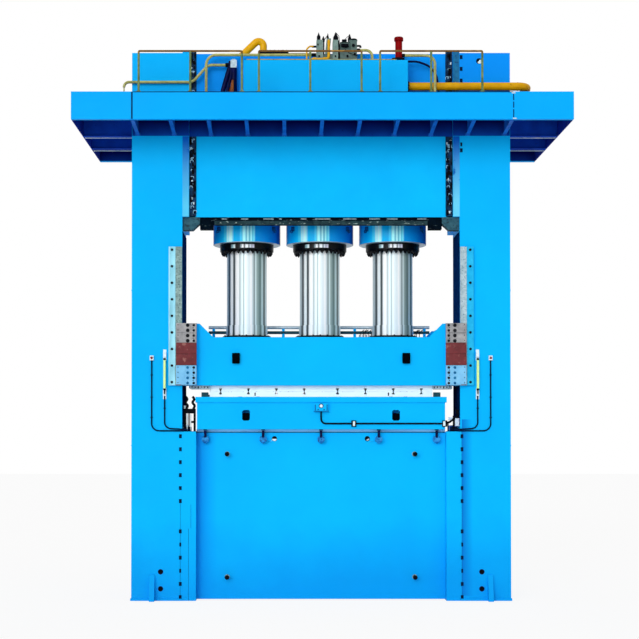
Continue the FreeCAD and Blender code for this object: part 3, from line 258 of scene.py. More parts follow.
@dataclass(frozen=True)
class BandedReflectionFinish(Finish):
    """A finish with upright bands of painted reflection and painted shade that run round each of the
    three cylinders.

    Stops are degrees from the front, negative to the operator's left, each with the
    painted tone of reflection and shade from there.
    """

    pitch: float = 2.05
    stops: tuple[tuple[float, str], ...] = ()
    share: float = 1.0
    levels: tuple[float, float] | None = None

    def build(self) -> bpy.types.Material:
        """Makes the material and lays the bands over its colour.

        Returns:
            The material.
        """
        material = super().build()
        tree = material.node_tree
        shader = tree.nodes["Principled BSDF"]
        base = shader.inputs["Base Color"].links[0].from_socket
        place = add_node(tree, "TexCoord").outputs["Object"]
        parts = add_node(tree, "SeparateXYZ", {}, {0: place})
        across = add_node(tree, "Math", {1: self.pitch / 2, 2: -self.pitch / 2},
                          {0: parts.outputs[0]}, operation="WRAP").outputs[0]
        front = add_node(tree, "Math", {1: -1.0}, {0: parts.outputs[1]},
                         operation="MULTIPLY").outputs[0]
        angle = add_node(tree, "Math", {}, {0: across, 1: front}, operation="ARCTAN2").outputs[0]
        turn = add_node(tree, "MapRange", {"From Min": -math.pi, "From Max": math.pi},
                        {"Value": angle}).outputs[0]
        bands = add_node(tree, "ValToRGB", {}, {0: turn})
        ramp = bands.color_ramp
        ramp.interpolation = "EASE"
        ramp.elements[0].position, ramp.elements[0].color = 0.0, linear(self.stops[0][1])
        ramp.elements[1].position, ramp.elements[1].color = 1.0, linear(self.stops[-1][1])
        for degrees, tone in self.stops[1:-1]:
            ramp.elements.new(0.5 + degrees / 360).color = linear(tone)
        mix = add_node(tree, "Mix", {0: self.share}, {6: base, 7: bands.outputs[0]},
                       data_type="RGBA")
        if self.levels:
            middle, half = sum(self.levels) / 2, (self.levels[1] - self.levels[0]) / 2
            within = add_node(tree, "Math", {1: middle, 2: half}, {0: parts.outputs[2]},
                              operation="COMPARE")
            tree.links.new(within.outputs[0], mix.inputs[0])
        mixed = mix.outputs[2]
        tree.links.new(mixed, shader.inputs["Base Color"])
        return material


# Sprayed alkyd machine enamel on mill plate: a flat, saturated sky blue that clouds
# slightly where the coats differ, with a fine orange peel, and darker towards the floor.
PRESS_ENAMEL = Finish("sky_blue_alkyd_enamel", "press_blue", "00b7fc", "00adf6", 0.56, (2600, 0.7),
                      ("0a82d0", 420, 0.76), (45, 0.12), specular=0.05, low_tone=("0092e2", 1500))
# The right column's enamel, with painted shade above the walkway's deck where it stands in shade.
RIGHT_ENAMEL = replace(PRESS_ENAMEL, name="sky_blue_alkyd_painted_shade_over_deck",
                       upper=("0090f6", 13448, 10, 2))
# A darker copy of the enamel for the fascia: painted shade that offsets the stronger light on it.
FASCIA_ENAMEL = replace(PRESS_ENAMEL, name="sky_blue_alkyd_painted_shade_fascia", colour="00a9fa",
                        shade="009ff4", specular=0.05)
# The crown's side plates: painted shade in navy under the walkway and a pale painted highlight at
# their lower ends.
SIDE_PLATE_ENAMEL = replace(PRESS_ENAMEL, name="side_plate_painted_light_and_shade", colour="6cd4f4",
                            shade="48c0ec", speck=("0a4c8c", 420, 0.64),
                            upper=("0060c8", 11600, 900, 2))
# Navy on the wall between the brackets: painted shade under the walkway, darkest towards the top.
WALL_SHADE_NAVY = Finish("wall_navy_painted_shade", "press_blue", "0c54c0", "0644a8", 0.8, (600, 0.8),
                   ("02105c", 120, 0.66), (24, 0.2), specular=0.05,
                   upper=("020a60", 12760, 240, 2))
# The crown's enamel: a lighter copy that offsets the walkway's shadow on it as painted light, with
# painted shade above the walkway's deck.
CROWN_LIGHT_SHADE_ENAMEL = Finish("crown_enamel_painted_light_and_shade", "press_blue", "00bcfe", "00b2f8", 0.55,
                          (1500, 0.8), ("064f96", 300, 0.72), (45, 0.12), specular=0.05,
                          upper=("0094f8", 13448, 10, 2))
# Dark navy under the decks, where it is painted shade, also on the wings' side fascias; matt and
# patchy.
DECK_SHADE_NAVY = Finish("deck_navy_painted_shade", "press_blue", "06309c", "031c78", 0.8, (700, 0.9),
                     ("08308f", 160, 0.66), (20, 0.3), specular=0.1)
# The joists' webs in a lighter blue than the decks: painted shade under the wings.
WING_SHADE_BLUE = replace(DECK_SHADE_NAVY, name="joist_blue_painted_shade", colour="084cc4", shade="0638a0")
# Mid-blue, darker than the press's enamel: painted shade on the brackets under the walkway, in
# streaks that run down the plates; the feet's hole rings wear it too.
BRACKET_SHADE_BLUE = Finish("bracket_blue_painted_shade", "press_blue", "0e6ccc", "084ca4", 0.65,
                           (500, 0.8), ("021f5c", 120, 0.7), (14, 0.3), specular=0.2,
                           stretch=(1, 1, 4))
# Two-pack gloss enamel over turned steel: deep blue, with painted reflections as pale
# upright streaks and painted shade towards its sides.
COLLAR_ENAMEL = BandedReflectionFinish("gloss_enamel_painted_reflections", "collar_blue", "0098f0", "0080dc", 0.16,
                             (900, 0.6), ("043a80", 220, 0.74), (60, 0.05), spread=0.03,
                             specular=0.04, coat=0.02, share=0.97,
                             stops=((-180, "0878d0"), (-126, "0a8ee6"), (-92, "0a84e0"),
                                    (-66, "1cb0ff"), (-56, "00b0ff"), (-42, "10c0ff"),
                                    (-39, "48dcff"), (-36, "48d8ff"), (-33, "c4ffff"),
                                    (-30.5, "9cf4ff"), (-29, "d8ffff"), (-25, "b4ffff"),
                                    (-21, "08b8f4"), (-11, "02acee"), (-8.5, "44d4ff"),
                                    (-6.5, "3cc0e4"), (-4.5, "b4ffff"), (-1.5, "acfaff"),
                                    (0.5, "4ab0cc"), (3, "c4ffff"), (6, "48b0cc"), (8.5, "b4ffff"),
                                    (11, "4cc4e6"), (13.5, "84f0ff"), (16, "0894e0"),
                                    (36, "0488e0"), (56, "0474d8"), (70, "0452b4"), (82, "083078"),
                                    (180, "0878d0")))
# Hard chrome, ground and honed along the ram: near-white, with painted reflections in dark and
# bright upright bands.
RAM_CHROME = BandedReflectionFinish("hard_chrome_painted_reflections", "ram_chrome", "f6faf8", "e6ecea", 0.3, (70, 0.9),
                          ("9fa8a4", 46, 0.66), (18, 0.06), metallic=0.1, spread=0.04,
                          specular=0.12, stretch=(1, 1, 60), speck_stretch=(1, 1, 80),
                          grain_stretch=(1, 1, 40), share=0.95,
                          stops=((-180, "f4f8f8"), (-118, "eef6f6"), (-70, "a8bcc4"),
                                 (-60, "0c2430"), (-56, "0c2430"), (-50, "f8ffff"),
                                 (-43, "f8ffff"), (-40, "142e38"), (-36, "0c2830"),
                                 (-31, "fcffff"), (-23, "fcffff"), (-20, "a4b4b8"),
                                 (-11, "dceef2"), (-8.3, "829aa0"), (-3, "e8f8fc"), (8, "e4f2f6"),
                                 (14, "fcffff"), (18, "cadade"), (23.5, "6c8286"), (27, "dcf2f2"),
                                 (32, "94aeac"), (44, "5c7c78"), (49, "cce6e4"), (54, "cce4e2"),
                                 (58.5, "243c3a"), (63, "5c7472"), (71, "ecffff"), (90, "dfe8e6"),
                                 (180, "f4f8f8")))
# Faced steel under the collars: bare, pale and turned in fine rings.
FACED_STEEL = Finish("faced_collar_steel", "machined_steel", "c4d2d8", "a4b6be", 0.4, (160, 0.8),
                     ("74868e", 60, 0.66), (8, 0.2), metallic=0.2)
# Face-milled plate: pale bare steel with the cutter's passes along it.
MILLED_STEEL = Finish("face_milled_plate", "machined_steel", "f4fffc", "e2f4f4", 0.5, (420, 0.7),
                      ("8ea9bb", 90, 0.7), (9, 0.25), metallic=0.1, stretch=(3, 1, 1),
                      grain_stretch=(1, 1, 12))
# Ground slideways on the columns, oiled: pale cyan steel with greyer oil films.
GUIDE_STEEL = Finish("ground_slideway_steel", "rail_pale", "8cd6ea", "74b8cc", 0.4, (260, 0.8),
                     ("7fa7b4", 60, 0.66), (6, 0.2), metallic=0.1, stretch=(1, 1, 3),
                     grain_stretch=(12, 1, 1))
# Cast iron shoes, machined and left bare: warm grey with a mottle of dark pores.
SHOE_IRON = Finish("machined_grey_iron", "shoe_grey", "9c9c9e", "78787c", 0.5, (180, 0.9),
                   ("5c5a60", 34, 0.62), (12, 0.4), metallic=0.1)
# The lower shoe plates carry one thin coat of pale blue over the same iron.
SHOE_BLUE = Finish("thin_blue_on_iron", "shoe_grey", "7fc4ec", "6ab0de", 0.5, (220, 0.8),
                   ("4d86ad", 50, 0.66), (12, 0.3))
# Red-brown phenolic wedge blocks: matt, with pale scuffs where they were set.
WEDGE_RED = Finish("red_brown_phenolic", "wedge_red", "743236", "5f2a2e", 0.62, (170, 0.9),
                   ("94615c", 120, 0.6), (10, 0.3))
# Black-oxided steel, oily: fasteners, glands and clamps.
BLACK_OXIDE = Finish("oiled_black_oxide", "black_iron", "020408", "060a12", 0.45, (120, 0.8),
                     ("1c2430", 30, 0.66), (6, 0.4), specular=0.1)
# The glands' rims: the same oxide, with painted reflections as bright upright patches.
GLAND_OXIDE = BandedReflectionFinish("black_oxide_painted_reflections", "black_iron", "01040c", "020814", 0.35,
                           (120, 0.8), ("1c2430", 30, 0.7), (6, 0.2), specular=0.12, share=1.0,
                           levels=(9.655, 9.755),
                           stops=((-180, "020408"), (-150, "c8dce0"), (-146, "020408"),
                                  (-35, "04080e"), (-33, "80a0a8"), (-30, "8cb0b8"),
                                  (-26, "e8fcff"), (-23, "04080e"), (-14, "04080e"),
                                  (-12, "7c8c94"), (-7, "fcffff"), (-3.5, "0c1418"),
                                  (-1, "f4faff"), (3.5, "f4fcff"), (5.5, "0a1014"), (8, "e0e8f4"),
                                  (12, "a4a8b4"), (16, "d8d8ec"), (18, "04080e"), (140, "020408"),
                                  (146, "c8dce0"), (180, "020408")))
# Cast crown plate under the cylinders: dark, rough and oily, with rust-grey scale.
OILED_CASTING = Finish("oiled_rough_casting", "black_iron", "03101c", "010610", 0.8, (240, 0.9),
                       ("5a6c70", 60, 0.6), (40, 1.0), specular=0.02, speck_stretch=(3, 1, 1))
# Blasted plate at the crown's ends: grey-green scale with paler patches.
BLASTED_PLATE = Finish("blasted_grey_plate", "black_iron", "34606e", "1c4656", 0.7, (120, 0.9),
                       ("22363f", 60, 0.56), (18, 0.8))
# Chrome-yellow pipe paint, brushed: warm, glossy, darker under the pipes with drips.
PIPE_YELLOW = Finish("chrome_yellow_pipe_enamel", "pipe_yellow", "e2aa00", "cc9400", 0.34,
                     (300, 0.9), ("8a5c10", 90, 0.66), (16, 0.2))
# Thin oil pipes in the same yellow, aged to ochre.
PIPE_OCHRE = Finish("aged_ochre_pipe_enamel", "pipe_yellow", "b8b874", "949450", 0.42, (160, 0.9),
                    ("5c4a28", 50, 0.62), (10, 0.3))
# Guard rail tube in a thin, dusty gold enamel over primer.
RAIL_GOLD = Finish("dull_gold_rail_enamel", "rail_gold", "7c9058", "44603c", 0.5, (200, 0.9),
                   ("24444c", 44, 0.6), (8, 0.3))
# The top rails, darker and browner than the posts: painted shade on the rails seen from below, with
# painted highlights in paler gold streaks.
RAIL_BROWN = Finish("rail_enamel_painted_shade_and_highlight", "rail_gold", "7c5a24", "5c3c14", 0.5, (160, 0.9),
                    ("b08a44", 70, 0.58), (8, 0.3), speck_stretch=(6, 1, 1))
# Navy polyamide sleeve on the drain pipes: satin, drawn lengthwise.
NAVY_SLEEVE = Finish("drawn_navy_polyamide", "cable_black", "020a48", "010524", 0.4, (90, 0.9),
                     ("0a2a70", 40, 0.66), (6, 0.2), specular=0.06, speck_stretch=(1, 1, 5))
# Pale zinc casting with a dull skin.
PALE_CASTING = Finish("dull_zinc_casting", "fitting_white", "d4e6ec", "a8c0ca", 0.45, (80, 0.9),
                      ("6c8490", 36, 0.64), (8, 0.4))
# Oil-soaked rust on the splash plate, running down in orange-brown.
OILY_BROWN = Finish("oil_soaked_rust", "cable_black", "a85c24", "5c2e14", 0.5, (120, 1.0),
                    ("e0a060", 50, 0.62), (10, 0.5), stretch=(1, 1, 3))
# Zinc-phosphated valve blocks: grey-green, crystalline and matt.
VALVE_PHOSPHATE = Finish("zinc_phosphated_block", "valve_grey", "4a6460", "304846", 0.6,
                         (140, 0.9), ("48605f", 36, 0.62), (8, 0.4), metallic=0.1)
# The two narrow blocks were dipped later and stayed paler.
PALE_PHOSPHATE = Finish("pale_phosphated_block", "valve_grey", "748f88", "526e6a", 0.6, (140, 0.9),
                        ("5c7270", 36, 0.62), (8, 0.4), metallic=0.05)
# Black thermoset coil housings, faintly glossy; the same black is painted shade in the holes of the
# feet, the bed and the hoist hole, and along the base plate's lower edge.
BLACK_THERMOSET_AND_SHADE = Finish("black_thermoset_and_painted_shade", "black_iron", "02040a", "060a14", 0.6,
                        (60, 0.8), ("1c2230", 24, 0.66), (5, 0.3), specular=0.04)
# Grey-green jointing sheet and base plate, with oil along the edge.
GASKET_GREEN = Finish("oiled_jointing_sheet", "valve_grey", "88987a", "5c6a54", 0.6, (120, 1.0),
                      ("2c342c", 50, 0.58), (8, 0.3), speck_stretch=(4, 1, 1))
# Pale grey: the own colour of the gap's end box and the T-slot plates' joint, and a painted
# highlight along the wing joists' lower edges.
PALE_GREY_AND_HIGHLIGHT = Finish("pale_grey_and_joist_highlight", "press_blue", "f0faff", "b8d4f0", 0.6, (200, 1.0),
                    ("14306c", 60, 0.6), (10, 0.3))
# Dark strips in the open seams and joints and along the fascia's top edge: painted shade.
SEAM_SHADOW = Finish("seam_painted_shade", "press_blue", "04406c", "022a58", 0.7, (240, 1.0),
                     ("0a7cac", 90, 0.66), (12, 0.3), specular=0.05, speck_stretch=(4, 1, 1))
# The trunks in the crown's gaps: dark navy as painted shade in the deep gaps, with pale flecks.
GAP_SHADE_NAVY = Finish("gap_navy_painted_shade", "press_blue", "0a3c64", "03142c", 0.6, (110, 1.0),
                  ("54889c", 44, 0.62), (10, 0.6), specular=0.1, speck_stretch=(1, 1, 2))
# Steel blue on the strip over the right side plate's head, the lower shoe bolts and the distributor
# blocks.
RIB_STEEL = Finish("steel_blue_strip", "press_blue", "1a78a8", "0c5c90", 0.5, (160, 1.0),
                   ("0a3c68", 70, 0.6), (12, 0.3), specular=0.1)
# Dark navy plates on the columns' inner faces: painted shade.
INNER_SHADE_NAVY = Finish("inner_face_painted_shade", "press_blue", "08346c", "041c48", 0.9, (120, 1.0),
                    ("3c88a8", 50, 0.64), (12, 0.4), specular=0.0, speck_stretch=(1, 1, 3))
# Pale blue spiral tube of the gauges.
CURL_BLUE = Finish("pale_blue_spiral_tube", "fitting_white", "a4d4ec", "70a8cc", 0.4, (30, 0.8),
                   ("2c5c7c", 14, 0.6), (4, 0.3))
# Scraped slideway steel under a grey-green oil film.
MOTTLED_GREEN = Finish("scraped_oiled_steel", "rail_pale", "8ca8a4", "5c7c7c", 0.5, (90, 1.0),
                       ("2c4448", 40, 0.56), (8, 0.5), metallic=0.2)
# Blackened high-tensile bolts.
BOLT_BLACK = Finish("blackened_bolt", "black_iron", "0a0c12", "161a22", 0.45, (40, 0.8),
                    ("4c5258", 18, 0.7), (5, 0.3), specular=0.1)
# Milky lens film of the light curtain.
CURTAIN_WINDOW = Finish("milky_acrylic_lens", "curtain_yellow", "e4fca4", "c8e484", 0.3, (60, 0.6),
                        ("7c9c8c", 20, 0.7), (6, 0.1), specular=0.3)
# Press enamel on the forged clamps, dark with cutting oil.
CLAMP_BLUE = Finish("oiled_clamp_enamel", "press_blue", "2a9ce4", "0c60a8", 0.5, (90, 1.0),
                    ("021c38", 40, 0.58), (10, 0.6))
# Pale turned bush of the tab's eye, and painted light in the holes where light falls in and where
# the hoist hole shows through.
HOLE_PALE = Finish("pale_bush_and_painted_light", "fitting_white", "dcecf2", "b4ccd8", 0.4, (60, 0.8),
                   ("6c8ca0", 24, 0.68), (6, 0.2), metallic=0.1)
# Black in the pockets: painted shade.
POCKET_SHADE = Finish("pocket_painted_shade", "black_iron", "010206", "02050c", 0.8, (120, 0.8),
                      ("0c1420", 40, 0.7), (10, 0.4), specular=0.02)
# Dark blue enamel on the collar lugs and the tab's cheeks and bosses, and painted shadow on the lip
# under the tab.
TAB_BLUE = Finish("tab_blue_and_painted_shadow", "press_blue", "0c5c9c", "063c70", 0.5, (80, 1.0),
                  ("021c3c", 30, 0.6), (8, 0.4), specular=0.05)
# The right slideway strip kept a film of the press's enamel.
RAIL_CYAN = Finish("enamel_filmed_slideway", "rail_pale", "28bcec", "18a8e0", 0.5, (220, 0.9),
                   ("0c7cb4", 60, 0.66), (12, 0.2), specular=0.05, speck_stretch=(1, 1, 3))
# The right side's scraped face, wiped dry and paler.
SCRAPED_PALE = Finish("scraped_dry_steel", "rail_pale", "b4c8d0", "8ca8b4", 0.5, (80, 1.0),
                      ("54748c", 36, 0.58), (8, 0.5), metallic=0.1)
# The bed's wall with painted shade that darkens it towards its left seam, where it is recessed.
BED_ENAMEL = replace(PRESS_ENAMEL, name="sky_blue_alkyd_painted_shade_left",
                     upper=("0090e4", -3080, -260, 0))
# The enamel with painted shade that darkens towards the right column's seam.
SEAM_ENAMEL = replace(PRESS_ENAMEL, name="sky_blue_alkyd_painted_seam_shade", upper=("0078d0", 3960, -140, 0))
# Grey-green jointing compound squeezed out under the crown.
JOINT_GREEN = Finish("squeezed_joint_compound", "black_iron", "2c4448", "14262e", 0.8, (160, 1.0),
                     ("94a8a4", 44, 0.6), (14, 1.0), specular=0.03, speck_stretch=(3, 1, 1))
# The table's wear plate: bare steel with a thin film of the press's enamel.
FILMED_STEEL = Finish("enamel_filmed_wear_plate", "machined_steel", "94dcff", "78bce8", 0.5,
                      (300, 0.9), ("3c7498", 50, 0.66), (14, 0.2), specular=0.06,
                      stretch=(3, 1, 1), speck_stretch=(3, 1, 1))
# Stove-enamelled filter bowl: deep glossy red.
FILTER_RED = Finish("stoved_red_enamel", "filter_red", "8a0004", "6a0002", 0.5, (160, 0.7),
                    ("4c0206", 60, 0.7), (14, 0.1), specular=0.05)
# Injection-moulded polycarbonate curtain cover: pale yellow-green, satin.
CURTAIN_YELLOW = Finish("moulded_yellow_polycarbonate", "curtain_yellow", "d0f088", "b4f2cc", 0.3,
                        (200, 0.7), ("8ad8b4", 60, 0.74), (10, 0.1))
# White ABS boxes and brackets with handling marks.
WHITE_ABS = Finish("moulded_white_abs", "fitting_white", "e6f6fa", "c9e2ea", 0.4, (70, 0.8),
                   ("7f98a2", 26, 0.68), (5, 0.2))
# Red push-button cap in moulded nylon.
BUTTON_RED = Finish("moulded_red_nylon", "button_red", "a82032", "7c1626", 0.3, (30, 0.7),
                    ("4a0c16", 12, 0.7), (3, 0.1))
# Black PVC-covered conduit and hose, with a painted blue cast that stands for light bounced off the
# blue paint around it.
CONDUIT_BLACK = Finish("black_pvc_painted_blue_bounce", "cable_black", "041c40", "02102c", 0.6, (90, 0.8),
                       ("1c3c60", 30, 0.66), (6, 0.3), specular=0.04)
# Rubber hose, almost black, dusty on top.
HOSE_BLACK = Finish("dusty_black_rubber", "cable_black", "12141c", "1d2029", 0.5, (90, 0.9),
                    ("3a3f4a", 24, 0.62), (6, 0.5))
# Dark teal polyurethane stop blocks.
STOP_TEAL = Finish("cast_teal_polyurethane", "stop_teal", "164a54", "0e343e", 0.55, (90, 0.8),
                   ("3a6c74", 40, 0.64), (14, 0.4))


class Palette:
    """Builds each finish once and hands the same material to all that wear it."""

    def __init__(self) -> None:
        """Starts with nothing built."""
        self._made: dict[str, bpy.types.Material] = {}

    def material(self, finish: Finish) -> bpy.types.Material:
        """Gives a finish's material, building it the first time.

        Args:
            finish: The finish that is wanted.

        Returns:
            Its material.
        """
        if finish.name not in self._made:
            self._made[finish.name] = finish.build()
        return self._made[finish.name]

    def wear(self, piece: Piece, finish: Finish) -> None:
        """Puts a finish on every face of an object, in place of what it had.

        Args:
            piece: A CAD node or a new piece.
            finish: What it wears.
        """
        material = self.material(finish)
        if not piece.material_slots:
            piece.data.materials.append(material)
        for place in piece.material_slots:
            place.material = material


PALETTE = Palette()

# What each carried-over CAD node wears.
DRESS: dict[Finish, tuple[str, ...]] = {
    RIGHT_ENAMEL: ("right_column",),
    FASCIA_ENAMEL: ("front_walkway_fascia",),
    BED_ENAMEL: ("bed",),
    FILMED_STEEL: ("bolster_base_plate",),
    PRESS_ENAMEL: ("left_column", "bed_side_plates", "slide", "bolster", "rear_walkway_fascia",
                   "oil_tank", "table_lifting_tab"),
    CROWN_LIGHT_SHADE_ENAMEL: ("crown", "crown_side_plates"),
    DECK_SHADE_NAVY: ("walkway_decks", "wing_side_fascias"),
    WING_SHADE_BLUE: ("wing_joists",),
    BRACKET_SHADE_BLUE: ("walkway_brackets", "hold_down_clamps"),
    COLLAR_ENAMEL: ("left_cylinder", "middle_cylinder", "right_cylinder"),
    RAM_CHROME: ("left_ram", "middle_ram", "right_ram"),
    MILLED_STEEL: ("lower_t_slot_plate", "upper_t_slot_plate"),
    GUIDE_STEEL: ("guide_rails",),
    SHOE_IRON: ("guide_shoes", "upper_shoe_plates", "slide_cross_pipe"),
    SHOE_BLUE: ("lower_shoe_plates",),
    WEDGE_RED: ("wedge_blocks",),
    GLAND_OXIDE: ("left_gland", "middle_gland", "right_gland"),
    BLACK_OXIDE: ("gland_nuts", "shoe_bolts", "guide_rail_bolts", "filling_flange",
                  "conduit_clips", "lifting_pegs"),
    OILED_CASTING: ("crown_under_plate", "upper_stop_blocks"),
    BLASTED_PLATE: ("crown_ledges",),
    PIPE_YELLOW: ("filling_pipe",),
    PIPE_OCHRE: ("oil_pipes",),
    RAIL_GOLD: ("guard_rails",),
    VALVE_PHOSPHATE: ("pump_manifold", "pilot_valves"),
    FILTER_RED: ("return_filter",),
    CURTAIN_YELLOW: ("light_curtains",),
    WHITE_ABS: ("button_boxes", "curtain_brackets"),
    BUTTON_RED: ("left_button", "right_button"),
    CONDUIT_BLACK: ("conduits", "table_conduit", "column_keys"),
    HOSE_BLACK: ("drain_pipes",),
    STOP_TEAL: ("table_stop_blocks",),
}


# ---- modelling by hand

class Axis(Enum):
    """The way that a turned piece points."""

    X = "x"
    Y = "y"
    Z = "z"

    @property
    def turn(self) -> tuple[float, float, float]:
        """The rotation that brings a primitive's own axis to this one."""
        return {"x": (0, math.pi / 2, 0), "y": (math.pi / 2, 0, 0), "z": (0, 0, 0)}[self.value]

    @property
    def vector(self) -> Vector:
        """The unit vector along this axis."""
        return Vector({"x": (1, 0, 0), "y": (0, 1, 0), "z": (0, 0, 1)}[self.value])


class Bench:
    """Holds one piece at a time in edit mode and shapes it with Blender's operators."""

    def __init__(self, piece: Piece) -> None:
        """Takes a fresh primitive that is still selected.

        Args:
            piece: The object to shape.
        """
        self.piece = piece

    def focus(self) -> None:
        """Makes this the piece in edit mode, where it isn't already."""
        if bpy.context.object is not self.piece or self.piece.mode != "EDIT":
            Bench.clear()
            self.piece.select_set(True)
            bpy.context.view_layer.objects.active = self.piece
            bpy.ops.object.mode_set(mode="EDIT")
            bpy.ops.mesh.select_mode(type="FACE")

    @staticmethod
    def clear() -> None:
        """Leaves edit mode and deselects everything."""
        if bpy.context.object and bpy.context.object.mode != "OBJECT":
            bpy.ops.object.mode_set(mode="OBJECT")
        bpy.ops.object.select_all(action="DESELECT")

    @classmethod
    def box(cls, name: str, low: Point, high: Point) -> Bench:
        """Adds a block between two corners and opens it for shaping.

        Args:
            name: The piece's name.
            low: Its lowest corner.
            high: Its highest corner.

        Returns:
            The bench with the block in edit mode.
        """
        cls.clear()
        middle = [(a + b) / 2 for a, b in zip(low, high)]
        size = [b - a for a, b in zip(low, high)]
        bpy.ops.mesh.primitive_cube_add(size=1, location=middle, scale=size)
        return cls.opened(name)

    @classmethod
    def drum(cls, name: str, middle: Point, axis: Axis, radius: float, length: float,
             sides: int = 24, top: float | None = None) -> Bench:
        """Adds a cylinder, or a cone when top is given, and opens it for shaping.

        Args:
            name: The piece's name.
            middle: The middle of its length.
            axis: The way that it points.
            radius: Its radius at the low end.
            length: Its length.
            sides: Its number of sides.
            top: Its radius at the high end.

        Returns:
            The bench with the cylinder in edit mode.
        """
        cls.clear()
        far = radius if top is None else top
        low, high = (far, radius) if axis is Axis.Y else (radius, far)
        bpy.ops.mesh.primitive_cone_add(vertices=sides, radius1=low, radius2=high, depth=length,
                                        location=middle, rotation=axis.turn)
        return cls.opened(name)

    @classmethod
    def opened(cls, name: str) -> Bench:
        """Names the new primitive, applies its place and enters edit mode."""
        piece = bpy.context.object
        piece.name = piece.data.name = name
        bpy.ops.object.transform_apply(location=True, rotation=True, scale=True)
        bpy.ops.object.mode_set(mode="EDIT")
        bpy.ops.mesh.select_mode(type="FACE")
        return cls(piece)

    def _unpicked(self) -> bpy.types.Mesh:
        """Leaves edit mode with nothing picked and gives the mesh."""
        self.focus()
        bpy.ops.object.mode_set(mode="OBJECT")
        mesh = self.piece.data
        for item in list(mesh.vertices) + list(mesh.edges):
            item.select = False
        return mesh

    def pick(self, facing: Point | None = None, at: tuple[str, float] | None = None,
             within: tuple[Point, Point] | None = None) -> Bench:
        """Selects faces by the way that they face and by their place.

        Args:
            facing: The normal that they have.
            at: An axis and the value that their middle has on it.
            within: Two corners that hold their middle.

        Returns:
            The bench.
        """
        for face in self._unpicked().polygons:
            middle = face.center
            chosen = facing is None or face.normal.dot(Vector(facing).normalized()) > 0.97
            if at:
                chosen = chosen and abs(middle["xyz".index(at[0])] - at[1]) < 0.002
            if within:
                chosen = chosen and all(a - 0.0001 <= m <= b + 0.0001
                                        for a, m, b in zip(within[0], middle, within[1]))
            face.select = chosen
        bpy.ops.object.mode_set(mode="EDIT")
        return self

    def inset(self, width: float, depth: float = 0.0, single: bool = False) -> Bench:
        """Insets the picked faces, and sinks or raises them by depth."""
        bpy.ops.mesh.inset(thickness=width, depth=depth, use_individual=single)
        return self

    def extrude(self, move: Point, scale: float = 1.0) -> Bench:
        """Extrudes the picked faces by a move, then scales the new ones."""
        bpy.ops.mesh.extrude_region_move(TRANSFORM_OT_translate={"value": tuple(move)})
        if scale != 1.0:
            bpy.ops.transform.resize(value=(scale, scale, scale))
        return self

    def cut(self, point: Point, normal: Point) -> Bench:
        """Bisects the whole piece with a plane and keeps both sides."""
        bpy.ops.mesh.select_all(action="SELECT")
        bpy.ops.mesh.bisect(plane_co=point, plane_no=normal)
        return self

    def trim(self, point: Point, normal: Point) -> Bench:
        """Bisects the whole piece, clears what lies beyond the plane and caps it."""
        bpy.ops.mesh.select_all(action="SELECT")
        bpy.ops.mesh.bisect(plane_co=point, plane_no=normal, use_fill=True, clear_outer=True)
        return self

    def bore(self, first: float, radius: float, second: float = 0.0, along: int = 2) -> Bench:
        """Opens a hole by bridging the end faces that lie inside a radius.

        Args:
            first: The hole's place on the first axis across it.
            radius: Its radius.
            second: Its place on the second axis across it.
            along: The axis that it runs along, 0 for X and 2 for Z.

        Returns:
            The bench.
        """
        mesh = self._unpicked()
        one, two = [axis for axis in range(3) if axis != along]
        for face in mesh.polygons:
            reach = max(math.hypot(mesh.vertices[i].co[one] - first,
                                   mesh.vertices[i].co[two] - second) for i in face.vertices)
            face.select = abs(face.normal[along]) > 0.97 and reach < radius + 0.006
        bpy.ops.object.mode_set(mode="EDIT")
        bpy.ops.mesh.bridge_edge_loops()
        return self

    def soften(self, width: float, segments: int = 2, angle: float = 30.0) -> Bench:
        """Rounds every sharp edge with an applied Bevel modifier."""
        self.focus()
        bpy.ops.object.mode_set(mode="OBJECT")
        bevel = self.piece.modifiers.new("edge", "BEVEL")
        bevel.width = width
        bevel.segments = segments
        bevel.limit_method = "ANGLE"
        bevel.angle_limit = math.radians(angle)
        bpy.ops.object.modifier_apply(modifier="edge")
        bpy.ops.object.mode_set(mode="EDIT")
        return self

    def done(self, smooth: float = 35.0) -> Piece:
        """Closes the piece: merges doubles, turns its faces outwards and smooths it.

        Args:
            smooth: The angle in degrees under which edges are shaded smooth.

        Returns:
            The finished object.
        """
        self.focus()
        bpy.ops.mesh.select_all(action="SELECT")
        bpy.ops.mesh.remove_doubles(threshold=0.0002)
        bpy.ops.mesh.normals_make_consistent(inside=False)
        bpy.ops.object.mode_set(mode="OBJECT")
        bpy.ops.object.shade_smooth_by_angle(angle=math.radians(smooth))
        Bench.clear()
        return self.piece


def slab(name: str, low: Point, high: Point, rim: float, depth: float = 0.0, edge: float = 0.0,
         side: Point = FRONT) -> Piece:
    """Makes a plate between two corners, with one face stepped inside its rim.

    Args:
        name: The plate's name.
        low: Its lowest corner.
        high: Its highest corner.
        rim: The width of the rim.
        depth: How far the face inside the rim is raised or, below nought, sunk.
        edge: The rounding of its edges, or nought for none.
        side: The way that the stepped face looks.

    Returns:
        The finished plate.
    """
    bench = Bench.box(name, low, high).pick(side).inset(rim, depth)
    return (bench.soften(edge) if edge else bench).done()


def stub(name: str, middle: Point, axis: Axis, radius: float, length: float, sides: int,
         rim: float, depth: float = 0.0, smooth: float = 35.0) -> Piece:
    """Makes a short turned or hexagonal piece, with its outer end stepped inside its rim.

    Args:
        name: The piece's name.
        middle: The middle of its length.
        axis: The way that it points: its outer end looks right, to the front or up.
        radius: Its radius.
        length: Its length.
        sides: Its number of sides.
        rim: The width of the rim.
        depth: How far the end inside the rim is raised or, below nought, sunk.
        smooth: The angle in degrees under which edges are shaded smooth.

    Returns:
        The finished piece.
    """
    end = {Axis.X: RIGHT, Axis.Y: FRONT, Axis.Z: UP}[axis]
    return (Bench.drum(name, middle, axis, radius, length, sides).pick(end).inset(rim, depth)
            .done(smooth))


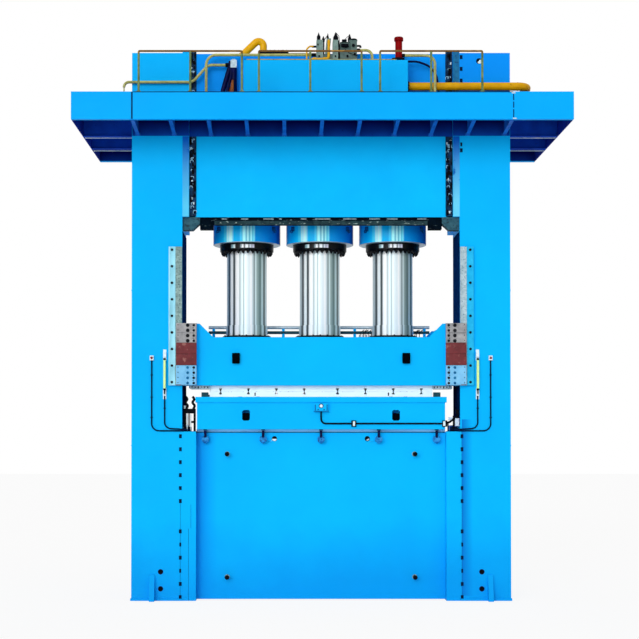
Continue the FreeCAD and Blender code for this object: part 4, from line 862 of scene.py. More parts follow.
def moved(piece: Piece, name: str, offset: Point = (0, 0, 0), turn: Matrix | None = None) -> Piece:
    """Copies a piece with its own mesh and moves the copy.

    Args:
        piece: What is copied.
        name: The copy's name.
        offset: How far it is moved.
        turn: A turn about the origin that comes before the move.

    Returns:
        The copy.
    """
    copy = piece.copy()
    copy.data = piece.data.copy()
    copy.name = copy.data.name = name
    bpy.context.collection.objects.link(copy)
    copy.data.transform(Matrix.Translation(offset) @ (turn or Matrix()))
    return copy


def mirrored(piece: Piece, name: str) -> Piece:
    """Copies a piece to the press's other side, with its faces turned outwards again."""
    copy = moved(piece, name, turn=Matrix.Scale(-1, 4, (1, 0, 0)))
    copy.data.flip_normals()
    return copy


def joined(name: str, pieces: Sequence[Piece]) -> Piece:
    """Joins pieces that share a finish into one object.

    Args:
        name: The joined object's name.
        pieces: The parts; the first one keeps the rest.

    Returns:
        The joined object.
    """
    Bench.clear()
    for piece in pieces:
        piece.select_set(True)
    bpy.context.view_layer.objects.active = pieces[0]
    if len(pieces) > 1:
        bpy.ops.object.join()
    whole = bpy.context.view_layer.objects.active
    whole.name = whole.data.name = name
    Bench.clear()
    return whole


def ring_of(piece: Piece, name: str, centre: Point, count: int, first: float = 0.0) -> Pieces:
    """Copies a piece round an upright axis.

    Args:
        piece: The first one, already at its place in the ring.
        name: The copies' name, before their number.
        centre: A point on the axis.
        count: How many the full ring has.
        first: The turn, in degrees, of the first copy.

    Returns:
        The copies; the original is removed.
    """
    copies = []
    there, back = Matrix.Translation(centre), Matrix.Translation(-Vector(centre))
    for step in range(count):
        turn = Matrix.Rotation(math.radians(first) + math.tau * step / count, 4, "Z")
        copies.append(moved(piece, f"{name}_{step + 1}", turn=there @ turn @ back))
    remove(piece)
    return copies


def copies_at(piece: Piece, places: Iterable[Point]) -> Pieces:
    """Moves copies of a piece to several places.

    Args:
        piece: The first one, modelled at the origin of the moves.
        places: How far each copy is moved.

    Returns:
        The copies; the original is removed.
    """
    name = piece.name
    copies = [moved(piece, name, place) for place in places]
    remove(piece)
    return copies


def both_sides(name: str, half: Pieces) -> Piece:
    """Joins one side's parts and their mirror images.

    Args:
        name: The joined piece's name.
        half: The parts of the right side.

    Returns:
        The pair.
    """
    right = joined(name, half)
    return joined(name, [right, mirrored(right, name + "_left")])


def remove(piece: Piece) -> None:
    """Deletes a pattern piece once its copies are made."""
    bpy.data.objects.remove(piece, do_unlink=True)


def fit(piece: Piece, finish: Finish, body: Body = Body.FRAME,
        stands_for: Iterable[str] = ()) -> Piece:
    """Dresses a finished piece and sets it on its body.

    Args:
        piece: The piece, in place.
        finish: What it wears.
        body: The body that it rides on.
        stands_for: CAD nodes that it stands for.

    Returns:
        The same piece.
    """
    PALETTE.wear(piece, finish)
    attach(piece, body.value)
    if stands_for:
        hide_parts(*stands_for)
    return piece


def bent_pipe(name: str, route: Sequence[Point], radius: float, bend: float, sides: int = 16,
              steps: int = 7, capped: bool = True) -> Piece:
    """Draws a round pipe along straight runs, with a spun arc at each corner.

    Args:
        name: The pipe's name.
        route: The corners of its centre line, in metres.
        radius: The pipe's outer radius.
        bend: The centre line's radius at a corner.
        sides: Its number of sides.
        steps: The faces along each arc.
        capped: Whether its ends are closed with a small chamfer.

    Returns:
        The pipe.
    """
    points = [Vector(point) for point in route]
    heading = (points[1] - points[0]).normalized()
    Bench.clear()
    bpy.ops.mesh.primitive_circle_add(vertices=sides, radius=radius, fill_type="NGON",
                                      location=points[0], rotation=heading.to_track_quat("Z", "Y")
                                      .to_euler())
    bench = Bench.opened(name)
    here = points[0]
    for index in range(1, len(points)):
        corner = points[index]
        if index == len(points) - 1:
            bench.extrude(corner - here)
            break
        after = (points[index + 1] - corner).normalized()
        angle = heading.angle(after)
        if angle < 0.01:
            bench.extrude(corner - here)
            here = corner
            continue
        room = min((corner - here).length * 0.98, (points[index + 1] - corner).length * 0.49)
        reach = min(bend * math.tan(angle / 2), room)
        bench.extrude(corner - heading * reach - here)
        side = (after - heading * heading.dot(after)).normalized()
        centre = corner - heading * reach + side * reach / math.tan(angle / 2)
        axle = heading.cross(after).normalized()
        bpy.ops.mesh.spin(steps=steps, angle=-angle, center=centre, axis=axle)
        here = corner + after * reach
        heading = after
    if capped:
        bench.inset(radius * 0.25)
    return bench.done(40)


# ---- cylinders and rams

@dataclass
class CylinderTrim:
    """What the three cylinders and rams carry besides their turned bodies."""

    places: tuple[float, ...] = (-2.05, 0.0, 2.05)
    collar_low: float = 9.807
    collar_radius: float = 0.943
    gland_low: float = 9.62
    gland_radius: float = 0.75
    ram_radius: float = 0.56
    stud_circle: float = 0.682
    stud_count: int = 32
    stud_tip: float = 9.503
    slide_top: float = 7.1285
    lug_level: float = 10.19

    def build(self) -> Pieces:
        """Makes the studs, seal rings, collar faces, lugs and ram feet.

        Returns:
            The pieces.
        """
        pieces = [fit(self.stud_rings(), BLACK_OXIDE, stands_for=("gland_nuts",)),
                  fit(self.joint_band(), JOINT_GREEN), fit(self.shims(), SCRAPED_PALE)]
        for name, x in zip(("left", "middle", "right"), self.places):
            pieces.append(fit(self.collar_face(name, x), FACED_STEEL))
            pieces.append(fit(self.seal_ring(name, x), BLACK_OXIDE))
            pieces.append(fit(self.lugs(name, x), TAB_BLUE))
            pieces.append(fit(self.ram_foot(name, x), BLACK_OXIDE, Body.SLIDE))
            pieces.append(fit(self.ram_sleeve(name, x), RAM_CHROME, Body.SLIDE))
        return pieces

    def stud(self) -> Piece:
        """Models one gland nut on its pointed stud, under the first gland.

        Returns:
            The stud in its place on the circle.
        """
        x = self.places[0] + self.stud_circle
        nut_height = 0.062
        nut = (Bench.drum("nut", (x, 0, self.gland_low - nut_height / 2), Axis.Z, 0.048,
                          nut_height, 6).pick(DOWN).inset(0.009, 0.006).pick(UP).inset(0.004)
               .done(20))
        shank_low = self.stud_tip + 0.03
        shank = (Bench.drum("shank", (x, 0, (self.gland_low + shank_low) / 2), Axis.Z, 0.027,
                            self.gland_low - shank_low, 8).pick(DOWN).extrude((0, 0, -0.03), 0.2)
                 .done(20))
        return joined("stud", [nut, shank])

    def stud_rings(self) -> Piece:
        """Copies the stud round the three glands.

        Returns:
            All studs as one piece.
        """
        first = self.stud()
        studs = []
        for x in self.places:
            start = moved(first, "start", (x - self.places[0], 0, 0))
            studs += ring_of(start, "stud", (x, 0, 0), self.stud_count, 4.0)
        remove(first)
        return joined("gland_studs", studs)

    @staticmethod
    def joint_band() -> Piece:
        """Lays the rough band of compound along the under plate's lower half."""
        return (Bench.box("joint_band", (-2.9, -1.405, 10.187), (2.9, -1.4005, 10.305)).pick(FRONT)
                .inset(0.01, -0.002).cut((0, 0, 10.25), UP).done())

    @staticmethod
    def shims() -> Piece:
        """Slips the bright shims into the joint between crown and under plate."""
        parts, rng = [], Random(3)
        x = -2.7
        while x < 2.7:
            length = rng.uniform(0.06, 0.42)
            parts.append(slab("shim", (x, -1.406, 10.345), (x + length, -1.4005, 10.362), 0.003))
            x += length + rng.uniform(0.12, 0.6)
        return joined("joint_shims", parts)

    def collar_face(self, name: str, x: float) -> Piece:
        """Turns the bare faced ring under a collar, outside its gland."""
        return (Bench.drum(f"{name}_collar_face", (x, 0, self.collar_low - 0.004), Axis.Z,
                           self.collar_radius - 0.012, 0.008, 64).pick(UP)
                .inset(self.collar_radius - self.gland_radius - 0.02).pick(DOWN)
                .inset(0.01, -0.003).inset(self.collar_radius - self.gland_radius - 0.03)
                .bore(x, self.gland_radius + 0.02).done())

    def seal_ring(self, name: str, x: float) -> Piece:
        """Turns the stepped ring that keeps the seals in a gland's mouth."""
        return (Bench.drum(f"{name}_seal_ring", (x, 0, self.gland_low - 0.014), Axis.Z,
                           self.ram_radius + 0.062, 0.028, 48).pick(DOWN).inset(0.018, -0.006)
                .inset(0.012, 0.004).inset(0.024).pick(UP).inset(0.054)
                .bore(x, self.ram_radius + 0.012).done())

    def lugs(self, name: str, x: float) -> Piece:
        """Models the two lifting lugs high on a collar's front."""
        reach = self.collar_radius + 0.028
        parts = []
        for side in (-1, 1):
            turn = Matrix.Rotation(math.radians(52 * side), 4, "Z")
            low, high = (-0.045, -reach - 0.03, -0.06), (0.045, -reach + 0.045, 0.06)
            boss = (Bench.box("boss", low, high).pick(FRONT).inset(0.014, -0.01)
                    .extrude((0, -0.02, 0), 0.8).soften(0.008).done())
            eye = (Bench.drum("eye", (0, -reach - 0.045, -0.075), Axis.X, 0.044, 0.03, 18)
                   .pick(RIGHT).inset(0.02).pick(LEFT).inset(0.02)
                   .bore(-reach - 0.045, 0.026, -0.075, 0).soften(0.005).done())
            for part in (boss, eye):
                parts.append(moved(part, "lug", (x, 0, self.lug_level), turn))
                remove(part)
        return joined(f"{name}_collar_lugs", parts)

    def ram_foot(self, name: str, x: float) -> Piece:
        """Turns the black clamp ring at a ram's foot, with its screw heads."""
        foot = (Bench.drum(f"{name}_ram_foot", (x, 0, self.slide_top + 0.05), Axis.Z, 0.69, 0.1,
                           48).pick(UP).inset(0.03, 0.012).inset(0.062).pick(DOWN).inset(0.092)
                .bore(x, 0.598).soften(0.008).done())
        head = stub("head", (x + 0.636, 0, self.slide_top + 0.116), Axis.Z, 0.022, 0.024, 6, 0.006,
                    0.003, 20)
        screws = ring_of(head, "screw", (x, 0, 0), 20)
        return joined(f"{name}_ram_foot", [foot] + screws)

    def ram_sleeve(self, name: str, x: float) -> Piece:
        """Turns the split wear sleeve round a ram's foot, above its clamp ring."""
        return (Bench.drum(f"{name}_ram_sleeve", (x, 0, self.slide_top + 0.2), Axis.Z,
                           self.ram_radius + 0.022, 0.4, 64).pick(UP).inset(0.008, 0.006)
                .inset(0.012).pick(DOWN).inset(0.02).bore(x, self.ram_radius + 0.002).done())


# ---- guard rail

@dataclass
class GuardRail:
    """Three sections of round tube on bolted base plates along the walkway's edge."""

    sections: tuple[tuple[float, float], ...] = ((-4.804, -2.104), (-1.659, 1.026), (1.511, 4.183))
    y: float = -3.04
    deck: float = 13.448
    height: float = 1.1
    tube: float = 0.026
    post: float = 0.03
    plate: float = 0.06

    def build(self) -> Pieces:
        """Makes the top rails and the posts on their plates.

        Returns:
            The pieces.
        """
        plate = self.base_plate()
        rails, posts = [], []
        top = self.deck + self.height - self.tube
        for start, end in self.sections:
            rails.append(bent_pipe("rail", [(start, self.y, top - 0.07), (start, self.y, top),
                                            (end, self.y, top), (end, self.y, top - 0.07)],
                                   self.tube, 0.026, 14, 4))
            for x in (start, (start + end) / 2, end):
                rise = -0.07 if x in (start, end) else -self.tube * 0.6
                posts.append(bent_pipe("post",
                                       [(x, self.y, self.deck + 0.01), (x, self.y, top + rise)],
                                       self.post, 0.05, 14))
                posts.append(moved(plate, "plate", (x, self.y, self.deck)))
        remove(plate)
        return [fit(joined("guard_top_rails", rails), RAIL_BROWN, stands_for=("guard_rails",)),
                fit(joined("guard_posts", posts), RAIL_GOLD, stands_for=("guard_rails",))]

    def base_plate(self) -> Piece:
        """Models one base plate at the origin with its weld collar and four bolts."""
        half = self.plate
        parts = [Bench.box("plate", (-half, -half, 0), (half, half, 0.012)).pick(UP).inset(0.006)
                 .inset(half - 0.046).extrude((0, 0, 0.016), 0.9).done(20)]
        bolt = stub("bolt", (half - 0.02, half - 0.02, 0.018), Axis.Z, 0.011, 0.012, 6, 0.003,
                    0.002, 20)
        far = 0.04 - 2 * half
        parts += copies_at(bolt, [(x, y, 0) for x in (0, far) for y in (0, far)])
        return joined("plate", parts)


# ---- pipes round the head

@dataclass
class HeadPipes:
    """The oil pipes, filling pipe, suction bend and drain block on the walkway."""

    deck: float = 13.448
    tank_top: float = 14.51
    tank_right: float = 2.31
    crown_top: float = 14.854
    row: float = -1.63
    thin: float = 0.0375
    thick: float = 0.1095
    filling_level: float = 13.878

    def build(self) -> Pieces:
        """Makes every pipe with its couplings and flanges.

        Returns:
            The pieces.
        """
        return [fit(self.thin_pipes(), PIPE_OCHRE, stands_for=("oil_pipes",)),
                fit(self.suction_bend(), PIPE_YELLOW, stands_for=("oil_pipes",)),
                fit(self.suction_flange(), BLACK_OXIDE),
                fit(self.filling_pipe(), PIPE_YELLOW, stands_for=("filling_pipe",)),
                fit(self.filling_flange(), BLACK_OXIDE, stands_for=("filling_flange",)),
                fit(self.couplings(), BLACK_OXIDE, stands_for=("oil_pipes",)),
                fit(self.drain_legs(), NAVY_SLEEVE, stands_for=("drain_pipes",)),
                fit(self.return_arc(), NAVY_SLEEVE, stands_for=("drain_pipes",)),
                fit(self.valve_block(), PALE_CASTING, stands_for=("drain_pipes",)),
                fit(self.splash_plate(), OILY_BROWN), fit(self.oily_leg(), OILY_BROWN),
                fit(self.loop(), PIPE_YELLOW, stands_for=("oil_pipes",)),
                fit(self.tank_line(), PIPE_OCHRE), fit(self.tank_seal(), BLACK_THERMOSET_AND_SHADE),
                fit(self.dryer(), BLACK_THERMOSET_AND_SHADE), fit(self.gauge_line(), PIPE_YELLOW)]

    def thin_pipes(self) -> Piece:
        """Bends the thin pipes round the tank."""
        row, back = self.row, self.row - 0.08
        pipes = [bent_pipe("left", [(-5.34, row, 13.9), (-5.34, row, 14.038),
                                    (-3.479, row, 14.038), (-3.062, row, 14.501),
                                    (-2.587, row, 14.501)], self.thin, 0.24),
                 bent_pipe("tail", [(-5.27, row, self.deck), (-5.34, row, 13.7),
                                    (-5.34, row, 13.92)], 0.017, 0.1, 10),
                 bent_pipe("riser", [(-3.108, back, self.deck), (-3.108, back, 14.757),
                                     (-0.132, back, 14.757)], self.thin, 0.27),
                 bent_pipe("elbow", [(0.954, -1.8, 14.86), (1.376, -1.8, 14.86),
                                     (1.376, -1.8, self.tank_top)], self.thin, 0.17),
                 bent_pipe("filter", [(2.188, -1.97, 14.675), (3.053, -1.97, 14.675),
                                      (3.053, -1.97, self.deck)], self.thin, 0.24)]
        return joined("thin_oil_pipes", pipes)

    def loop(self) -> Piece:
        """Bends the freshly painted loop in front of the valve blocks."""
        return bent_pipe("valve_loop", [(-0.26, -1.93, self.tank_top), (-0.26, -1.93, 14.6),
                                        (0.2, -1.93, 14.6), (0.2, -1.93, 15.1), (0.2, -1.8, 15.1),
                                        (0.2, -1.8, 14.9)], self.thin, 0.07)

    def tank_line(self) -> Piece:
        """Bends the thin line that runs along the tank's top edge."""
        y, z = -2.12, self.tank_top + 0.018
        return bent_pipe("tank_edge_line", [(-2.0, y, z), (2.0, y, z), (2.0, y + 0.15, z)], 0.016,
                         0.05, 10)

    def tank_seal(self) -> Piece:
        """Lays the black gasket edge under the tank's lid."""
        return slab("tank_seal", (-2.06, -2.146, self.tank_top + 0.001),
                    (2.29, -2.1, self.tank_top + 0.008), 0.002)

    def dryer(self) -> Piece:
        """Builds the low finned dryer on the crown's front edge and its thin tail pipe."""
        z, parts = self.crown_top, []
        parts.append(slab("dryer", (-1.69, -1.43, z + 0.001), (-0.88, -1.3, z + 0.1), 0.012, 0.008,
                          0.006, side=UP))
        for step in range(7):
            x = -1.62 + step * 0.112
            parts.append(slab("fin", (x, -1.442, z + 0.006),
                              (x + 0.03 + 0.02 * (step % 2), -1.29, z + 0.114), 0.006, -0.003,
                              0.004))
        parts.append(bent_pipe("tail", [(-0.9, -1.38, z + 0.02), (-0.26, -1.38, z + 0.02)], 0.018,
                               0.05, 8))
        return joined("air_dryer", parts)

    def gauge_line(self) -> Piece:
        """Bends the short yellow line that rises beside the first valve block."""
        y, z = -1.83, 14.86
        return bent_pipe("gauge_line", [(-0.39, y, self.tank_top), (-0.39, y, z + 0.03),
                                        (-0.31, y, z + 0.1), (-0.21, y, z + 0.1)], 0.022, 0.07, 10)

    def suction_bend(self) -> Piece:
        """Bends the thick suction pipe that stands on the crown."""
        y = -1.22
        pipe = bent_pipe("suction_bend",
                         [(-1.569, y, self.crown_top - 0.01), (-1.569, y, self.crown_top + 0.574),
                          (-2.29, y, self.crown_top - 0.12)], 0.098, 0.13, 28, 12)
        bench = Bench(pipe)
        bench.focus()
        bench.trim((0, 0, self.crown_top), DOWN)
        bench.done(40)
        rings = [self.weld_ring((-1.569, y, self.crown_top + 0.13), Axis.Z, 0.105)]
        return joined("suction_bend", [pipe] + rings)

    def suction_flange(self) -> Piece:
        """Turns the bolted flange at the suction pipe's foot."""
        foot = -1.569, -1.22, self.crown_top + 0.02
        flange = (Bench.drum("flange", foot, Axis.Z, 0.17, 0.04, 32).pick(UP).inset(0.02, 0.004)
                  .inset(0.03, -0.006).done())
        bolt = stub("bolt", (foot[0] + 0.143, foot[1], foot[2] + 0.034), Axis.Z, 0.016, 0.028, 6,
                    0.004, 0.003, 20)
        screws = ring_of(bolt, "bolt", foot, 8, 22.5)
        return joined("suction_flange", [flange] + screws)

    @staticmethod
    def weld_ring(place: Point, axis: Axis, radius: float) -> Piece:
        """Turns a low weld bead round a pipe."""
        ring = Bench.drum("weld", place, axis, radius + 0.007, 0.022, 24)
        for sign in (1, -1):
            ring.pick(axis.vector * sign).inset(0.006, -0.002)
        return ring.soften(0.004).done()

    def filling_pipe(self) -> Piece:
        """Bends the big filling pipe and lays its weld beads."""
        level, y = self.filling_level, -1.8
        pipe = bent_pipe("pipe", [(self.tank_right + 0.05, y, level), (5.58, y, level),
                                  (5.58, -0.7, level), (5.13, -0.7, level)], self.thick, 0.26, 32,
                         12)
        beads = [self.weld_ring((x, y, level), Axis.X, self.thick)
                 for x in (self.tank_right + 0.08, 3.62, 5.3)]
        beads.append(self.weld_ring((5.58, -1.5, level), Axis.Y, self.thick))
        return joined("filling_pipe_round", [pipe] + beads)

    def filling_flange(self) -> Piece:
        """Turns the flange pair between the tank and the filling pipe, with its bolts."""
        x, y, z = self.tank_right, -1.8, self.filling_level
        flange = stub("flange", (x + 0.011, y, z), Axis.X, 0.145, 0.022, 32, 0.03, 0.002)
        mate = stub("mate", (x + 0.04, y, z), Axis.X, 0.145, 0.02, 32, 0.014, 0.004)
        bolt = Bench.drum("bolt", (x + 0.04, y, z + 0.126), Axis.X, 0.014, 0.045, 6)
        bolt.pick(RIGHT).inset(0.004, 0.003)
        parts = [flange, mate]
        bolt = bolt.done(20)
        there, back = Matrix.Translation((x, y, z)), Matrix.Translation((-x, -y, -z))
        for step in range(8):
            turn = Matrix.Rotation(math.tau * step / 8, 4, "X")
            parts.append(moved(bolt, "bolt", turn=there @ turn @ back))
        remove(bolt)
        return joined("filling_flange_bolted", parts)

    def couplings(self) -> Piece:
        """Makes the union nuts where the thin pipes end."""
        row, parts = self.row, []
        unions = (((-2.53, row, 14.501), Axis.X, 0.06, 0.115),
                  ((-0.2, row - 0.08, 14.757), Axis.X, 0.052, 0.11),
                  ((1.0, -1.8, 14.86), Axis.X, 0.052, 0.09),
                  ((2.2, -1.97, 14.675), Axis.X, 0.052, 0.08),
                  ((1.376, -1.8, 14.545), Axis.Z, 0.052, 0.07),
                  ((-3.108, row - 0.08, 13.478), Axis.Z, 0.052, 0.06),
                  ((3.053, -1.97, 13.478), Axis.Z, 0.052, 0.06),
                  ((-5.33, row, 13.478), Axis.Z, 0.052, 0.06),
                  ((-0.26, -1.93, 14.535), Axis.Z, 0.05, 0.05))
        for place, axis, radius, length in unions:
            nut = Bench.drum("union", place, axis, radius, length, 6)
            for sign in (1, -1):
                nut.pick(axis.vector * sign).inset(radius * 0.14, radius * 0.1)
            parts.append(nut.done(20))
        return joined("pipe_couplings", parts)

    def drain_legs(self) -> Piece:
        """Bends the two dark legs under the valve block."""
        row = self.row
        return joined("drain_legs",
                      [bent_pipe("straight", [(-2.36, row, self.deck), (-2.36, row, 14.42)], 0.08,
                                 0.1, 18),
                       bent_pipe("bent", [(-2.86, row, self.deck), (-2.7, row, 13.66),
                                          (-2.56, row, 14.16), (-2.48, row, 14.42),
                                          (-2.44, row, 14.6)], 0.064, 0.3, 18),
                       bent_pipe("inner",
                                 [(-2.6, row - 0.03, self.deck), (-2.54, row - 0.03, 13.8),
                                  (-2.44, row - 0.03, 14.2), (-2.43, row - 0.03, 14.42)], 0.04,
                                 0.3, 14)])

    def oily_leg(self) -> Piece:
        """Bends the bare, oil-browned return leg in front of the drain legs."""
        y = self.row - 0.1
        leg = Bench.drum("oily_leg", (-2.45, y, 13.76), Axis.Z, 0.088, 0.62, 18)
        leg.pick(UP)
        bpy.ops.transform.resize(value=(0.36, 0.36, 1))
        bpy.ops.transform.translate(value=(0.06, 0, 0))
        leg.pick(DOWN).inset(0.02, -0.004)
        return leg.soften(0.004).done(50)

    def return_arc(self) -> Piece:
        """Bends the return pipe's long arc from the tank's end down to the walkway."""
        y = self.row - 0.01
        return bent_pipe("return_arc", [(2.1, y, self.tank_top), (2.1, y, 14.595),
                                        (2.62, y, 14.595), (2.95, y, 14.47), (3.12, y, 14.24),
                                        (3.185, y, 13.9), (3.19, y, self.deck)], 0.0285, 0.45, 16,
                         6)

    def valve_block(self) -> Piece:
        """Models the pale drain valve block with its port and bonnet."""
        row = self.row
        body = (Bench.box("body", (-2.452, row - 0.08, 14.417), (-2.284, row + 0.08, 14.63))
                .pick(FRONT).inset(0.02, -0.008).pick(UP).inset(0.03).extrude((0, 0, 0.03), 0.85)
                .soften(0.012).done())
        port = stub("port", (-2.4, row - 0.085, 14.5), Axis.Y, 0.036, 0.03, 16, 0.012, -0.008)
        return joined("drain_valve_block", [body, port])

    def splash_plate(self) -> Piece:
        """Cuts the oil-stained splash plate between the drain legs."""
        y = self.row + 0.05
        plate = Bench.box("splash_plate", (-2.6, y, self.deck), (-2.36, y + 0.012, 13.9))
        plate.cut((0, 0, 13.65), UP)
        plate.pick(UP)
        bpy.ops.transform.resize(value=(0.35, 1, 1))
        bpy.ops.transform.translate(value=(0.03, 0, 0))
        plate.pick(FRONT).inset(0.008, -0.003)
        return plate.done()


# ---- pumps and filter

@dataclass
class PumpGroup:
    """The valve blocks on the tank with their pointed solenoids, and the filter."""

    tank_top: float = 14.51
    y: float = -1.8
    filter_place: tuple[float, float] = (2.08, -1.97)

    def build(self) -> Pieces:
        """Makes the blocks, caps, plates and filter.

        Returns:
            The pieces.
        """
        stand = "pump_manifold", "pilot_valves"
        return [fit(self.blocks(), VALVE_PHOSPHATE, stands_for=stand),
                fit(self.pale_blocks(), PALE_PHOSPHATE, stands_for=stand),
                fit(self.caps(), BLACK_THERMOSET_AND_SHADE, stands_for=stand),
                fit(self.ports(), BLACK_THERMOSET_AND_SHADE, stands_for=stand),
                fit(self.base(), GASKET_GREEN, stands_for=stand),
                fit(self.filter_body(), FILTER_RED, stands_for=("return_filter",)),
                fit(self.filter_base(), BLACK_THERMOSET_AND_SHADE, stands_for=("return_filter",))]

    def block(self, x_low: float, x_high: float, top: float, depth: float = 0.17,
              step: float = 0.0) -> Piece:
        """Mills one valve block, with recessed faces and a parting line.

        Args:
            x_low: Its left side.
            x_high: Its right side.
            top: Its top level.
            depth: Half its depth.
            step: How far its front's upper half is set back.

        Returns:
            The block.
        """
        low = self.tank_top + 0.03
        bench = Bench.box("block", (x_low, self.y - depth, low), (x_high, self.y + depth, top))
        middle = (low + top) / 2
        bench.cut((0, 0, middle), UP)
        bench.pick(FRONT).inset(0.012, -0.006, single=True)
        bench.pick(RIGHT).inset(0.02, -0.006, single=True)
        bench.pick(LEFT).inset(0.02, -0.006, single=True)
        if step:
            bench.pick(FRONT, within=((x_low, -9, middle), (x_high, 9, 99)))
            bpy.ops.transform.translate(value=(0, step, 0))
        bench.pick(UP, at=("z", top)).inset(0.018, 0.008)
        return bench.soften(0.006).done()

    def pale_blocks(self) -> Piece:
        """Makes the two narrow pale blocks and the inclined plate between them."""
        first = self.block(-0.132, 0.046, 15.1)
        second = self.block(0.307, 0.453, 15.1)
        plate = Bench.box("plate", (0.085, self.y - 0.1, 14.62), (0.205, self.y + 0.1, 15.08))
        plate.pick(UP)
        bpy.ops.transform.translate(value=(0.06, 0, 0.08))
        plate.pick(FRONT).inset(0.014, -0.005)
        return joined("pale_valve_blocks", [first, second, plate.soften(0.005).done()])

    def blocks(self) -> Piece:
        """Makes the wide block and its stepped side block."""
        wide = self.block(0.501, 0.78, 15.04, step=0.03)
        side = self.block(0.74, 0.962, 15.1, 0.15)
        neck = self.block(0.046, 0.31, 14.72, 0.12)
        return joined("valve_blocks", [wide, side, neck])

    def cap(self, x: float, low: float, tip: float, radius: float, y: float = 0.0) -> Piece:
        """Turns a solenoid cap: a barrel, a shoulder and a pointed top."""
        height = tip - low
        return (Bench.drum("cap", (x, self.y + y, low + height * 0.22), Axis.Z, radius,
                           height * 0.44, 12).pick(UP).extrude((0, 0, height * 0.16), 0.72)
                .extrude((0, 0, height * 0.2), 0.6).extrude((0, 0, height * 0.2), 0.45).pick(DOWN)
                .inset(radius * 0.2, -0.01).soften(0.004).done(50))

    def barrel(self, x: float, low: float, high: float, radius: float) -> Piece:
        """Turns a solenoid's round coil housing."""
        return (Bench.drum("barrel", (x, self.y, (low + high) / 2), Axis.Z, radius, high - low, 16)
                .pick(UP).extrude((0, 0, 0.02), 0.7).pick(DOWN).inset(radius * 0.3, 0.0)
                .soften(0.004).done(50))

    def caps(self) -> Piece:
        """Sets every solenoid cap, lever and coil on the blocks."""
        caps = [self.cap(-0.068, 15.2, 15.345, 0.03), self.barrel(-0.068, 15.09, 15.24, 0.05),
                self.cap(0.058, 15.1, 15.245, 0.04), self.cap(0.18, 15.1, 15.33, 0.034, 0.04),
                self.cap(0.393, 15.1, 15.345, 0.072), self.cap(0.768, 15.08, 15.3, 0.05),
                self.cap(0.2, 14.72, 15.05, 0.04, -0.12)]
        bar = Bench.box("bar", (0.56, self.y - 0.06, 15.1), (0.69, self.y + 0.06, 15.14))
        bar.pick(UP).inset(0.012, 0.006)
        roof = Bench.drum("roof", (0.872, self.y, 15.09), Axis.Y, 0.1, 0.28, 20)
        roof.pick(FRONT).inset(0.02, -0.008).trim((0, 0, 15.06), DOWN)
        bpy.ops.mesh.select_all(action="SELECT")
        bpy.ops.transform.resize(value=(1, 1, 0.55), center_override=(0.872, self.y, 15.1))
        stem = slab("stem", (0.61, self.y - 0.02, 15.04), (0.64, self.y + 0.02, 15.11), 0.006,
                    0.002, side=RIGHT)
        lever = bent_pipe("lever", [(0.62, self.y, 15.14), (0.76, self.y, 15.27)], 0.008, 0.1, 8)
        spring = bent_pipe("spring", [(0.41, self.y, 15.33), (0.48, self.y, 15.24),
                                      (0.49, self.y, 15.12)], 0.008, 0.05, 8)
        leaf = bent_pipe("leaf", [(0.09, self.y, 15.15), (0.19, self.y, 15.29)], 0.01, 0.1, 8)
        return joined("solenoid_caps", caps + [bar.done(), roof.done(50), stem, lever, spring,
                                               leaf])

    def ports(self) -> Piece:
        """Makes the black plugs, coils and elbows on the blocks' fronts."""
        parts = []
        front = self.y - 0.17
        for x, z, radius in ((0.58, 14.96, 0.03), (0.66, 14.93, 0.045), (0.58, 14.8, 0.024),
                             (0.86, 14.95, 0.04), (0.9, 14.72, 0.028), (0.38, 14.66, 0.022),
                             (-0.06, 14.66, 0.024), (-0.09, 14.97, 0.02), (0.7, 14.66, 0.03)):
            parts.append(stub("port", (x, front - 0.008, z), Axis.Y, radius, 0.04, 10,
                              radius * 0.3, -0.006))
        parts.append(slab("coil", (0.53, front - 0.03, 14.9), (0.73, front, 14.99), 0.016, 0.012,
                          0.01))
        routes = [[(0.475, self.y - 0.1, 15.1), (0.475, self.y - 0.1, 14.6)],
                  [(0.068, self.y - 0.06, 15.12), (0.068, self.y - 0.06, 14.7)],
                  [(0.962, self.y, 14.98), (1.06, self.y, 14.98), (1.06, self.y, 14.93)],
                  [(-0.132, self.y, 14.96), (-0.25, self.y, 14.96)],
                  [(0.62, front - 0.02, 14.86), (0.74, front - 0.03, 14.74),
                   (0.98, front - 0.01, 14.66)]]
        for radius, route in zip((0.022, 0.02, 0.028, 0.03, 0.007), routes):
            parts.append(bent_pipe("line", route, radius, 0.05, 10))
        return joined("valve_ports", parts)

    def base(self) -> Piece:
        """Mills the thin base plate that all the blocks stand on."""
        return (Bench.box("valve_base", (-0.28, self.y - 0.22, self.tank_top),
                          (1.3, self.y + 0.22, self.tank_top + 0.03)).pick(UP).inset(0.02, 0.004)
                .pick(FRONT).inset(0.006, -0.003).soften(0.003).done())

    def filter_body(self) -> Piece:
        """Turns the filter bowl with its knurled cap and dished top."""
        x, y = self.filter_place
        low = self.tank_top + 0.05
        bowl = (Bench.drum("bowl", (x, y, low + 0.24), Axis.Z, 0.094, 0.48, 28).pick(UP)
                .extrude((0, 0, 0.014), 1.06).extrude((0, 0, 0.006), 1.16).extrude((0, 0, 0.09))
                .extrude((0, 0, 0.014), 0.94).extrude((0, 0, 0.008), 0.7)
                .cut((0, 0, low + 0.06), UP).cut((0, 0, low + 0.43), UP).soften(0.004).done(40))
        rib = slab("rib", (x + 0.106, y - 0.01, low + 0.505), (x + 0.12, y + 0.01, low + 0.585),
                   0.003, 0.002, side=RIGHT)
        ribs = ring_of(rib, "rib", (x, y, 0), 18)
        return joined("return_filter_bowl", [bowl] + ribs)

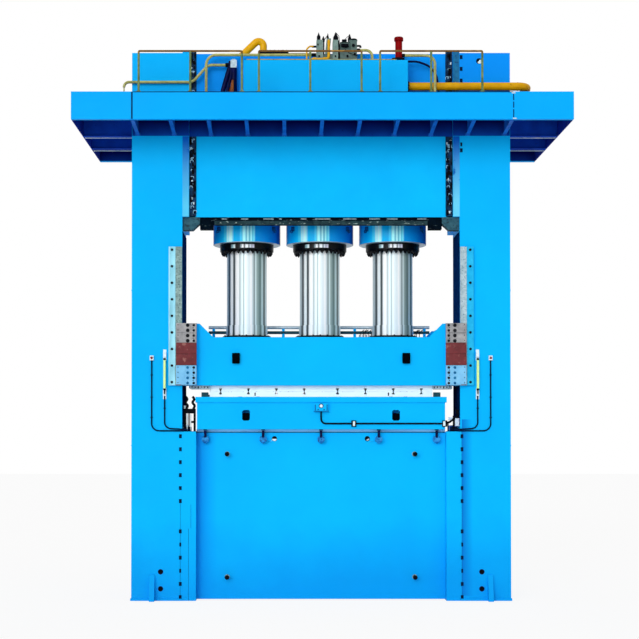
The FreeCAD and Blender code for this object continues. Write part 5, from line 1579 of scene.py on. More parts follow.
    def filter_base(self) -> Piece:
        """Makes the black head casting under the filter with its flange and plug."""
        x, y = self.filter_place
        low = self.tank_top
        head = (Bench.box("head", (x - 0.19, y - 0.12, low), (x + 0.15, y + 0.12, low + 0.075))
                .pick(UP).inset(0.03, 0.012).pick(LEFT).inset(0.02).extrude((-0.03, 0, 0), 0.7)
                .soften(0.01).done())
        plug = stub("plug", (x - 0.17, y - 0.13, low + 0.04), Axis.Y, 0.026, 0.03, 6, 0.008, 0.004)
        collar = stub("collar", (x, y, low + 0.08), Axis.Z, 0.112, 0.03, 28, 0.012, 0.004)
        return joined("filter_head", [head, plug, collar])


# ---- walkway underside

@dataclass
class WalkwayUnderside:
    """Flanges under the brackets, the painted shade on the wall between them, joists and seams."""

    count: int = 11
    reach: float = 4.97
    flange: float = 0.1
    bottom: float = 12.723
    wall_bottom: float = 12.627
    front: float = -2.98
    crown_half: float = 3.58
    walls: tuple[float, float] = (-1.45, -1.55)

    def build(self) -> Pieces:
        """Makes the flanges, panels, joist highlights and seams.

        Returns:
            The pieces.
        """
        return [fit(self.fascia(), FASCIA_ENAMEL, stands_for=("front_walkway_fascia",)),
                fit(self.flanges(), BRACKET_SHADE_BLUE), fit(self.panels(), WALL_SHADE_NAVY),
                fit(self.joist_highlights(), PALE_GREY_AND_HIGHLIGHT), fit(self.seams(), SEAM_SHADOW),
                fit(self.deck_edge(), SEAM_SHADOW), fit(self.weld_beads(), FACED_STEEL)]

    def places(self) -> list[float]:
        """Gives the middle of every bracket."""
        pitch = 2 * self.reach / (self.count - 1)
        return [(step - (self.count - 1) / 2) * pitch for step in range(self.count)]

    def wall(self, x: float) -> float:
        """Gives the level in depth of the wall behind one place."""
        return self.walls[0] if abs(x) < self.crown_half else self.walls[1]

    def fascia(self) -> Piece:
        """Folds the front fascia in three lengths, each with its two lips.

        Returns:
            The fascia, its face set back by the thickness of the seams' dark strips.
        """
        low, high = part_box("front_walkway_fascia")
        front, top = low[1] + 0.0025, high[2] - 0.0005
        stops = low[0] + 0.001, -4.974, 5.0, high[0] - 0.001
        parts = []
        for left, right in zip(stops, stops[1:]):
            parts.append(Bench.box("web", (left, front, low[2] + 0.001),
                                   (right, front + 0.02, top)).pick(BACK).inset(0.02, single=True)
                         .soften(0.0012, 1).done())
            for z in (low[2] + 0.001, top - 0.02):
                parts.append(slab("lip", (left, front + 0.02, z),
                                  (right, high[1] - 0.001, z + 0.0195), 0.004, side=BACK))
        return joined("fascia_folded", parts)

    def flanges(self) -> Piece:
        """Welds a sloping flange and a small foot under every bracket."""
        parts = []
        for x in self.places():
            wall = self.wall(x)
            plate = Bench.box("flange", (x - self.flange / 2, self.front, self.bottom - 0.012),
                              (x + self.flange / 2, wall - 0.002, self.bottom))
            plate.pick(BACK)
            bpy.ops.transform.translate(value=(0, 0, self.wall_bottom - self.bottom))
            plate.pick(DOWN).inset(0.008, -0.002)
            parts.append(plate.done())
            parts.append(slab("foot", (x - 0.07, wall - 0.05, self.wall_bottom - 0.03),
                              (x + 0.07, wall - 0.001, self.wall_bottom + 0.05), 0.012, 0.004,
                              0.006))
        return joined("bracket_flanges", parts)

    def panels(self) -> Piece:
        """Hangs dark panels on the wall between the brackets and inside the rear fascia: painted
        shade under the walkways.
        """
        parts = []
        stops = [-5.13] + self.places() + [5.13]
        for left, right in zip(stops, stops[1:]):
            edges = [left + 0.012, right - 0.012]
            for seam in (-self.crown_half, self.crown_half):
                if edges[0] < seam < edges[1]:
                    edges = [edges[0], seam, seam, edges[1]]
            for low, high in zip(edges[::2], edges[1::2]):
                if high - low < 0.03:
                    continue
                wall = self.wall((low + high) / 2)
                parts.append(slab("panel", (low, wall - 0.012, self.wall_bottom - 0.035),
                                  (high, wall - 0.001, 13.42), min(0.04, (high - low) / 4),
                                  -0.003))
        for side in (-1, 1):
            xs = sorted((side * 5.15, side * 6.54))
            parts.append(slab("back", (xs[0], 2.93, self.bottom + 0.016), (xs[1], 2.948, 13.42),
                              0.05, -0.003))
        return joined("shaded_wall_panels", parts)

    def joist_highlights(self) -> Piece:
        """Lays pale strips along the wing joists' lower edges: painted highlights."""
        parts = []
        for side in (-1, 1):
            for y, lift in ((-0.65, -0.004), (1.22, -0.004)):
                inner, outer = 5.16, 6.53
                parts.append(slab("flat", (side * inner if side > 0 else -outer, y - 0.02,
                                           self.bottom - 0.012 + lift),
                                  (side * outer if side > 0 else -inner, y + 0.02,
                                   self.bottom + 0.002 + lift), 0.003, 0.001))
        return joined("joist_highlights", parts)

    def seams(self) -> Piece:
        """Marks the butt seams between the three lengths of the front fascia with painted shade."""
        return joined("fascia_seams",
                      [slab("seam", (x - wide, -3.0995, low), (x + wide, -3.096, high), 0.004,
                            -0.001)
                       for x, wide, breaks in ((-4.974, 0.022, ((12.73, 13.44),)),
                                               (4.992, 0.015,
                                                ((12.77, 12.98), (13.02, 13.18), (13.22, 13.38))))
                       for low, high in breaks])

    def deck_edge(self) -> Piece:
        """Runs a dark strip along the fascia's top edge: painted shade."""
        return (Bench.box("deck_edge", (-4.95, -3.0995, 13.424), (4.98, -3.085, 13.4475))
                .pick(FRONT).inset(0.004, -0.001).cut((0, 0, 0), RIGHT).done())

    def weld_beads(self) -> Piece:
        """Leaves the bright weld ends at the right-hand seam and beside the filling pipe."""
        return joined("weld_ends",
                      [Bench.box("bead", (x - 0.04, -3.0995, low), (x + 0.04, -3.092, high))
                       .pick(FRONT).inset(0.008, 0.0).pick(RIGHT).extrude((0.02, 0, 0), 0.6)
                       .soften(0.003).done()
                       for x, low, high in ((4.985, 13.395, 13.43), (5.012, 12.727, 12.76))])


# ---- columns

@dataclass
class ColumnTrim:
    """Keys in the columns' front seams, crowded gaps beside the crown, inner faces."""

    key_x: float = 3.806
    front: float = -1.55
    gap: tuple[float, float] = (3.388, 3.575)
    inner: float = 3.76
    outer: float = 5.13
    waist: tuple[float, float] = (4.75, 10.3)
    lean_from: float = -0.02

    def build(self) -> Pieces:
        """Makes the keys, the gap trunks and the faces between column and bed.

        Returns:
            The pieces.
        """
        rng = Random(11)
        pieces = [fit(self.column(-1), PRESS_ENAMEL, stands_for=("left_column",)),
                  fit(self.column(1), RIGHT_ENAMEL, stands_for=("right_column",)),
                  fit(self.keys(), CONDUIT_BLACK, stands_for=("column_keys",)),
                  fit(self.trunks(), GAP_SHADE_NAVY), fit(self.side_strips(), RIB_STEEL),
                  fit(self.side_light_shade_skins(), SIDE_PLATE_ENAMEL), fit(self.hoist_disc(), HOLE_PALE),
                  fit(self.hoist_core(), BLACK_THERMOSET_AND_SHADE), fit(self.seam_shade_strip(), SEAM_ENAMEL),
                  fit(self.seam_cuts(), SEAM_SHADOW), fit(self.inner_faces(), INNER_SHADE_NAVY),
                  fit(self.left_head_strip(), PRESS_ENAMEL)]
        for side in (-1, 1):
            for name, finish, share in (("clips", BLACK_THERMOSET_AND_SHADE, 0), ("curls", CURL_BLUE, 1),
                                        ("tags", PALE_CASTING, 2)):
                pieces.append(fit(self.clutter(f"gap_{name}_{'rl'[side < 0]}", side, share, rng),
                                  finish))
        return pieces

    def column(self, side: int) -> Piece:
        """Welds one column up from its foot, its waisted middle and its head.

        Behind its front half the middle's inner wall leans outwards, as the light past
        the slide shows.

        Args:
            side: -1 for the left column, 1 for the right one.

        Returns:
            The column.
        """
        node = "left_column" if side < 0 else "right_column"
        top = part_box(node)[1][2]
        inner, outer, depth = self.inner, self.outer, 1.55
        parts = []
        for z_low, z_high in ((0.0, self.waist[0]), self.waist, (self.waist[1], top)):
            block = Bench.box("block", (inner, -depth, z_low), (outer, depth, z_high))
            if z_low == self.waist[0]:
                block.trim((inner, self.lean_from, 0), (-0.9945, 0.105, 0))
            elif z_low:
                block.pick(UP).inset(0.04, -0.004)
            else:
                block.pick(DOWN).inset(0.3, 0.0)
            parts.append(block.done())
        parts.append(slab("foot", (inner, -depth - 0.02, 0.001),
                          (outer + 0.025, depth + 0.02, 0.06), 0.01, side=UP))
        for end in (-1, 1):
            ys = sorted((end * depth, end * (depth + 0.24)))
            parts.append(Bench.box("rib", (4.495, ys[0], 0.001), (4.63, ys[1], 0.7))
                         .trim((0, end * (depth + 0.04), 0.7), (0, end * 0.9436, 0.3311))
                         .pick(RIGHT).inset(0.01, 0.0).done())
        piece = joined(f"{node}_welded", parts)
        if side > 0:
            return piece
        copy = mirrored(piece, f"{node}_welded")
        remove(piece)
        return copy

    def keys(self) -> Piece:
        """Drives the keys, broad and narrow by turns, into both columns' seams, front and back."""
        parts = []
        rows = {-1: [], 1: []}
        low = [0.103 + 0.3543 * step for step in range(6)]
        for side in (-1, 1):
            rows[side] += [(z, step in (2, 4)) for step, z in enumerate(low)]
            rows[side] += [(2.692 + 0.35 * step, 0) for step in range(6)]
        rows[1] += [(12.2, 0), (12.36, 1)]
        rows[1] += [(z, 0) for z in (14.1, 14.42, 14.74)]
        for side, places in rows.items():
            for z, narrow in places:
                half = 0.024 if narrow else 0.036
                x = side * self.key_x
                for face in (-1, 1):
                    ys = sorted((face * (0.014 - self.front), face * (0.001 - self.front)))
                    parts.append(Bench.box("key", (x - half, ys[0], z - 0.052),
                                           (x + half, ys[1], z + 0.052)).pick((0, face, 0))
                                 .inset(0.01, 0.003).inset(0.006, -0.004).soften(0.004).done())
        return joined("column_keys_fitted", parts)

    def trunks(self) -> Piece:
        """Bends the open trunks that close the gaps between crown and side plates, dark as painted
        shade.
        """
        parts = []
        for side in (-1, 1):
            for low, high in ((10.42, 12.59), (13.45, 14.9)):
                xs = sorted((side * self.gap[0], side * self.gap[1]))
                parts.append(slab("trunk", (xs[0], -1.47, low), (xs[1], -1.4505, high), 0.018,
                                  -0.012))
        return joined("gap_trunks", parts)

    def side_strips(self) -> Piece:
        """Lays the steel-blue strip over the right side plate's head."""
        return slab("strip", (3.585, -1.556, 13.45), (3.758, -1.5505, 14.93), 0.01, -0.002)

    @staticmethod
    def left_head_strip() -> Piece:
        """Lays the enamelled strip over the left side plate's head."""
        return slab("left_head_strip", (-3.758, -1.556, 13.45), (-3.585, -1.5505, 14.93), 0.01,
                    -0.001)

    def side_light_shade_skins(self) -> Piece:
        """Lays thin skins on the crown's side plates that carry their painted shade and highlight.
        """
        parts = []
        for side in (-1, 1):
            xs = sorted((side * 3.585, side * 3.758))
            parts.append(slab("skin", (xs[0], -1.556, 10.4), (xs[1], -1.5505, 12.58), 0.01,
                              -0.002))
        return joined("side_plate_light_shade_skins", parts)

    @staticmethod
    def hoist_disc() -> Piece:
        """Sets a pale disc in the lower half of the right column's hoist hole: painted light where
        the hole shows through.
        """
        return (Bench.drum("liner", (4.306, -1.553, 14.618), Axis.Y, 0.058, 0.006, 28).pick(FRONT)
                .inset(0.01, 0.0).cut((4.306, 0, 14.618), (1, 0, -1))
                .trim((4.288, 0, 14.636), (-1, 0, 1)).done())

    @staticmethod
    def hoist_core() -> Piece:
        """Sets a dark disc in the right column's hoist hole: painted shade."""
        return stub("core", (4.292, -1.552, 14.632), Axis.Y, 0.078, 0.003, 28, 0.01)

    def seam_shade_strip(self) -> Piece:
        """Lays a thin strip beside the right column's seam that carries painted shade."""
        return slab("coat", (self.key_x + 0.001, self.front - 0.0012, 0.14),
                    (4.12, self.front - 0.0002, 4.9), 0.004)

    def seam_cuts(self) -> Piece:
        """Scribes the fine joints that run down the columns' lower halves in painted shade."""
        return joined("column_joint_lines",
                      [slab("cut", (x - 0.004, self.front - 0.0022, low),
                            (x + 0.004, self.front - 0.0002, high), 0.001)
                       for x, low, high in ((-self.key_x, 0.1, 2.7), (-3.585, 0.01, 1.95),
                                            (-3.52, 1.96, 2.6), (self.key_x - 0.004, 0.1, 4.6))])

    def inner_faces(self) -> Piece:
        """Lays dark plates on the columns' inner faces: painted shade."""
        parts = []
        for side in (-1, 1):
            xs = sorted((side * 3.748, side * 3.7595))
            for low, high in ((4.76, 7.4), (7.42, 10.0)):
                parts.append(slab("inner", (xs[0], -1.549, low), (xs[1], -0.03, high), 0.05,
                                  -0.004, side=(-side, 0, 0)))
        return joined("inner_shade_plates", parts)

    def clutter(self, name: str, side: int, kind: int, rng: Random) -> Piece:
        """Fills one gap with one sort of small fitting.

        Args:
            name: The piece's name.
            side: -1 for the left gap, 1 for the right one.
            kind: 0 for clips, 1 for curled pipes, 2 for tags.
            rng: Where the pieces stand.

        Returns:
            The fittings as one piece.
        """
        parts = []
        for low, high, many in ((10.5, 12.5, (22, 16, 5)), (13.5, 14.85, (14, 5, 3))):
            for _ in range(many[kind]):
                x = side * rng.uniform(self.gap[0] + 0.03, self.gap[1] - 0.03)
                z = rng.uniform(low, high)
                if kind == 1:
                    r = rng.uniform(0.02, 0.045)
                    parts.append(bent_pipe("curl", [(x - r, -1.478, z - r), (x - r, -1.482, z + r),
                                                    (x + r, -1.482, z + r),
                                                    (x + r, -1.478, z - r * 0.2)], 0.009, r * 0.7,
                                           6, 4))
                    continue
                w, h = ((0.022, 0.05), (0, 0), (0.016, 0.02))[kind]
                w, h = rng.uniform(w * 0.6, w * 1.6), rng.uniform(h * 0.5, h * 1.8)
                parts.append(slab("clip", (x - w, -1.488, z - h), (x + w, -1.462, z + h),
                                  min(w, h) * 0.4, 0.004))
        return joined(name, parts)


# ---- covers on sides and back

@dataclass
class AccessCovers:
    """Bolted access covers and weld beads on the columns' outer sides and the backs."""

    side: float = 5.13
    levels: tuple[float, ...] = (2.2, 6.3, 10.4)
    half_width: float = 0.42
    half_height: float = 0.6

    def build(self) -> Pieces:
        """Makes the covers, their bolts and the weld beads.

        Returns:
            The pieces.
        """
        plate, bolts = self.plate(), self.bolts()
        pieces = [fit(self.spread("access_covers", plate), PRESS_ENAMEL),
                  fit(self.spread("access_cover_bolts", bolts), BLACK_OXIDE),
                  fit(self.beads(), PRESS_ENAMEL)]
        remove(plate)
        remove(bolts)
        return pieces

    def spread(self, name: str, pattern: Piece) -> Piece:
        """Copies a pattern that faces +X to every cover's place.

        Args:
            name: The finished piece's name.
            pattern: The part of one cover, at the origin.

        Returns:
            All the copies as one piece.
        """
        quarter = Matrix.Rotation(math.radians(90), 4, "Z")
        half = Matrix.Rotation(math.radians(180), 4, "Z")
        parts = []
        for level in self.levels:
            parts.append(moved(pattern, "copy", (self.side, 0, level)))
            parts.append(moved(pattern, "copy", (-self.side, 0, level), half))
        for node, level in (("crown", 11.6), ("bed", 2.2)):
            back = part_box(node)[1][1]
            for x in (-1.6, 1.6):
                parts.append(moved(pattern, "copy", (x, back, level), quarter))
        return joined(name, parts)

    def plate(self) -> Piece:
        """Folds one cover with its raised field and its handle."""
        plate = (Bench.box("cover", (0.0005, -self.half_width, -self.half_height),
                           (0.014, self.half_width, self.half_height)).pick(RIGHT).inset(0.06)
                 .extrude((0.008, 0, 0), 0.97).inset(0.03, -0.004).soften(0.003).done())
        handle = bent_pipe("handle", [(0.016, -0.11, -0.3), (0.062, -0.11, -0.3),
                                      (0.062, 0.11, -0.3), (0.016, 0.11, -0.3)], 0.011, 0.03, 10)
        return joined("cover", [plate, handle])

    def bolts(self) -> Piece:
        """Sets one cover's bolts round its rim."""
        across, up = self.half_width - 0.03, self.half_height - 0.03
        places = [(y, z) for y in (-across, 0.0, across) for z in (-up, up)]
        places += [(y, z) for y in (-across, across) for z in (-up / 3, up / 3)]
        bolt = stub("bolt", (0.02, 0, 0), Axis.X, 0.017, 0.014, 6, 0.004, 0.003, 20)
        return joined("bolts", copies_at(bolt, [(0, y, z) for y, z in places]))

    def beads(self) -> Piece:
        """Lays the ground weld beads where the columns' plates meet."""
        return joined("column_weld_beads",
                      [Bench.drum("bead", (side * self.side, 0, level), Axis.Y, 0.016, 3.08, 10)
                       .pick(BACK).inset(0.004, 0.002)
                       .trim((side * (self.side - 0.004), 0, level), (-side, 0, 0)).done(60)
                       for side in (-1, 1) for level in (4.2, 8.4, 12.2)])


# ---- slide guides

@dataclass
class GuideSet:
    """The slideway rails, the shoes with their split wedges and every guide bolt."""

    face: float = -1.64
    rail: tuple[float, float, float] = (3.764, 3.938, 4.125)
    rail_z: tuple[float, float] = (5.8185, 9.5725)
    shoe: tuple[float, float] = (3.36, 3.915)
    shoe_z: tuple[float, float] = (5.8185, 7.4945)
    upper_low: float = 6.964
    lower_high: float = 6.358
    plate_back: float = -1.701
    plate_front: float = -1.736
    bolt_seat: float = -1.739
    bolt_x: float = 3.6

    def build(self) -> Pieces:
        """Makes both sides' rails, shoes, wedges and bolts.

        Returns:
            The pieces.
        """
        slide, pieces = Body.SLIDE, []
        for maker, finish, body, nodes in ((self.rail_bolts, BOLT_BLACK, Body.FRAME,
                                            ("guide_rail_bolts",)),
                                           (self.shoes, SHOE_IRON, slide, ("guide_shoes",)),
                                           (self.upper_plates, SHOE_IRON, slide,
                                            ("upper_shoe_plates",)),
                                           (self.lower_plates, SHOE_BLUE, slide,
                                            ("lower_shoe_plates",)),
                                           (self.wedges, WEDGE_RED, slide, ("wedge_blocks",)),
                                           (self.large_bolts, BOLT_BLACK, slide, ("shoe_bolts",)),
                                           (self.lower_bolts, RIB_STEEL, slide, ("shoe_bolts",)),
                                           (self.small_bolts, BOLT_BLACK, slide, ("shoe_bolts",))):
            pieces.append(fit(maker(), finish, body, nodes))
        strip, face = self.strip(), self.inner_face()
        for side, steel, scraped in ((1, RAIL_CYAN, SCRAPED_PALE),
                                     (-1, GUIDE_STEEL, MOTTLED_GREEN)):
            place = "right" if side > 0 else "left"
            for part, finish in ((strip, steel), (face, scraped)):
                name = f"{place}_{part.name}"
                copy = moved(part, name) if side > 0 else mirrored(part, name)
                pieces.append(fit(copy, finish, stands_for=("guide_rails",)))
        remove(strip)
        remove(face)
        return pieces

    def strip(self) -> Piece:
        """Grinds the right slideway strip, with an oil groove and a folded edge."""
        low, high = self.rail_z
        back = -1.5505
        return (Bench.box("slideway_strip", (self.rail[1], self.face, low),
                          (self.rail[2] - 0.04, back, high)).cut((0, 0, high - 0.5), UP)
                .cut((0, 0, low + 0.5), UP).pick(FRONT).inset(0.012, -0.004, single=True)
                .pick(RIGHT).extrude((0.04, 0, 0)).soften(0.005).done())

    def inner_face(self) -> Piece:
        """Mills the right side's mottled inner face that the shoe runs on."""
        low, high = self.rail_z
        return (Bench.box("slideway_face", (self.rail[0], self.face, low),
                          (self.rail[1] - 0.001, -1.5505, high)).pick(FRONT).inset(0.01, -0.003)
                .pick(UP).inset(0.012, 0.0).soften(0.004).done())

    def rail_bolts(self) -> Piece:
        """Sets the rails' clamp bolts on their washers along the strip."""
        bolt = self.hexagon(0.026, 0.03, -1.6405)
        end, count = 0.0865, 9
        low, high = self.rail_z[0] + end, self.rail_z[1] - end
        places = [(4.032, 0, low + (high - low) * step / (count - 1)) for step in range(count)]
        return both_sides("rail_bolts_fitted", copies_at(bolt, places))

    @staticmethod
    def hexagon(radius: float, height: float, seat: float) -> Piece:
        """Models one washer and socketed hexagon head at the origin.

        Args:
            radius: The head's radius over its corners.
            height: How far it stands out.
            seat: The level in depth that it sits on.

        Returns:
            The bolt, its axis along Y at X and Z nought.
        """
        washer = stub("washer", (0, seat - height * 0.1, 0), Axis.Y, radius * 1.35, height * 0.2,
                      20, radius * 0.12, 0.001)
        head = (Bench.drum("head", (0, seat - height * 0.6, 0), Axis.Y, radius, height * 0.8, 6)
                .pick(FRONT).inset(radius * 0.16, height * 0.1).inset(radius * 0.3, -height * 0.3)
                .done(20))
        return joined("bolt", [washer, head])

    def shoes(self) -> Piece:
        """Casts the shoes' bodies with a relief along their slideway side."""
        body = (Bench.box("shoe", (self.shoe[0], -1.7, self.shoe_z[0]),
                          (self.shoe[1], -1.6405, self.shoe_z[1])).pick(RIGHT).inset(0.012, -0.006)
                .pick(LEFT).inset(0.012, -0.006).pick(FRONT).inset(0.014, 0.0).soften(0.006)
                .done())
        return both_sides("shoe_bodies", [body])

    def plate(self, low: float, high: float, left: float, right: float) -> Piece:
        """Mills one cover plate with a shallow panel and a chamfered edge.

        Args:
            low: Its lower level.
            high: Its upper level.
            left: Its left side.
            right: Its right side.

        Returns:
            The plate.
        """
        return (Bench.box("plate", (left, self.plate_front, low), (right, self.plate_back, high))
                .pick(FRONT).inset(0.016, 0.003).inset(0.01, -0.004).soften(0.004).done())

    def upper_plates(self) -> Piece:
        """Bolts the upper plates on in two halves with an oil gap between them."""
        left, right = self.shoe[0] + 0.003, self.shoe[1] - 0.003
        high = self.shoe_z[1]
        middle = (self.upper_low + high) / 2
        halves = [self.plate(self.upper_low, middle - 0.004, left, right),
                  self.plate(middle + 0.004, high - 0.002, left, right)]
        return both_sides("upper_plates_fitted", halves)

    def lower_plates(self) -> Piece:
        """Bolts the lower plates on, with the wiper strip under them."""
        left, right = self.shoe[0] + 0.003, self.shoe[1] - 0.003
        low = self.shoe_z[0] + 0.002
        wiper = slab("wiper", (left + 0.02, -1.73, low),
                     (right - 0.14, self.plate_back, low + 0.02), 0.004, 0.002)
        return both_sides("lower_plates_fitted",
                          [self.plate(low + 0.022, self.lower_high - 0.002, left, right), wiper])

    def wedges(self) -> Piece:
        """Splits each wedge block across, with a jacking slot between the halves."""
        left, right = self.shoe[0], self.shoe[1] - 0.002
        middle = (self.upper_low + self.lower_high) / 2
        parts = [Bench.box("wedge", (left, -1.758, low), (right, self.plate_back, high))
                 .cut((left + (right - left) * 0.72, 0, 0), RIGHT).pick(FRONT).inset(0.012, 0.003)
                 .soften(0.004).done()
                 for low, high in ((self.lower_high + 0.002, middle - 0.003),
                                   (middle + 0.003, self.upper_low - 0.002))]
        parts.append(slab("jack", (left + 0.1, -1.7615, middle - 0.02),
                          (left + 0.2, -1.757, middle + 0.02), 0.006, -0.002))
        return both_sides("wedges_fitted", parts)

    def large_bolts(self) -> Piece:
        """Sets the upper plates' large bolts in their inner columns."""
        bolt = self.hexagon(0.036, 0.024, self.bolt_seat)
        return both_sides("large_shoe_bolts",
                          copies_at(bolt, [(self.bolt_x, 0, z) for z in self.rows()[:4]]))

    def lower_bolts(self) -> Piece:
        """Sets the lower plates' blued bolts."""
        bolt = self.hexagon(0.027, 0.024, self.bolt_seat)
        return both_sides("lower_shoe_bolts",
                          copies_at(bolt, [(self.bolt_x, 0, z) for z in self.rows()[4:]]))

    def small_bolts(self) -> Piece:
        """Sets the plates' small bolts and dowels in their edge columns."""
        bolt = self.hexagon(0.026, 0.02, self.bolt_seat)
        dowel = stub("dowel", (0, -1.741, 0), Axis.Y, 0.013, 0.008, 12, 0.004, -0.002)
        pins = [place for z in self.rows()
                for place in ((3.452, 0, z - 0.07), (3.86, 0, z + 0.01))]
        return both_sides("small_shoe_bolts", copies_at(bolt, [(3.436, 0, z) for z in self.rows()])
                          + copies_at(dowel, pins))

    @staticmethod
    def rows() -> list[float]:
        """Gives the levels of the upper plate's and the lower plate's bolt rows."""
        return [7.436 - 0.14 * step for step in range(4)] + [5.876 + 0.14 * step
                                                             for step in range(4)]


# ---- side fittings

@dataclass
class SideFittings:
    """Button boxes, light curtains, their conduits and junction boxes."""

    wall: float = -1.55
    box_x: tuple[float, float] = (4.53, 4.636)
    box_z: tuple[float, float] = (6.495, 6.625)
    curtain_x: tuple[float, float] = (4.2, 4.264)
    curtain_z: tuple[float, float] = (5.685, 6.55)

    def build(self) -> Pieces:
        """Makes the fittings of both sides.

        Returns:
            The pieces.
        """
        pieces = [fit(both_sides("button_boxes_fitted", self.button_box()), WHITE_ABS,
                      stands_for=("button_boxes",)),
                  fit(both_sides("button_glands", self.glands()), BLACK_THERMOSET_AND_SHADE,
                      stands_for=("button_boxes",)),
                  fit(both_sides("curtain_bars", self.curtain()), CURTAIN_YELLOW,
                      stands_for=("light_curtains",)),
                  fit(both_sides("curtain_ends", self.curtain_ends()), BLACK_THERMOSET_AND_SHADE,
                      stands_for=("light_curtains",)),
                  fit(both_sides("curtain_windows", self.windows()), CURTAIN_WINDOW,
                      stands_for=("light_curtains",)),
                  fit(both_sides("curtain_brackets_fitted", self.brackets()), WHITE_ABS,
                      stands_for=("curtain_brackets",)),
                  fit(both_sides("side_conduits", self.conduits()), CONDUIT_BLACK,
                      stands_for=("conduits",)),
                  fit(both_sides("junction_boxes", self.junctions()), CONDUIT_BLACK,
                      stands_for=("conduits",))]
        for side, body, node in ((-1, Body.LEFT_BUTTON, "left_button"),
                                 (1, Body.RIGHT_BUTTON, "right_button")):
            pieces.append(fit(self.button(side, node), BUTTON_RED, body, (node,)))
        return pieces

    def button_box(self) -> Pieces:
        """Moulds the box with its lid and four screws."""
        left, right = self.box_x
        low, high = self.box_z
        case = slab("case", (left, -1.602, low), (right, self.wall - 0.001, high), 0.012, 0.002,
                    0.008, side=UP)
        lid = (Bench.box("lid", (left + 0.002, -1.6195, low + 0.002),
                         (right - 0.002, -1.6025, high - 0.002)).pick(FRONT).inset(0.008, -0.003)
               .inset(0.027, -0.009).soften(0.005).done())
        parts = [case, lid]
        for x in (left + 0.013, right - 0.013):
            for z in (low + 0.013, high - 0.013):
                parts.append(stub("screw", (x, -1.6185, z), Axis.Y, 0.005, 0.003, 10, 0.002,
                                  -0.001))
        return parts

    def glands(self) -> Pieces:
        """Turns the cable gland under the box and the guard ring round the button."""
        x, low = 4.583, self.box_z[0]
        gland = (Bench.drum("gland", (x, -1.575, low - 0.018), Axis.Z, 0.022, 0.036, 6).pick(DOWN)
                 .inset(0.005).extrude((0, 0, -0.014), 0.8).done(20))
        ring = stub("ring", (x, -1.6215, 6.56), Axis.Y, 0.034, 0.006, 24, 0.006, -0.002)
        return [gland, ring]

    def button(self, side: int, name: str) -> Piece:
        """Moulds one mushroom button that rides on its own body.

        Args:
            side: -1 for the left one, 1 for the right one.
            name: Its node.

        Returns:
            The button inside its node's bounds.
        """
        low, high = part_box(name)
        x, z = (low[0] + high[0]) / 2, (low[2] + high[2]) / 2
        radius = min(high[0] - low[0], high[2] - low[2]) / 2 * 0.98
        depth = high[1] - low[1]
        cap = (Bench.drum(name + "_cap", (x, low[1] + depth * 0.214, z), Axis.Y, radius,
                          depth * 0.166, 28).pick(FRONT).extrude((0, -depth * 0.08, 0), 0.9)
               .extrude((0, -depth * 0.05, 0), 0.72).inset(radius * 0.2, 0.0).soften(radius * 0.05)
               .done(50))
        stem = (Bench.drum("stem", (x, low[1] + depth * 0.411, z), Axis.Y, radius * 0.46,
                           depth * 0.229, 20).pick(BACK).inset(radius * 0.08, 0.0).done())
        return joined(name + "_mushroom", [cap, stem])

    def curtain(self) -> Pieces:
        """Extrudes the light curtain's profile with its two side grooves."""
        left, right = self.curtain_x
        low, high = self.curtain_z
        return [Bench.box("bar", (left, -1.66, low + 0.05), (right, -1.602, high - 0.05))
                .pick(RIGHT).inset(0.012, -0.005).pick(LEFT).inset(0.012, -0.005).pick(FRONT)
                .inset(0.01, -0.003).soften(0.003).done()]

    def windows(self) -> Pieces:
        """Lays the pale lens strip with its ticks along the curtain."""
        middle = sum(self.curtain_x) / 2
        low, high = self.curtain_z
        parts = [slab("lens", (middle - 0.016, -1.6595, low + 0.07),
                      (middle + 0.016, -1.6565, high - 0.07), 0.004)]
        for step in range(12):
            z = low + 0.1 + (high - low - 0.2) * step / 11
            parts.append(slab("tick", (middle - 0.012, -1.66, z - 0.004),
                              (middle + 0.012, -1.6592, z + 0.004), 0.001))
        return parts

    def curtain_ends(self) -> Pieces:
        """Moulds the black end caps and the connector under the curtain."""
        left, right = self.curtain_x
        low, high = self.curtain_z
        parts = [slab("cap", (left - 0.001, -1.66, z_low), (right + 0.001, -1.6, z_high), 0.006,
                      -0.002, 0.005) for z_low, z_high in ((low, low + 0.05), (high - 0.05, high))]
        parts.append(Bench.drum("plug", ((left + right) / 2, -1.63, low - 0.045), Axis.Z, 0.017,
                                0.09, 16).pick(DOWN).inset(0.004).extrude((0, 0, -0.02), 0.8)
                     .done())
        return parts

    def brackets(self) -> Pieces:
        """Folds the two brackets, each a back plate with a forward tab and screws."""
        parts = []
        for low, high in ((5.445, 5.745), (6.49, 6.79)):
            parts += [slab("back", (4.188, -1.556, low), (4.276, self.wall - 0.001, high), 0.008,
                           0.002, 0.004),
                      slab("tab", (4.19, -1.5995, low + 0.09), (4.274, -1.5565, high - 0.09),
                           0.012, -0.003, 0.004)]
            for z in (low + 0.03, high - 0.03):
                for x in (4.21, 4.252):
                    parts.append(stub("screw", (x, -1.561, z), Axis.Y, 0.011, 0.008, 6, 0.003,
                                      0.001, 20))
        return parts

    def conduits(self) -> Pieces:
        """Bends the two rigid conduits down to the junction box, with saddle clips."""
        y = -1.572
        routes = (((4.583, y, 6.46), (4.583, y, 4.59), (3.66, y, 4.59), (3.66, -1.37, 4.59)),
                  ((4.232, y, 5.62), (4.232, y, 4.66), (3.9, y, 4.64), (3.58, y, 4.62),
                   (3.58, -1.37, 4.62)))
        parts = [bent_pipe("conduit", list(route), 0.019, 0.2, 12, 8) for route in routes]
        for x, z in ((4.583, 6.1), (4.583, 5.5), (4.583, 4.95), (4.232, 5.2)):
            parts.append(slab("clip", (x - 0.034, -1.594, z - 0.01),
                              (x + 0.034, self.wall, z + 0.01), 0.004, 0.001, 0.003))
        return parts

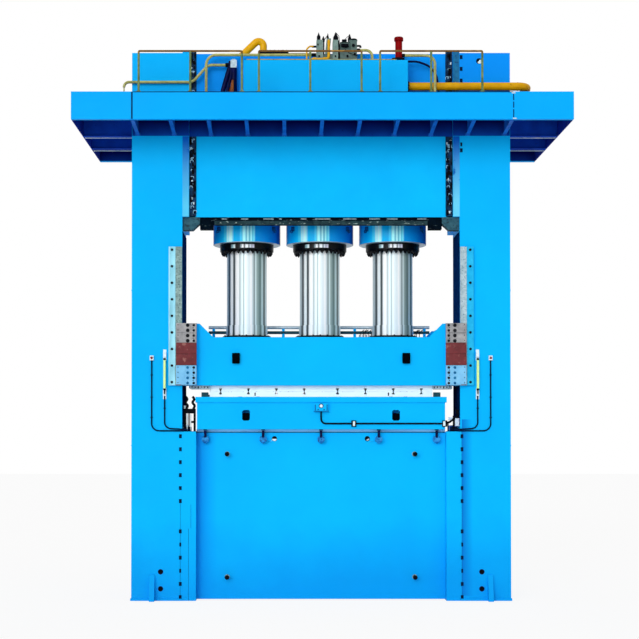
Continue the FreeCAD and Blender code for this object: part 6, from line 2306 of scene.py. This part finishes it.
    def junctions(self) -> Pieces:
        """Moulds the junction box at the conduits' end with a ribbed lid."""
        parts = [Bench.box("case", (3.522, -1.35, 4.573), (3.718, -1.232, 4.699)).pick(FRONT)
                 .inset(0.012, 0.004).inset(0.01, -0.003).soften(0.006).done()]
        for x in (3.56, 3.6, 3.64, 3.68):
            parts.append(slab("rib", (x - 0.005, -1.362, 4.6), (x + 0.005, -1.349, 4.672), 0.001,
                              0.001))
        return parts


# ---- table and bed

@dataclass
class TableFittings:
    """The bed's clamps, pegs and hole linings, and the table's tab, stops and conduit."""

    bed_front: float = -1.25
    table_front: float = -1.46
    eye_x: float = 1.265
    eye_z: float = 4.375
    foot_x: float = 4.337
    foot_eyes: tuple[float, float] = (0.326, 0.784)
    clamp_places: tuple[Point, ...] = tuple((1.57 * step, 0, 0) for step in range(-2, 3))

    def build(self) -> Pieces:
        """Makes every fitting of the bed and the table.

        Returns:
            The pieces.
        """
        return [fit(self.clamps(), CLAMP_BLUE, stands_for=("hold_down_clamps",)),
                fit(self.clamp_screws(), NAVY_SLEEVE, stands_for=("hold_down_clamps",)),
                fit(self.pegs(), BLACK_THERMOSET_AND_SHADE, stands_for=("lifting_pegs",)),
                fit(self.peg_collars(), MOTTLED_GREEN, stands_for=("lifting_pegs",)),
                fit(self.tab(), PRESS_ENAMEL, stands_for=("table_lifting_tab",)),
                fit(self.stops(), STOP_TEAL, stands_for=("table_stop_blocks",)),
                fit(self.conduit(), BLACK_THERMOSET_AND_SHADE, stands_for=("table_conduit",)),
                fit(self.clips(), BLACK_THERMOSET_AND_SHADE, stands_for=("conduit_clips",)),
                fit(self.clip_plates(), WHITE_ABS, stands_for=("conduit_clips",)),
                fit(self.foot_rims(), BRACKET_SHADE_BLUE), fit(self.bed_rims(), HOLE_PALE),
                fit(self.foot_cores(), BLACK_THERMOSET_AND_SHADE), fit(self.bed_shade_discs(), BLACK_THERMOSET_AND_SHADE),
                fit(self.covers(), PRESS_ENAMEL),
                fit(self.pocket_shade_liners(-1.459, 2.034, 4.93), POCKET_SHADE),
                fit(self.pocket_shade_liners(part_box("slide")[0][1] + 0.001, 2.303, 6.5515), POCKET_SHADE,
                    Body.SLIDE), fit(self.tab_marks(), TAB_BLUE), fit(self.eye(), HOLE_PALE)]

    def clamps(self) -> Piece:
        """Forges the five hold-down clamps: a shank, a faceted jaw and a pointed foot."""
        clamp = (Bench.box("clamp", (-0.094, -1.425, 4.325), (0.094, self.bed_front - 0.002, 4.41))
                 .pick(DOWN).extrude((0, 0, -0.03), 0.86).extrude((0, 0, -0.053), 0.16).pick(UP)
                 .extrude((0, 0, 0.03), 0.7).inset(0.01, 0.002).pick(FRONT, at=("y", -1.425))
                 .inset(0.012, -0.004).done(20))
        return joined("clamps_fitted", copies_at(clamp, self.clamp_places))

    def clamp_screws(self) -> Piece:
        """Sets the cross bolt and the dark washer into every clamp."""
        screw = stub("screw", (0, -1.4, 4.5), Axis.Z, 0.036, 0.19, 12, 0.008, smooth=40)
        collar = slab("collar", (-0.05, -1.4255, 4.6), (0.05, -1.3, 4.63), 0.008, edge=0.004)
        parts = copies_at(screw, self.clamp_places) + copies_at(collar, self.clamp_places)
        return joined("clamp_screws", parts)

    @staticmethod
    def each_peg(part: Piece, name: str) -> Piece:
        """Copies a part to the four peg places and joins the copies.

        Args:
            part: One peg's part, modelled at the right-hand upper place.
            name: The joined piece's name.

        Returns:
            The four copies.
        """
        left = mirrored(part, "left")
        parts = [part, left, moved(part, "low", (0, 0, -3.34)),
                 moved(left, "low_left", (0, 0, -3.34))]
        return joined(name, parts)

    def pegs(self) -> Piece:
        """Turns the four lifting pegs with a retaining collar on each."""
        peg = (Bench.drum("peg", (2.55, -1.355, 3.96), Axis.Y, 0.05, 0.2, 24).pick(FRONT)
               .inset(0.008, 0.002).inset(0.012, -0.01).soften(0.003).done())
        disc = stub("disc", (2.55, -1.436, 3.96), Axis.Y, 0.062, 0.03, 24, 0.014, 0.004)
        return self.each_peg(joined("peg", [peg, disc]), "pegs_fitted")

    def peg_collars(self) -> Piece:
        """Welds the reinforcing ring under every peg."""
        ring = stub("ring", (2.55, -1.266, 3.96), Axis.Y, 0.068, 0.03, 28, 0.01, 0.004)
        return self.each_peg(ring, "peg_rings")

    def tab(self) -> Piece:
        """Mills the lifting tab with its two screws."""
        parts = [Bench.box("tab", (-0.188, -1.568, 5.112),
                           (0.188, self.table_front - 0.001, 5.339)).pick(DOWN)
                 .extrude((0, 0, 0.0), 0.98).pick(FRONT).inset(0.02, -0.004).soften(0.008).done()]
        for x in (-0.14, 0.14):
            parts.append(stub("head", (x, -1.5665, 5.23), Axis.Y, 0.022, 0.006, 6, 0.005, -0.002,
                              20))
        return joined("lifting_tab_fitted", parts)

    def stops(self) -> Piece:
        """Casts the table's stop blocks, each with a rubber face."""
        low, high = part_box("table_stop_blocks")
        parts = []
        for side in (-1, 1):
            for rear in (-1, 1):
                inner, outer = sorted((side * (high[0] - 0.186), side * (high[0] - 0.002)))
                near = low[1] + 0.002 if rear < 0 else high[1] - 0.178
                parts.append(Bench.box("stop", (inner, near, low[2] + 0.001),
                                       (outer, near + 0.176, high[2] - 0.002)).pick(FRONT)
                             .inset(0.014, -0.005).pick(UP).inset(0.016, -0.006).soften(0.006)
                             .done())
        return joined("stops_fitted", parts)

    def conduit(self) -> Piece:
        """Bends the table's rigid conduit from the tab along the bed to the column."""
        y = self.table_front - 0.0265
        route = [(0, y, 5.112), (0, y, 4.786), (3.36, y, 4.786)]
        return joined("table_conduit_fitted", [bent_pipe("conduit", route, 0.023, 0.13, 14, 7),
                                               stub("end", (3.352, y, 4.786), Axis.X, 0.03, 0.03,
                                                    12, 0.004)])

    def clips(self) -> Piece:
        """Folds the conduit's two black saddles."""
        return joined("conduit_saddles",
                      [slab("saddle", (x - 0.066, -1.512, 4.7), (x + 0.066, -1.4605, 4.87), 0.02,
                            -0.006, 0.004) for x in (0.886, 3.35)])

    def clip_plates(self) -> Piece:
        """Sets the white plates behind the saddles."""
        return joined("conduit_clip_plates",
                      [slab("plate", (x - 0.026, -1.5195, 4.722), (x + 0.034, -1.4905, 4.848),
                            0.008, -0.002, 0.004) for x in (0.886, 3.33)])

    def foot_rims(self) -> Piece:
        """Edges the holes in the columns' feet with thin rings."""
        return joined("foot_hole_bushes",
                      [Bench.drum("ring", (side * self.foot_x, -1.552, z), Axis.Y, 0.076, 0.006,
                                  28).pick(FRONT).inset(0.008, 0.0).extrude((0, 0.01, 0), 0.96)
                       .done() for side in (-1, 1) for z in self.foot_eyes])

    def foot_cores(self) -> Piece:
        """Sets dark discs in the feet's bushes: painted shade in the holes."""
        return joined("foot_hole_shades",
                      [stub("core", (side * self.foot_x, -1.553, z), Axis.Y, 0.068, 0.006, 24,
                            0.01, -0.002) for side in (-1, 1) for z in self.foot_eyes])

    def bed_rims(self) -> Piece:
        """Leaves the bright crescents where light falls into the bed's upper holes."""
        left = self.plug(-self.eye_x, 0.062, 0.0045).trim((0, 0, self.eye_z - 0.004), UP).done()
        right = (self.plug(self.eye_x, 0.05, 0.0045)
                 .trim((self.eye_x + 0.012, 0, self.eye_z - 0.012), (-0.5, 0, 0.86)).done())
        return joined("bed_hole_glints", [left, right])

    def plug(self, x: float, radius: float, stand: float) -> Bench:
        """Opens one flat disc on the bed's wall for shaping.

        Args:
            x: Its place across.
            radius: Its radius.
            stand: How far it stands off the wall.

        Returns:
            The bench that holds it.
        """
        return (Bench.drum("disc", (x, self.bed_front - stand / 2, self.eye_z), Axis.Y, radius,
                           stand, 28).pick(FRONT).inset(0.004, 0.0))

    def covers(self) -> Piece:
        """Closes the bed's two former holes flush with enamelled blanks."""
        return joined("bed_blanks",
                      [stub("cover", (side * 1.4, self.bed_front + 0.006, 4.3705), Axis.Y, 0.0795,
                            0.0115, 40, 0.003) for side in (-1, 1)])

    @staticmethod
    def pocket_shade_liners(front: float, x: float, z: float) -> Piece:
        """Folds black liners into a wall's two pockets: painted shade.

        Args:
            front: The wall's front face.
            x: The pockets' place across.
            z: Their middle level.

        Returns:
            Both liners.
        """
        return joined("pocket_shade_liners",
                      [slab("liner", (side * x - 0.104, front + 0.004, z - 0.143),
                            (side * x + 0.104, front + 0.06, z + 0.143), 0.008, -0.03, 0.02)
                       for side in (-1, 1)])

    def tab_marks(self) -> Piece:
        """Lays the tab's shadow lip, its cheeks and its bosses."""
        parts = [slab("lip", (-0.205, -1.5685, 5.112), (0.205, -1.5, 5.132), 0.004, -0.001,
                      0.003)]
        for x in (-0.16, 0.16):
            parts.append(slab("cheek", (x - 0.012, -1.5695, 5.14), (x + 0.012, -1.565, 5.3),
                              0.003))
        parts.append(stub("boss", (0, -1.5675, 5.265), Axis.Y, 0.066, 0.004, 28, 0.012))
        for x in (-0.08, 0.08):
            parts.append(stub("nut", (x, -1.5675, 5.165), Axis.Y, 0.02, 0.004, 6, 0.004,
                              smooth=20))
        return joined("tab_marks", parts)

    @staticmethod
    def eye() -> Piece:
        """Turns the pale eye in the tab's boss."""
        return stub("eye", (0, -1.5684, 5.262), Axis.Y, 0.042, 0.003, 24, 0.008)

    def bed_shade_discs(self) -> Piece:
        """Lays dark discs in the bed's two upper holes: painted shade."""
        return joined("bed_hole_shade_discs", [self.plug(side * self.eye_x, 0.072, 0.003).done()
                                         for side in (-1, 1)])


@dataclass
class CrossPipe:
    """The two round lubrication pipes behind the rams, with posts and small lines."""

    y: float = 0.9
    half: float = 3.2
    levels: tuple[float, float] = (7.4115, 7.5565)
    foot: float = 7.1285

    def build(self) -> Pieces:
        """Makes the pipes, their posts and the clutter between them.

        Returns:
            The pieces, all riding on the slide.
        """
        slide, nodes = Body.SLIDE, ("slide_cross_pipe",)
        return [fit(self.run(1, 0.045), FACED_STEEL, slide, nodes),
                fit(self.run(0, 0.044), STOP_TEAL, slide, nodes),
                fit(self.posts(), PRESS_ENAMEL, slide, nodes),
                fit(self.hoses(), BLACK_THERMOSET_AND_SHADE, slide), fit(self.combs(), RIB_STEEL, slide)]

    def run(self, level: int, radius: float) -> Piece:
        """Lays one pipe with its closed ends and its couplings."""
        z = self.levels[level]
        parts = [bent_pipe("run", [(-self.half + 0.03, self.y, z), (self.half - 0.03, self.y, z)],
                           radius, 0.1, 24)]
        for x in (-2.0, -0.5, 1.55):
            parts.append(stub("nut", (x, self.y, z), Axis.X, radius + 0.0005, 0.09, 6, 0.004,
                              smooth=20))
        return joined(f"cross_pipe_{level}", parts)

    def posts(self) -> Piece:
        """Welds the pipes' posts with their foot plates."""
        parts = []
        for x in (-3.025, -1.025, 1.025, 3.025):
            parts += [slab("post", (x - 0.04, self.y - 0.03, self.foot + 0.02),
                           (x + 0.04, self.y + 0.03, self.levels[1] - 0.02), 0.012, -0.004, 0.004),
                      slab("foot", (x - 0.09, self.y - 0.044, self.foot),
                           (x + 0.09, self.y + 0.044, self.foot + 0.02), 0.01, 0.003, side=UP)]
        return joined("cross_pipe_posts", parts)

    def hoses(self) -> Piece:
        """Bends the small rigid lines that drop from the pipes to the slide."""
        parts, rng = [], Random(5)
        for middle in (-2.62, -2.35, 1.2, 1.42, 2.75):
            for step in range(3):
                x = middle + 0.07 * step + rng.uniform(-0.02, 0.02)
                low = self.foot + rng.uniform(0.02, 0.12)
                route = [(x, self.y - 0.03, low), (x, self.y - 0.04, self.levels[0]),
                         (x + 0.1, self.y - 0.04, self.levels[0] + 0.08)]
                parts.append(bent_pipe("line", route, 0.012, 0.06, 8, 5))
        return joined("cross_pipe_lines", parts)

    def combs(self) -> Piece:
        """Mills the distributor blocks with their rows of outlets."""
        parts = []
        for x in (-2.5, 1.36):
            parts.append(slab("comb", (x - 0.24, self.y - 0.04, self.foot + 0.1),
                              (x + 0.24, self.y + 0.02, self.foot + 0.16), 0.012, -0.004, 0.003))
            for step in range(5):
                parts.append(stub("stud", (x - 0.2 + 0.1 * step, self.y - 0.01, self.foot + 0.19),
                                  Axis.Z, 0.014, 0.06, 8, 0.004, 0.004))
        return joined("distributor_blocks", parts)


# ---- gaps beside the table

@dataclass
class TableGaps:
    """The levers, hoses and rough plates in the narrow gaps beside the table."""

    def build(self) -> Pieces:
        """Makes both sides' gap fittings and the plates' small marks.

        Returns:
            The pieces.
        """
        slide = Body.SLIDE
        return [fit(joined("gap_levers", self.levers()), BLACK_THERMOSET_AND_SHADE),
                fit(joined("gap_boxes", self.boxes()), PALE_GREY_AND_HIGHLIGHT),
                fit(self.left_frame(), BLACK_THERMOSET_AND_SHADE), fit(self.left_rods(), PALE_CASTING),
                fit(both_sides("wiper_strips", self.wipers()), SCRAPED_PALE, slide),
                fit(both_sides("wiper_clips", self.wiper_clips()), BLACK_THERMOSET_AND_SHADE, slide),
                fit(self.base_shadow(), BLACK_THERMOSET_AND_SHADE), fit(self.plate_marks(), BOLT_BLACK),
                fit(self.seam_lines(), PALE_GREY_AND_HIGHLIGHT)]

    def levers(self) -> Pieces:
        """Forges the black lever, its rods and their foot on the bed's side plate."""
        y = -1.38
        parts = [bent_pipe("lever", [(3.36, y, 4.79), (3.5, y, 4.83), (3.74, y, 5.02)], 0.03, 0.1,
                           10)]
        for x, low, high, radius in ((3.6, 4.57, 5.0, 0.022), (3.45, 4.57, 4.8, 0.018)):
            parts.append(stub("rod", (x, y, (low + high) / 2), Axis.Z, radius, high - low, 12,
                              radius * 0.3, 0.004))
        parts += [slab("foot", (3.4, y - 0.05, 4.535), (3.62, y + 0.05, 4.585), 0.01, -0.003,
                       0.006),
                  slab("top", (3.66, y - 0.03, 5.04), (3.74, y + 0.03, 5.17), 0.01, -0.003,
                       0.006)]
        return parts

    @staticmethod
    def left_frame() -> Piece:
        """Welds the black frame that stands in the left gap, with its hoses on top."""
        y, parts = -1.39, []
        for x_low, x_high, low, high in ((-3.73, -3.4, 5.06, 5.19), (-3.73, -3.665, 4.57, 5.06),
                                         (-3.6, -3.565, 4.57, 5.06), (-3.46, -3.4, 4.57, 5.06),
                                         (-3.52, -3.4, 4.8, 4.86), (-3.73, -3.36, 4.53, 4.58)):
            parts.append(slab("bar", (x_low, y - 0.03, low), (x_high, y + 0.03, high), 0.008,
                              -0.004, 0.005))
        for x in (-3.66, -3.47):
            route = [(x, y, 5.18), (x + 0.05, y, 5.27), (x - 0.03, y, 5.36), (x + 0.04, y, 5.45),
                     (x - 0.02, y, 5.52)]
            parts.append(bent_pipe("hose", route, 0.034, 0.05, 10, 5))
        return joined("left_gap_frame", parts)

    @staticmethod
    def left_rods() -> Piece:
        """Sets the pale rods and caps inside the left frame."""
        return joined("left_gap_rods",
                      [stub("rod", (x, -1.38, (low + high) / 2), Axis.Z, radius, high - low, 12,
                            radius * 0.3, 0.004)
                       for x, low, high, radius in ((-3.632, 4.6, 5.04, 0.018),
                                                    (-3.7, 5.19, 5.27, 0.03),
                                                    (-3.535, 4.6, 5.04, 0.012))])

    def boxes(self) -> Pieces:
        """Moulds the grey end box and the plate behind the lever."""
        box = (Bench.box("end_box", (3.64, -1.42, 4.72), (3.755, -1.33, 4.93)).pick(FRONT)
               .inset(0.014, 0.006).inset(0.01, -0.003).soften(0.006).done())
        tag = slab("tag", (3.46, -1.36, 4.88), (3.6, -1.345, 4.96), 0.01, -0.003, 0.004)
        return [box, tag]

    def wipers(self) -> Pieces:
        """Bolts the rough wiper strip under the slide's outer end."""
        return [Bench.box("wiper", (3.02, -1.43, 5.735), (3.56, -1.3, 5.8175)).pick(FRONT)
                .inset(0.012, -0.004).pick(DOWN).extrude((0, 0.02, -0.02), 0.9).soften(0.005)
                .done()]

    def wiper_clips(self) -> Pieces:
        """Sets the dark clips along the wiper strip."""
        parts = []
        for step in range(6):
            x = 3.07 + 0.085 * step
            parts.append(slab("clip", (x - 0.012, -1.436, 5.745 + 0.01 * (step % 3)),
                              (x + 0.02, -1.428, 5.79 + 0.004 * (step % 2)), 0.004, 0.001))
        return parts

    def base_shadow(self) -> Piece:
        """Runs a black strip along the base plate's lower edge: painted shadow."""
        low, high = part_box("bolster_base_plate")
        return slab("base_plate_shadow_strip", (low[0] + 0.01, low[1] - 0.004, low[2] + 0.001),
                    (high[0] - 0.01, low[1] - 0.0005, low[2] + 0.024), 0.004)

    def plate_marks(self) -> Piece:
        """Drills the dowels and the edge ticks of the lower plate."""
        low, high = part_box("lower_t_slot_plate")
        parts = [stub("dowel", (x, low[1] - 0.002, z), Axis.Y, 0.022, 0.004, 12, 0.006, -0.001)
                 for x in (-1.79, 1.84) for z in (low[2] + 0.055, high[2] - 0.055)]
        for x in (-2.2, -1.72, 1.9, 2.3):
            parts.append(slab("tick", (x - 0.05, low[1] - 0.003, low[2] + 0.001),
                              (x + 0.05, low[1] - 0.0005, low[2] + 0.012), 0.003))
        return joined("plate_dowels", parts)

    def seam_lines(self) -> Piece:
        """Scribes the grey joint between the two T-slot plates."""
        low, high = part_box("lower_t_slot_plate")
        return joined("plate_joint_lines",
                      [slab("line", (left, low[1] - 0.0015, high[2] - 0.016),
                            (right, low[1] - 0.0005, high[2] - 0.006), 0.002)
                       for left, right in ((-2.95, -1.9), (-1.8, 1.75), (1.95, 2.95))])


ASSEMBLIES = (CylinderTrim, GuardRail, HeadPipes, PumpGroup, WalkwayUnderside, ColumnTrim,
              AccessCovers, GuideSet, SideFittings, TableFittings, CrossPipe, TableGaps)


# ---- studio

@dataclass
class Studio:
    """The pale floor, soft light and camera of the photograph's viewpoint."""

    eye: Point = (-0.9665, -41.5699, 4.5552)
    tilt_deg: float = 1.0196
    lens: float = 83.359
    shift: Point = (0.05337, 0.135)
    key_strength: float = 1.46
    ambient: float = 0.62
    floor_half: float = 120.0

    def build(self) -> None:
        """Makes the floor, the world, the lamps and the camera."""
        self.floor()
        self.world()
        self.lamps()
        self.camera()
        bpy.context.scene.view_settings.view_transform = "Standard"

    def floor(self) -> None:
        """Lays a pale floor that keeps the press's shadow but shows as white."""
        bpy.ops.mesh.primitive_plane_add(size=2 * self.floor_half, location=(0, 0, -0.001))
        floor = bpy.context.object
        floor.name = "studio_floor"
        material = bpy.data.materials.new("pale_floor_paint")
        material.use_nodes = True
        tree = material.node_tree
        tree.nodes.clear()
        place = add_node(tree, "TexCoord").outputs["Object"]
        noise = add_node(tree, "TexNoise", {"Scale": 0.4, "Detail": 3.0}, {"Vector": place})
        tone = add_node(tree, "Mix", {6: linear("f4f4f4"), 7: linear("eeeeee")},
                        {0: noise.outputs[0]}, data_type="RGBA")
        paint = add_node(tree, "BsdfDiffuse", {}, {"Color": tone.outputs[2]})
        glow = add_node(tree, "Emission", {"Color": linear("ffffff"), "Strength": 1.0})
        path = add_node(tree, "LightPath")
        seen = add_node(tree, "Math", {},
                        {0: path.outputs["Is Camera Ray"], 1: path.outputs["Is Glossy Ray"]},
                        operation="MAXIMUM")
        share = add_node(tree, "Math", {1: 0.88}, {0: seen.outputs[0]}, operation="MULTIPLY")
        mixed = add_node(tree, "MixShader", {},
                         {0: share.outputs[0], 1: paint.outputs[0], 2: glow.outputs[0]})
        add_node(tree, "OutputMaterial", {}, {0: mixed.outputs[0]})
        floor.data.materials.append(material)

    def world(self) -> None:
        """Gives plain soft light all round, a white ground, and dark flags for chrome.

        Upright dark strips in what glossy surfaces see are the flags that a studio
        stands round polished metal, so that it doesn't reflect one even white.
        """
        world = bpy.data.worlds.new("studio")
        bpy.context.scene.world = world
        world.use_nodes = True
        tree = world.node_tree
        tree.nodes.clear()
        toward = add_node(tree, "TexCoord").outputs["Generated"]
        parts = add_node(tree, "SeparateXYZ", {}, {0: toward})
        azimuth = add_node(tree, "Math", {}, {0: parts.outputs[0], 1: parts.outputs[1]},
                           operation="ARCTAN2").outputs[0]
        spin = add_node(tree, "CombineXYZ", {}, {0: azimuth}).outputs[0]
        bands = add_node(tree, "TexNoise", {"Scale": 3.6, "Detail": 5.0, "Roughness": 0.75},
                         {"Vector": spin})
        flags = add_node(tree, "ValToRGB", {}, {0: bands.outputs[0]})
        ramp = flags.color_ramp
        ramp.elements[0].position, ramp.elements[1].position = 0.4, 0.52
        ramp.elements[0].color, ramp.elements[1].color = linear("1c2c30"), linear("ffffff")
        middle = ramp.elements.new(0.46)
        middle.color = linear("a9b8b4")
        path = add_node(tree, "LightPath")
        even = add_node(tree, "Background", {"Color": linear("ffffff"), "Strength": self.ambient})
        ground = add_node(tree, "Background", {"Color": linear("ffffff"), "Strength": 1.0})
        mirror = add_node(tree, "Background", {"Strength": 1.0}, {"Color": flags.outputs[0]})
        lit = add_node(tree, "MixShader", {},
                       {0: path.outputs["Is Glossy Ray"], 1: even.outputs[0],
                        2: mirror.outputs[0]})
        seen = add_node(tree, "Math", {},
                        {0: path.outputs["Is Camera Ray"], 1: path.outputs["Is Transmission Ray"]},
                        operation="MAXIMUM")
        final = add_node(tree, "MixShader", {},
                         {0: seen.outputs[0], 1: lit.outputs[0], 2: ground.outputs[0]})
        add_node(tree, "OutputWorld", {}, {0: final.outputs[0]})

    def lamps(self) -> None:
        """Adds a broad key from the front, a weak fill and light thrown up by the floor."""
        for name, turn, strength in (("key", (72, 0, -14), self.key_strength * 0.84),
                                     ("fill", (80, 0, -30), self.key_strength * 0.34),
                                     ("lift", (118, 0, 6), self.key_strength * 0.5)):
            lamp = bpy.data.lights.new(name, "SUN")
            lamp.energy = strength
            lamp.angle = math.radians(35)
            holder = bpy.data.objects.new(name, lamp)
            holder.rotation_euler = [math.radians(part) for part in turn]
            bpy.context.collection.objects.link(holder)

    def camera(self) -> None:
        """Stands the camera where the photograph was taken from."""
        data = bpy.data.cameras.new("viewpoint")
        data.sensor_width = 36
        data.lens = self.lens
        data.shift_x, data.shift_y = self.shift
        data.clip_end = 400
        camera = bpy.data.objects.new("viewpoint", data)
        camera.location = self.eye
        camera.rotation_euler = math.radians(90 + self.tilt_deg), 0, 0
        bpy.context.collection.objects.link(camera)
        bpy.context.scene.camera = camera


def dress_frame(nodes: dict[str, Piece]) -> None:
    """Gives every carried-over CAD node its finish.

    Args:
        nodes: The loaded CAD nodes by name.
    """
    for finish, names in DRESS.items():
        for name in names:
            PALETTE.wear(nodes[name], finish)
    bare = sorted(set(nodes) - {name for names in DRESS.values() for name in names})
    if bare:
        LOG.warning("no finish for %s", ", ".join(bare))


def main() -> None:
    """Loads the frame, dresses it, adds the fittings and the studio."""
    logging.basicConfig(level=logging.INFO, format="%(message)s")
    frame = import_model()
    Studio().build()
    dress_frame(frame["nodes"])
    for assembly in ASSEMBLIES:
        for piece in assembly().build():
            LOG.info("%s: %d faces", piece.name, len(piece.data.polygons))


if __name__ == "__main__":
    main()
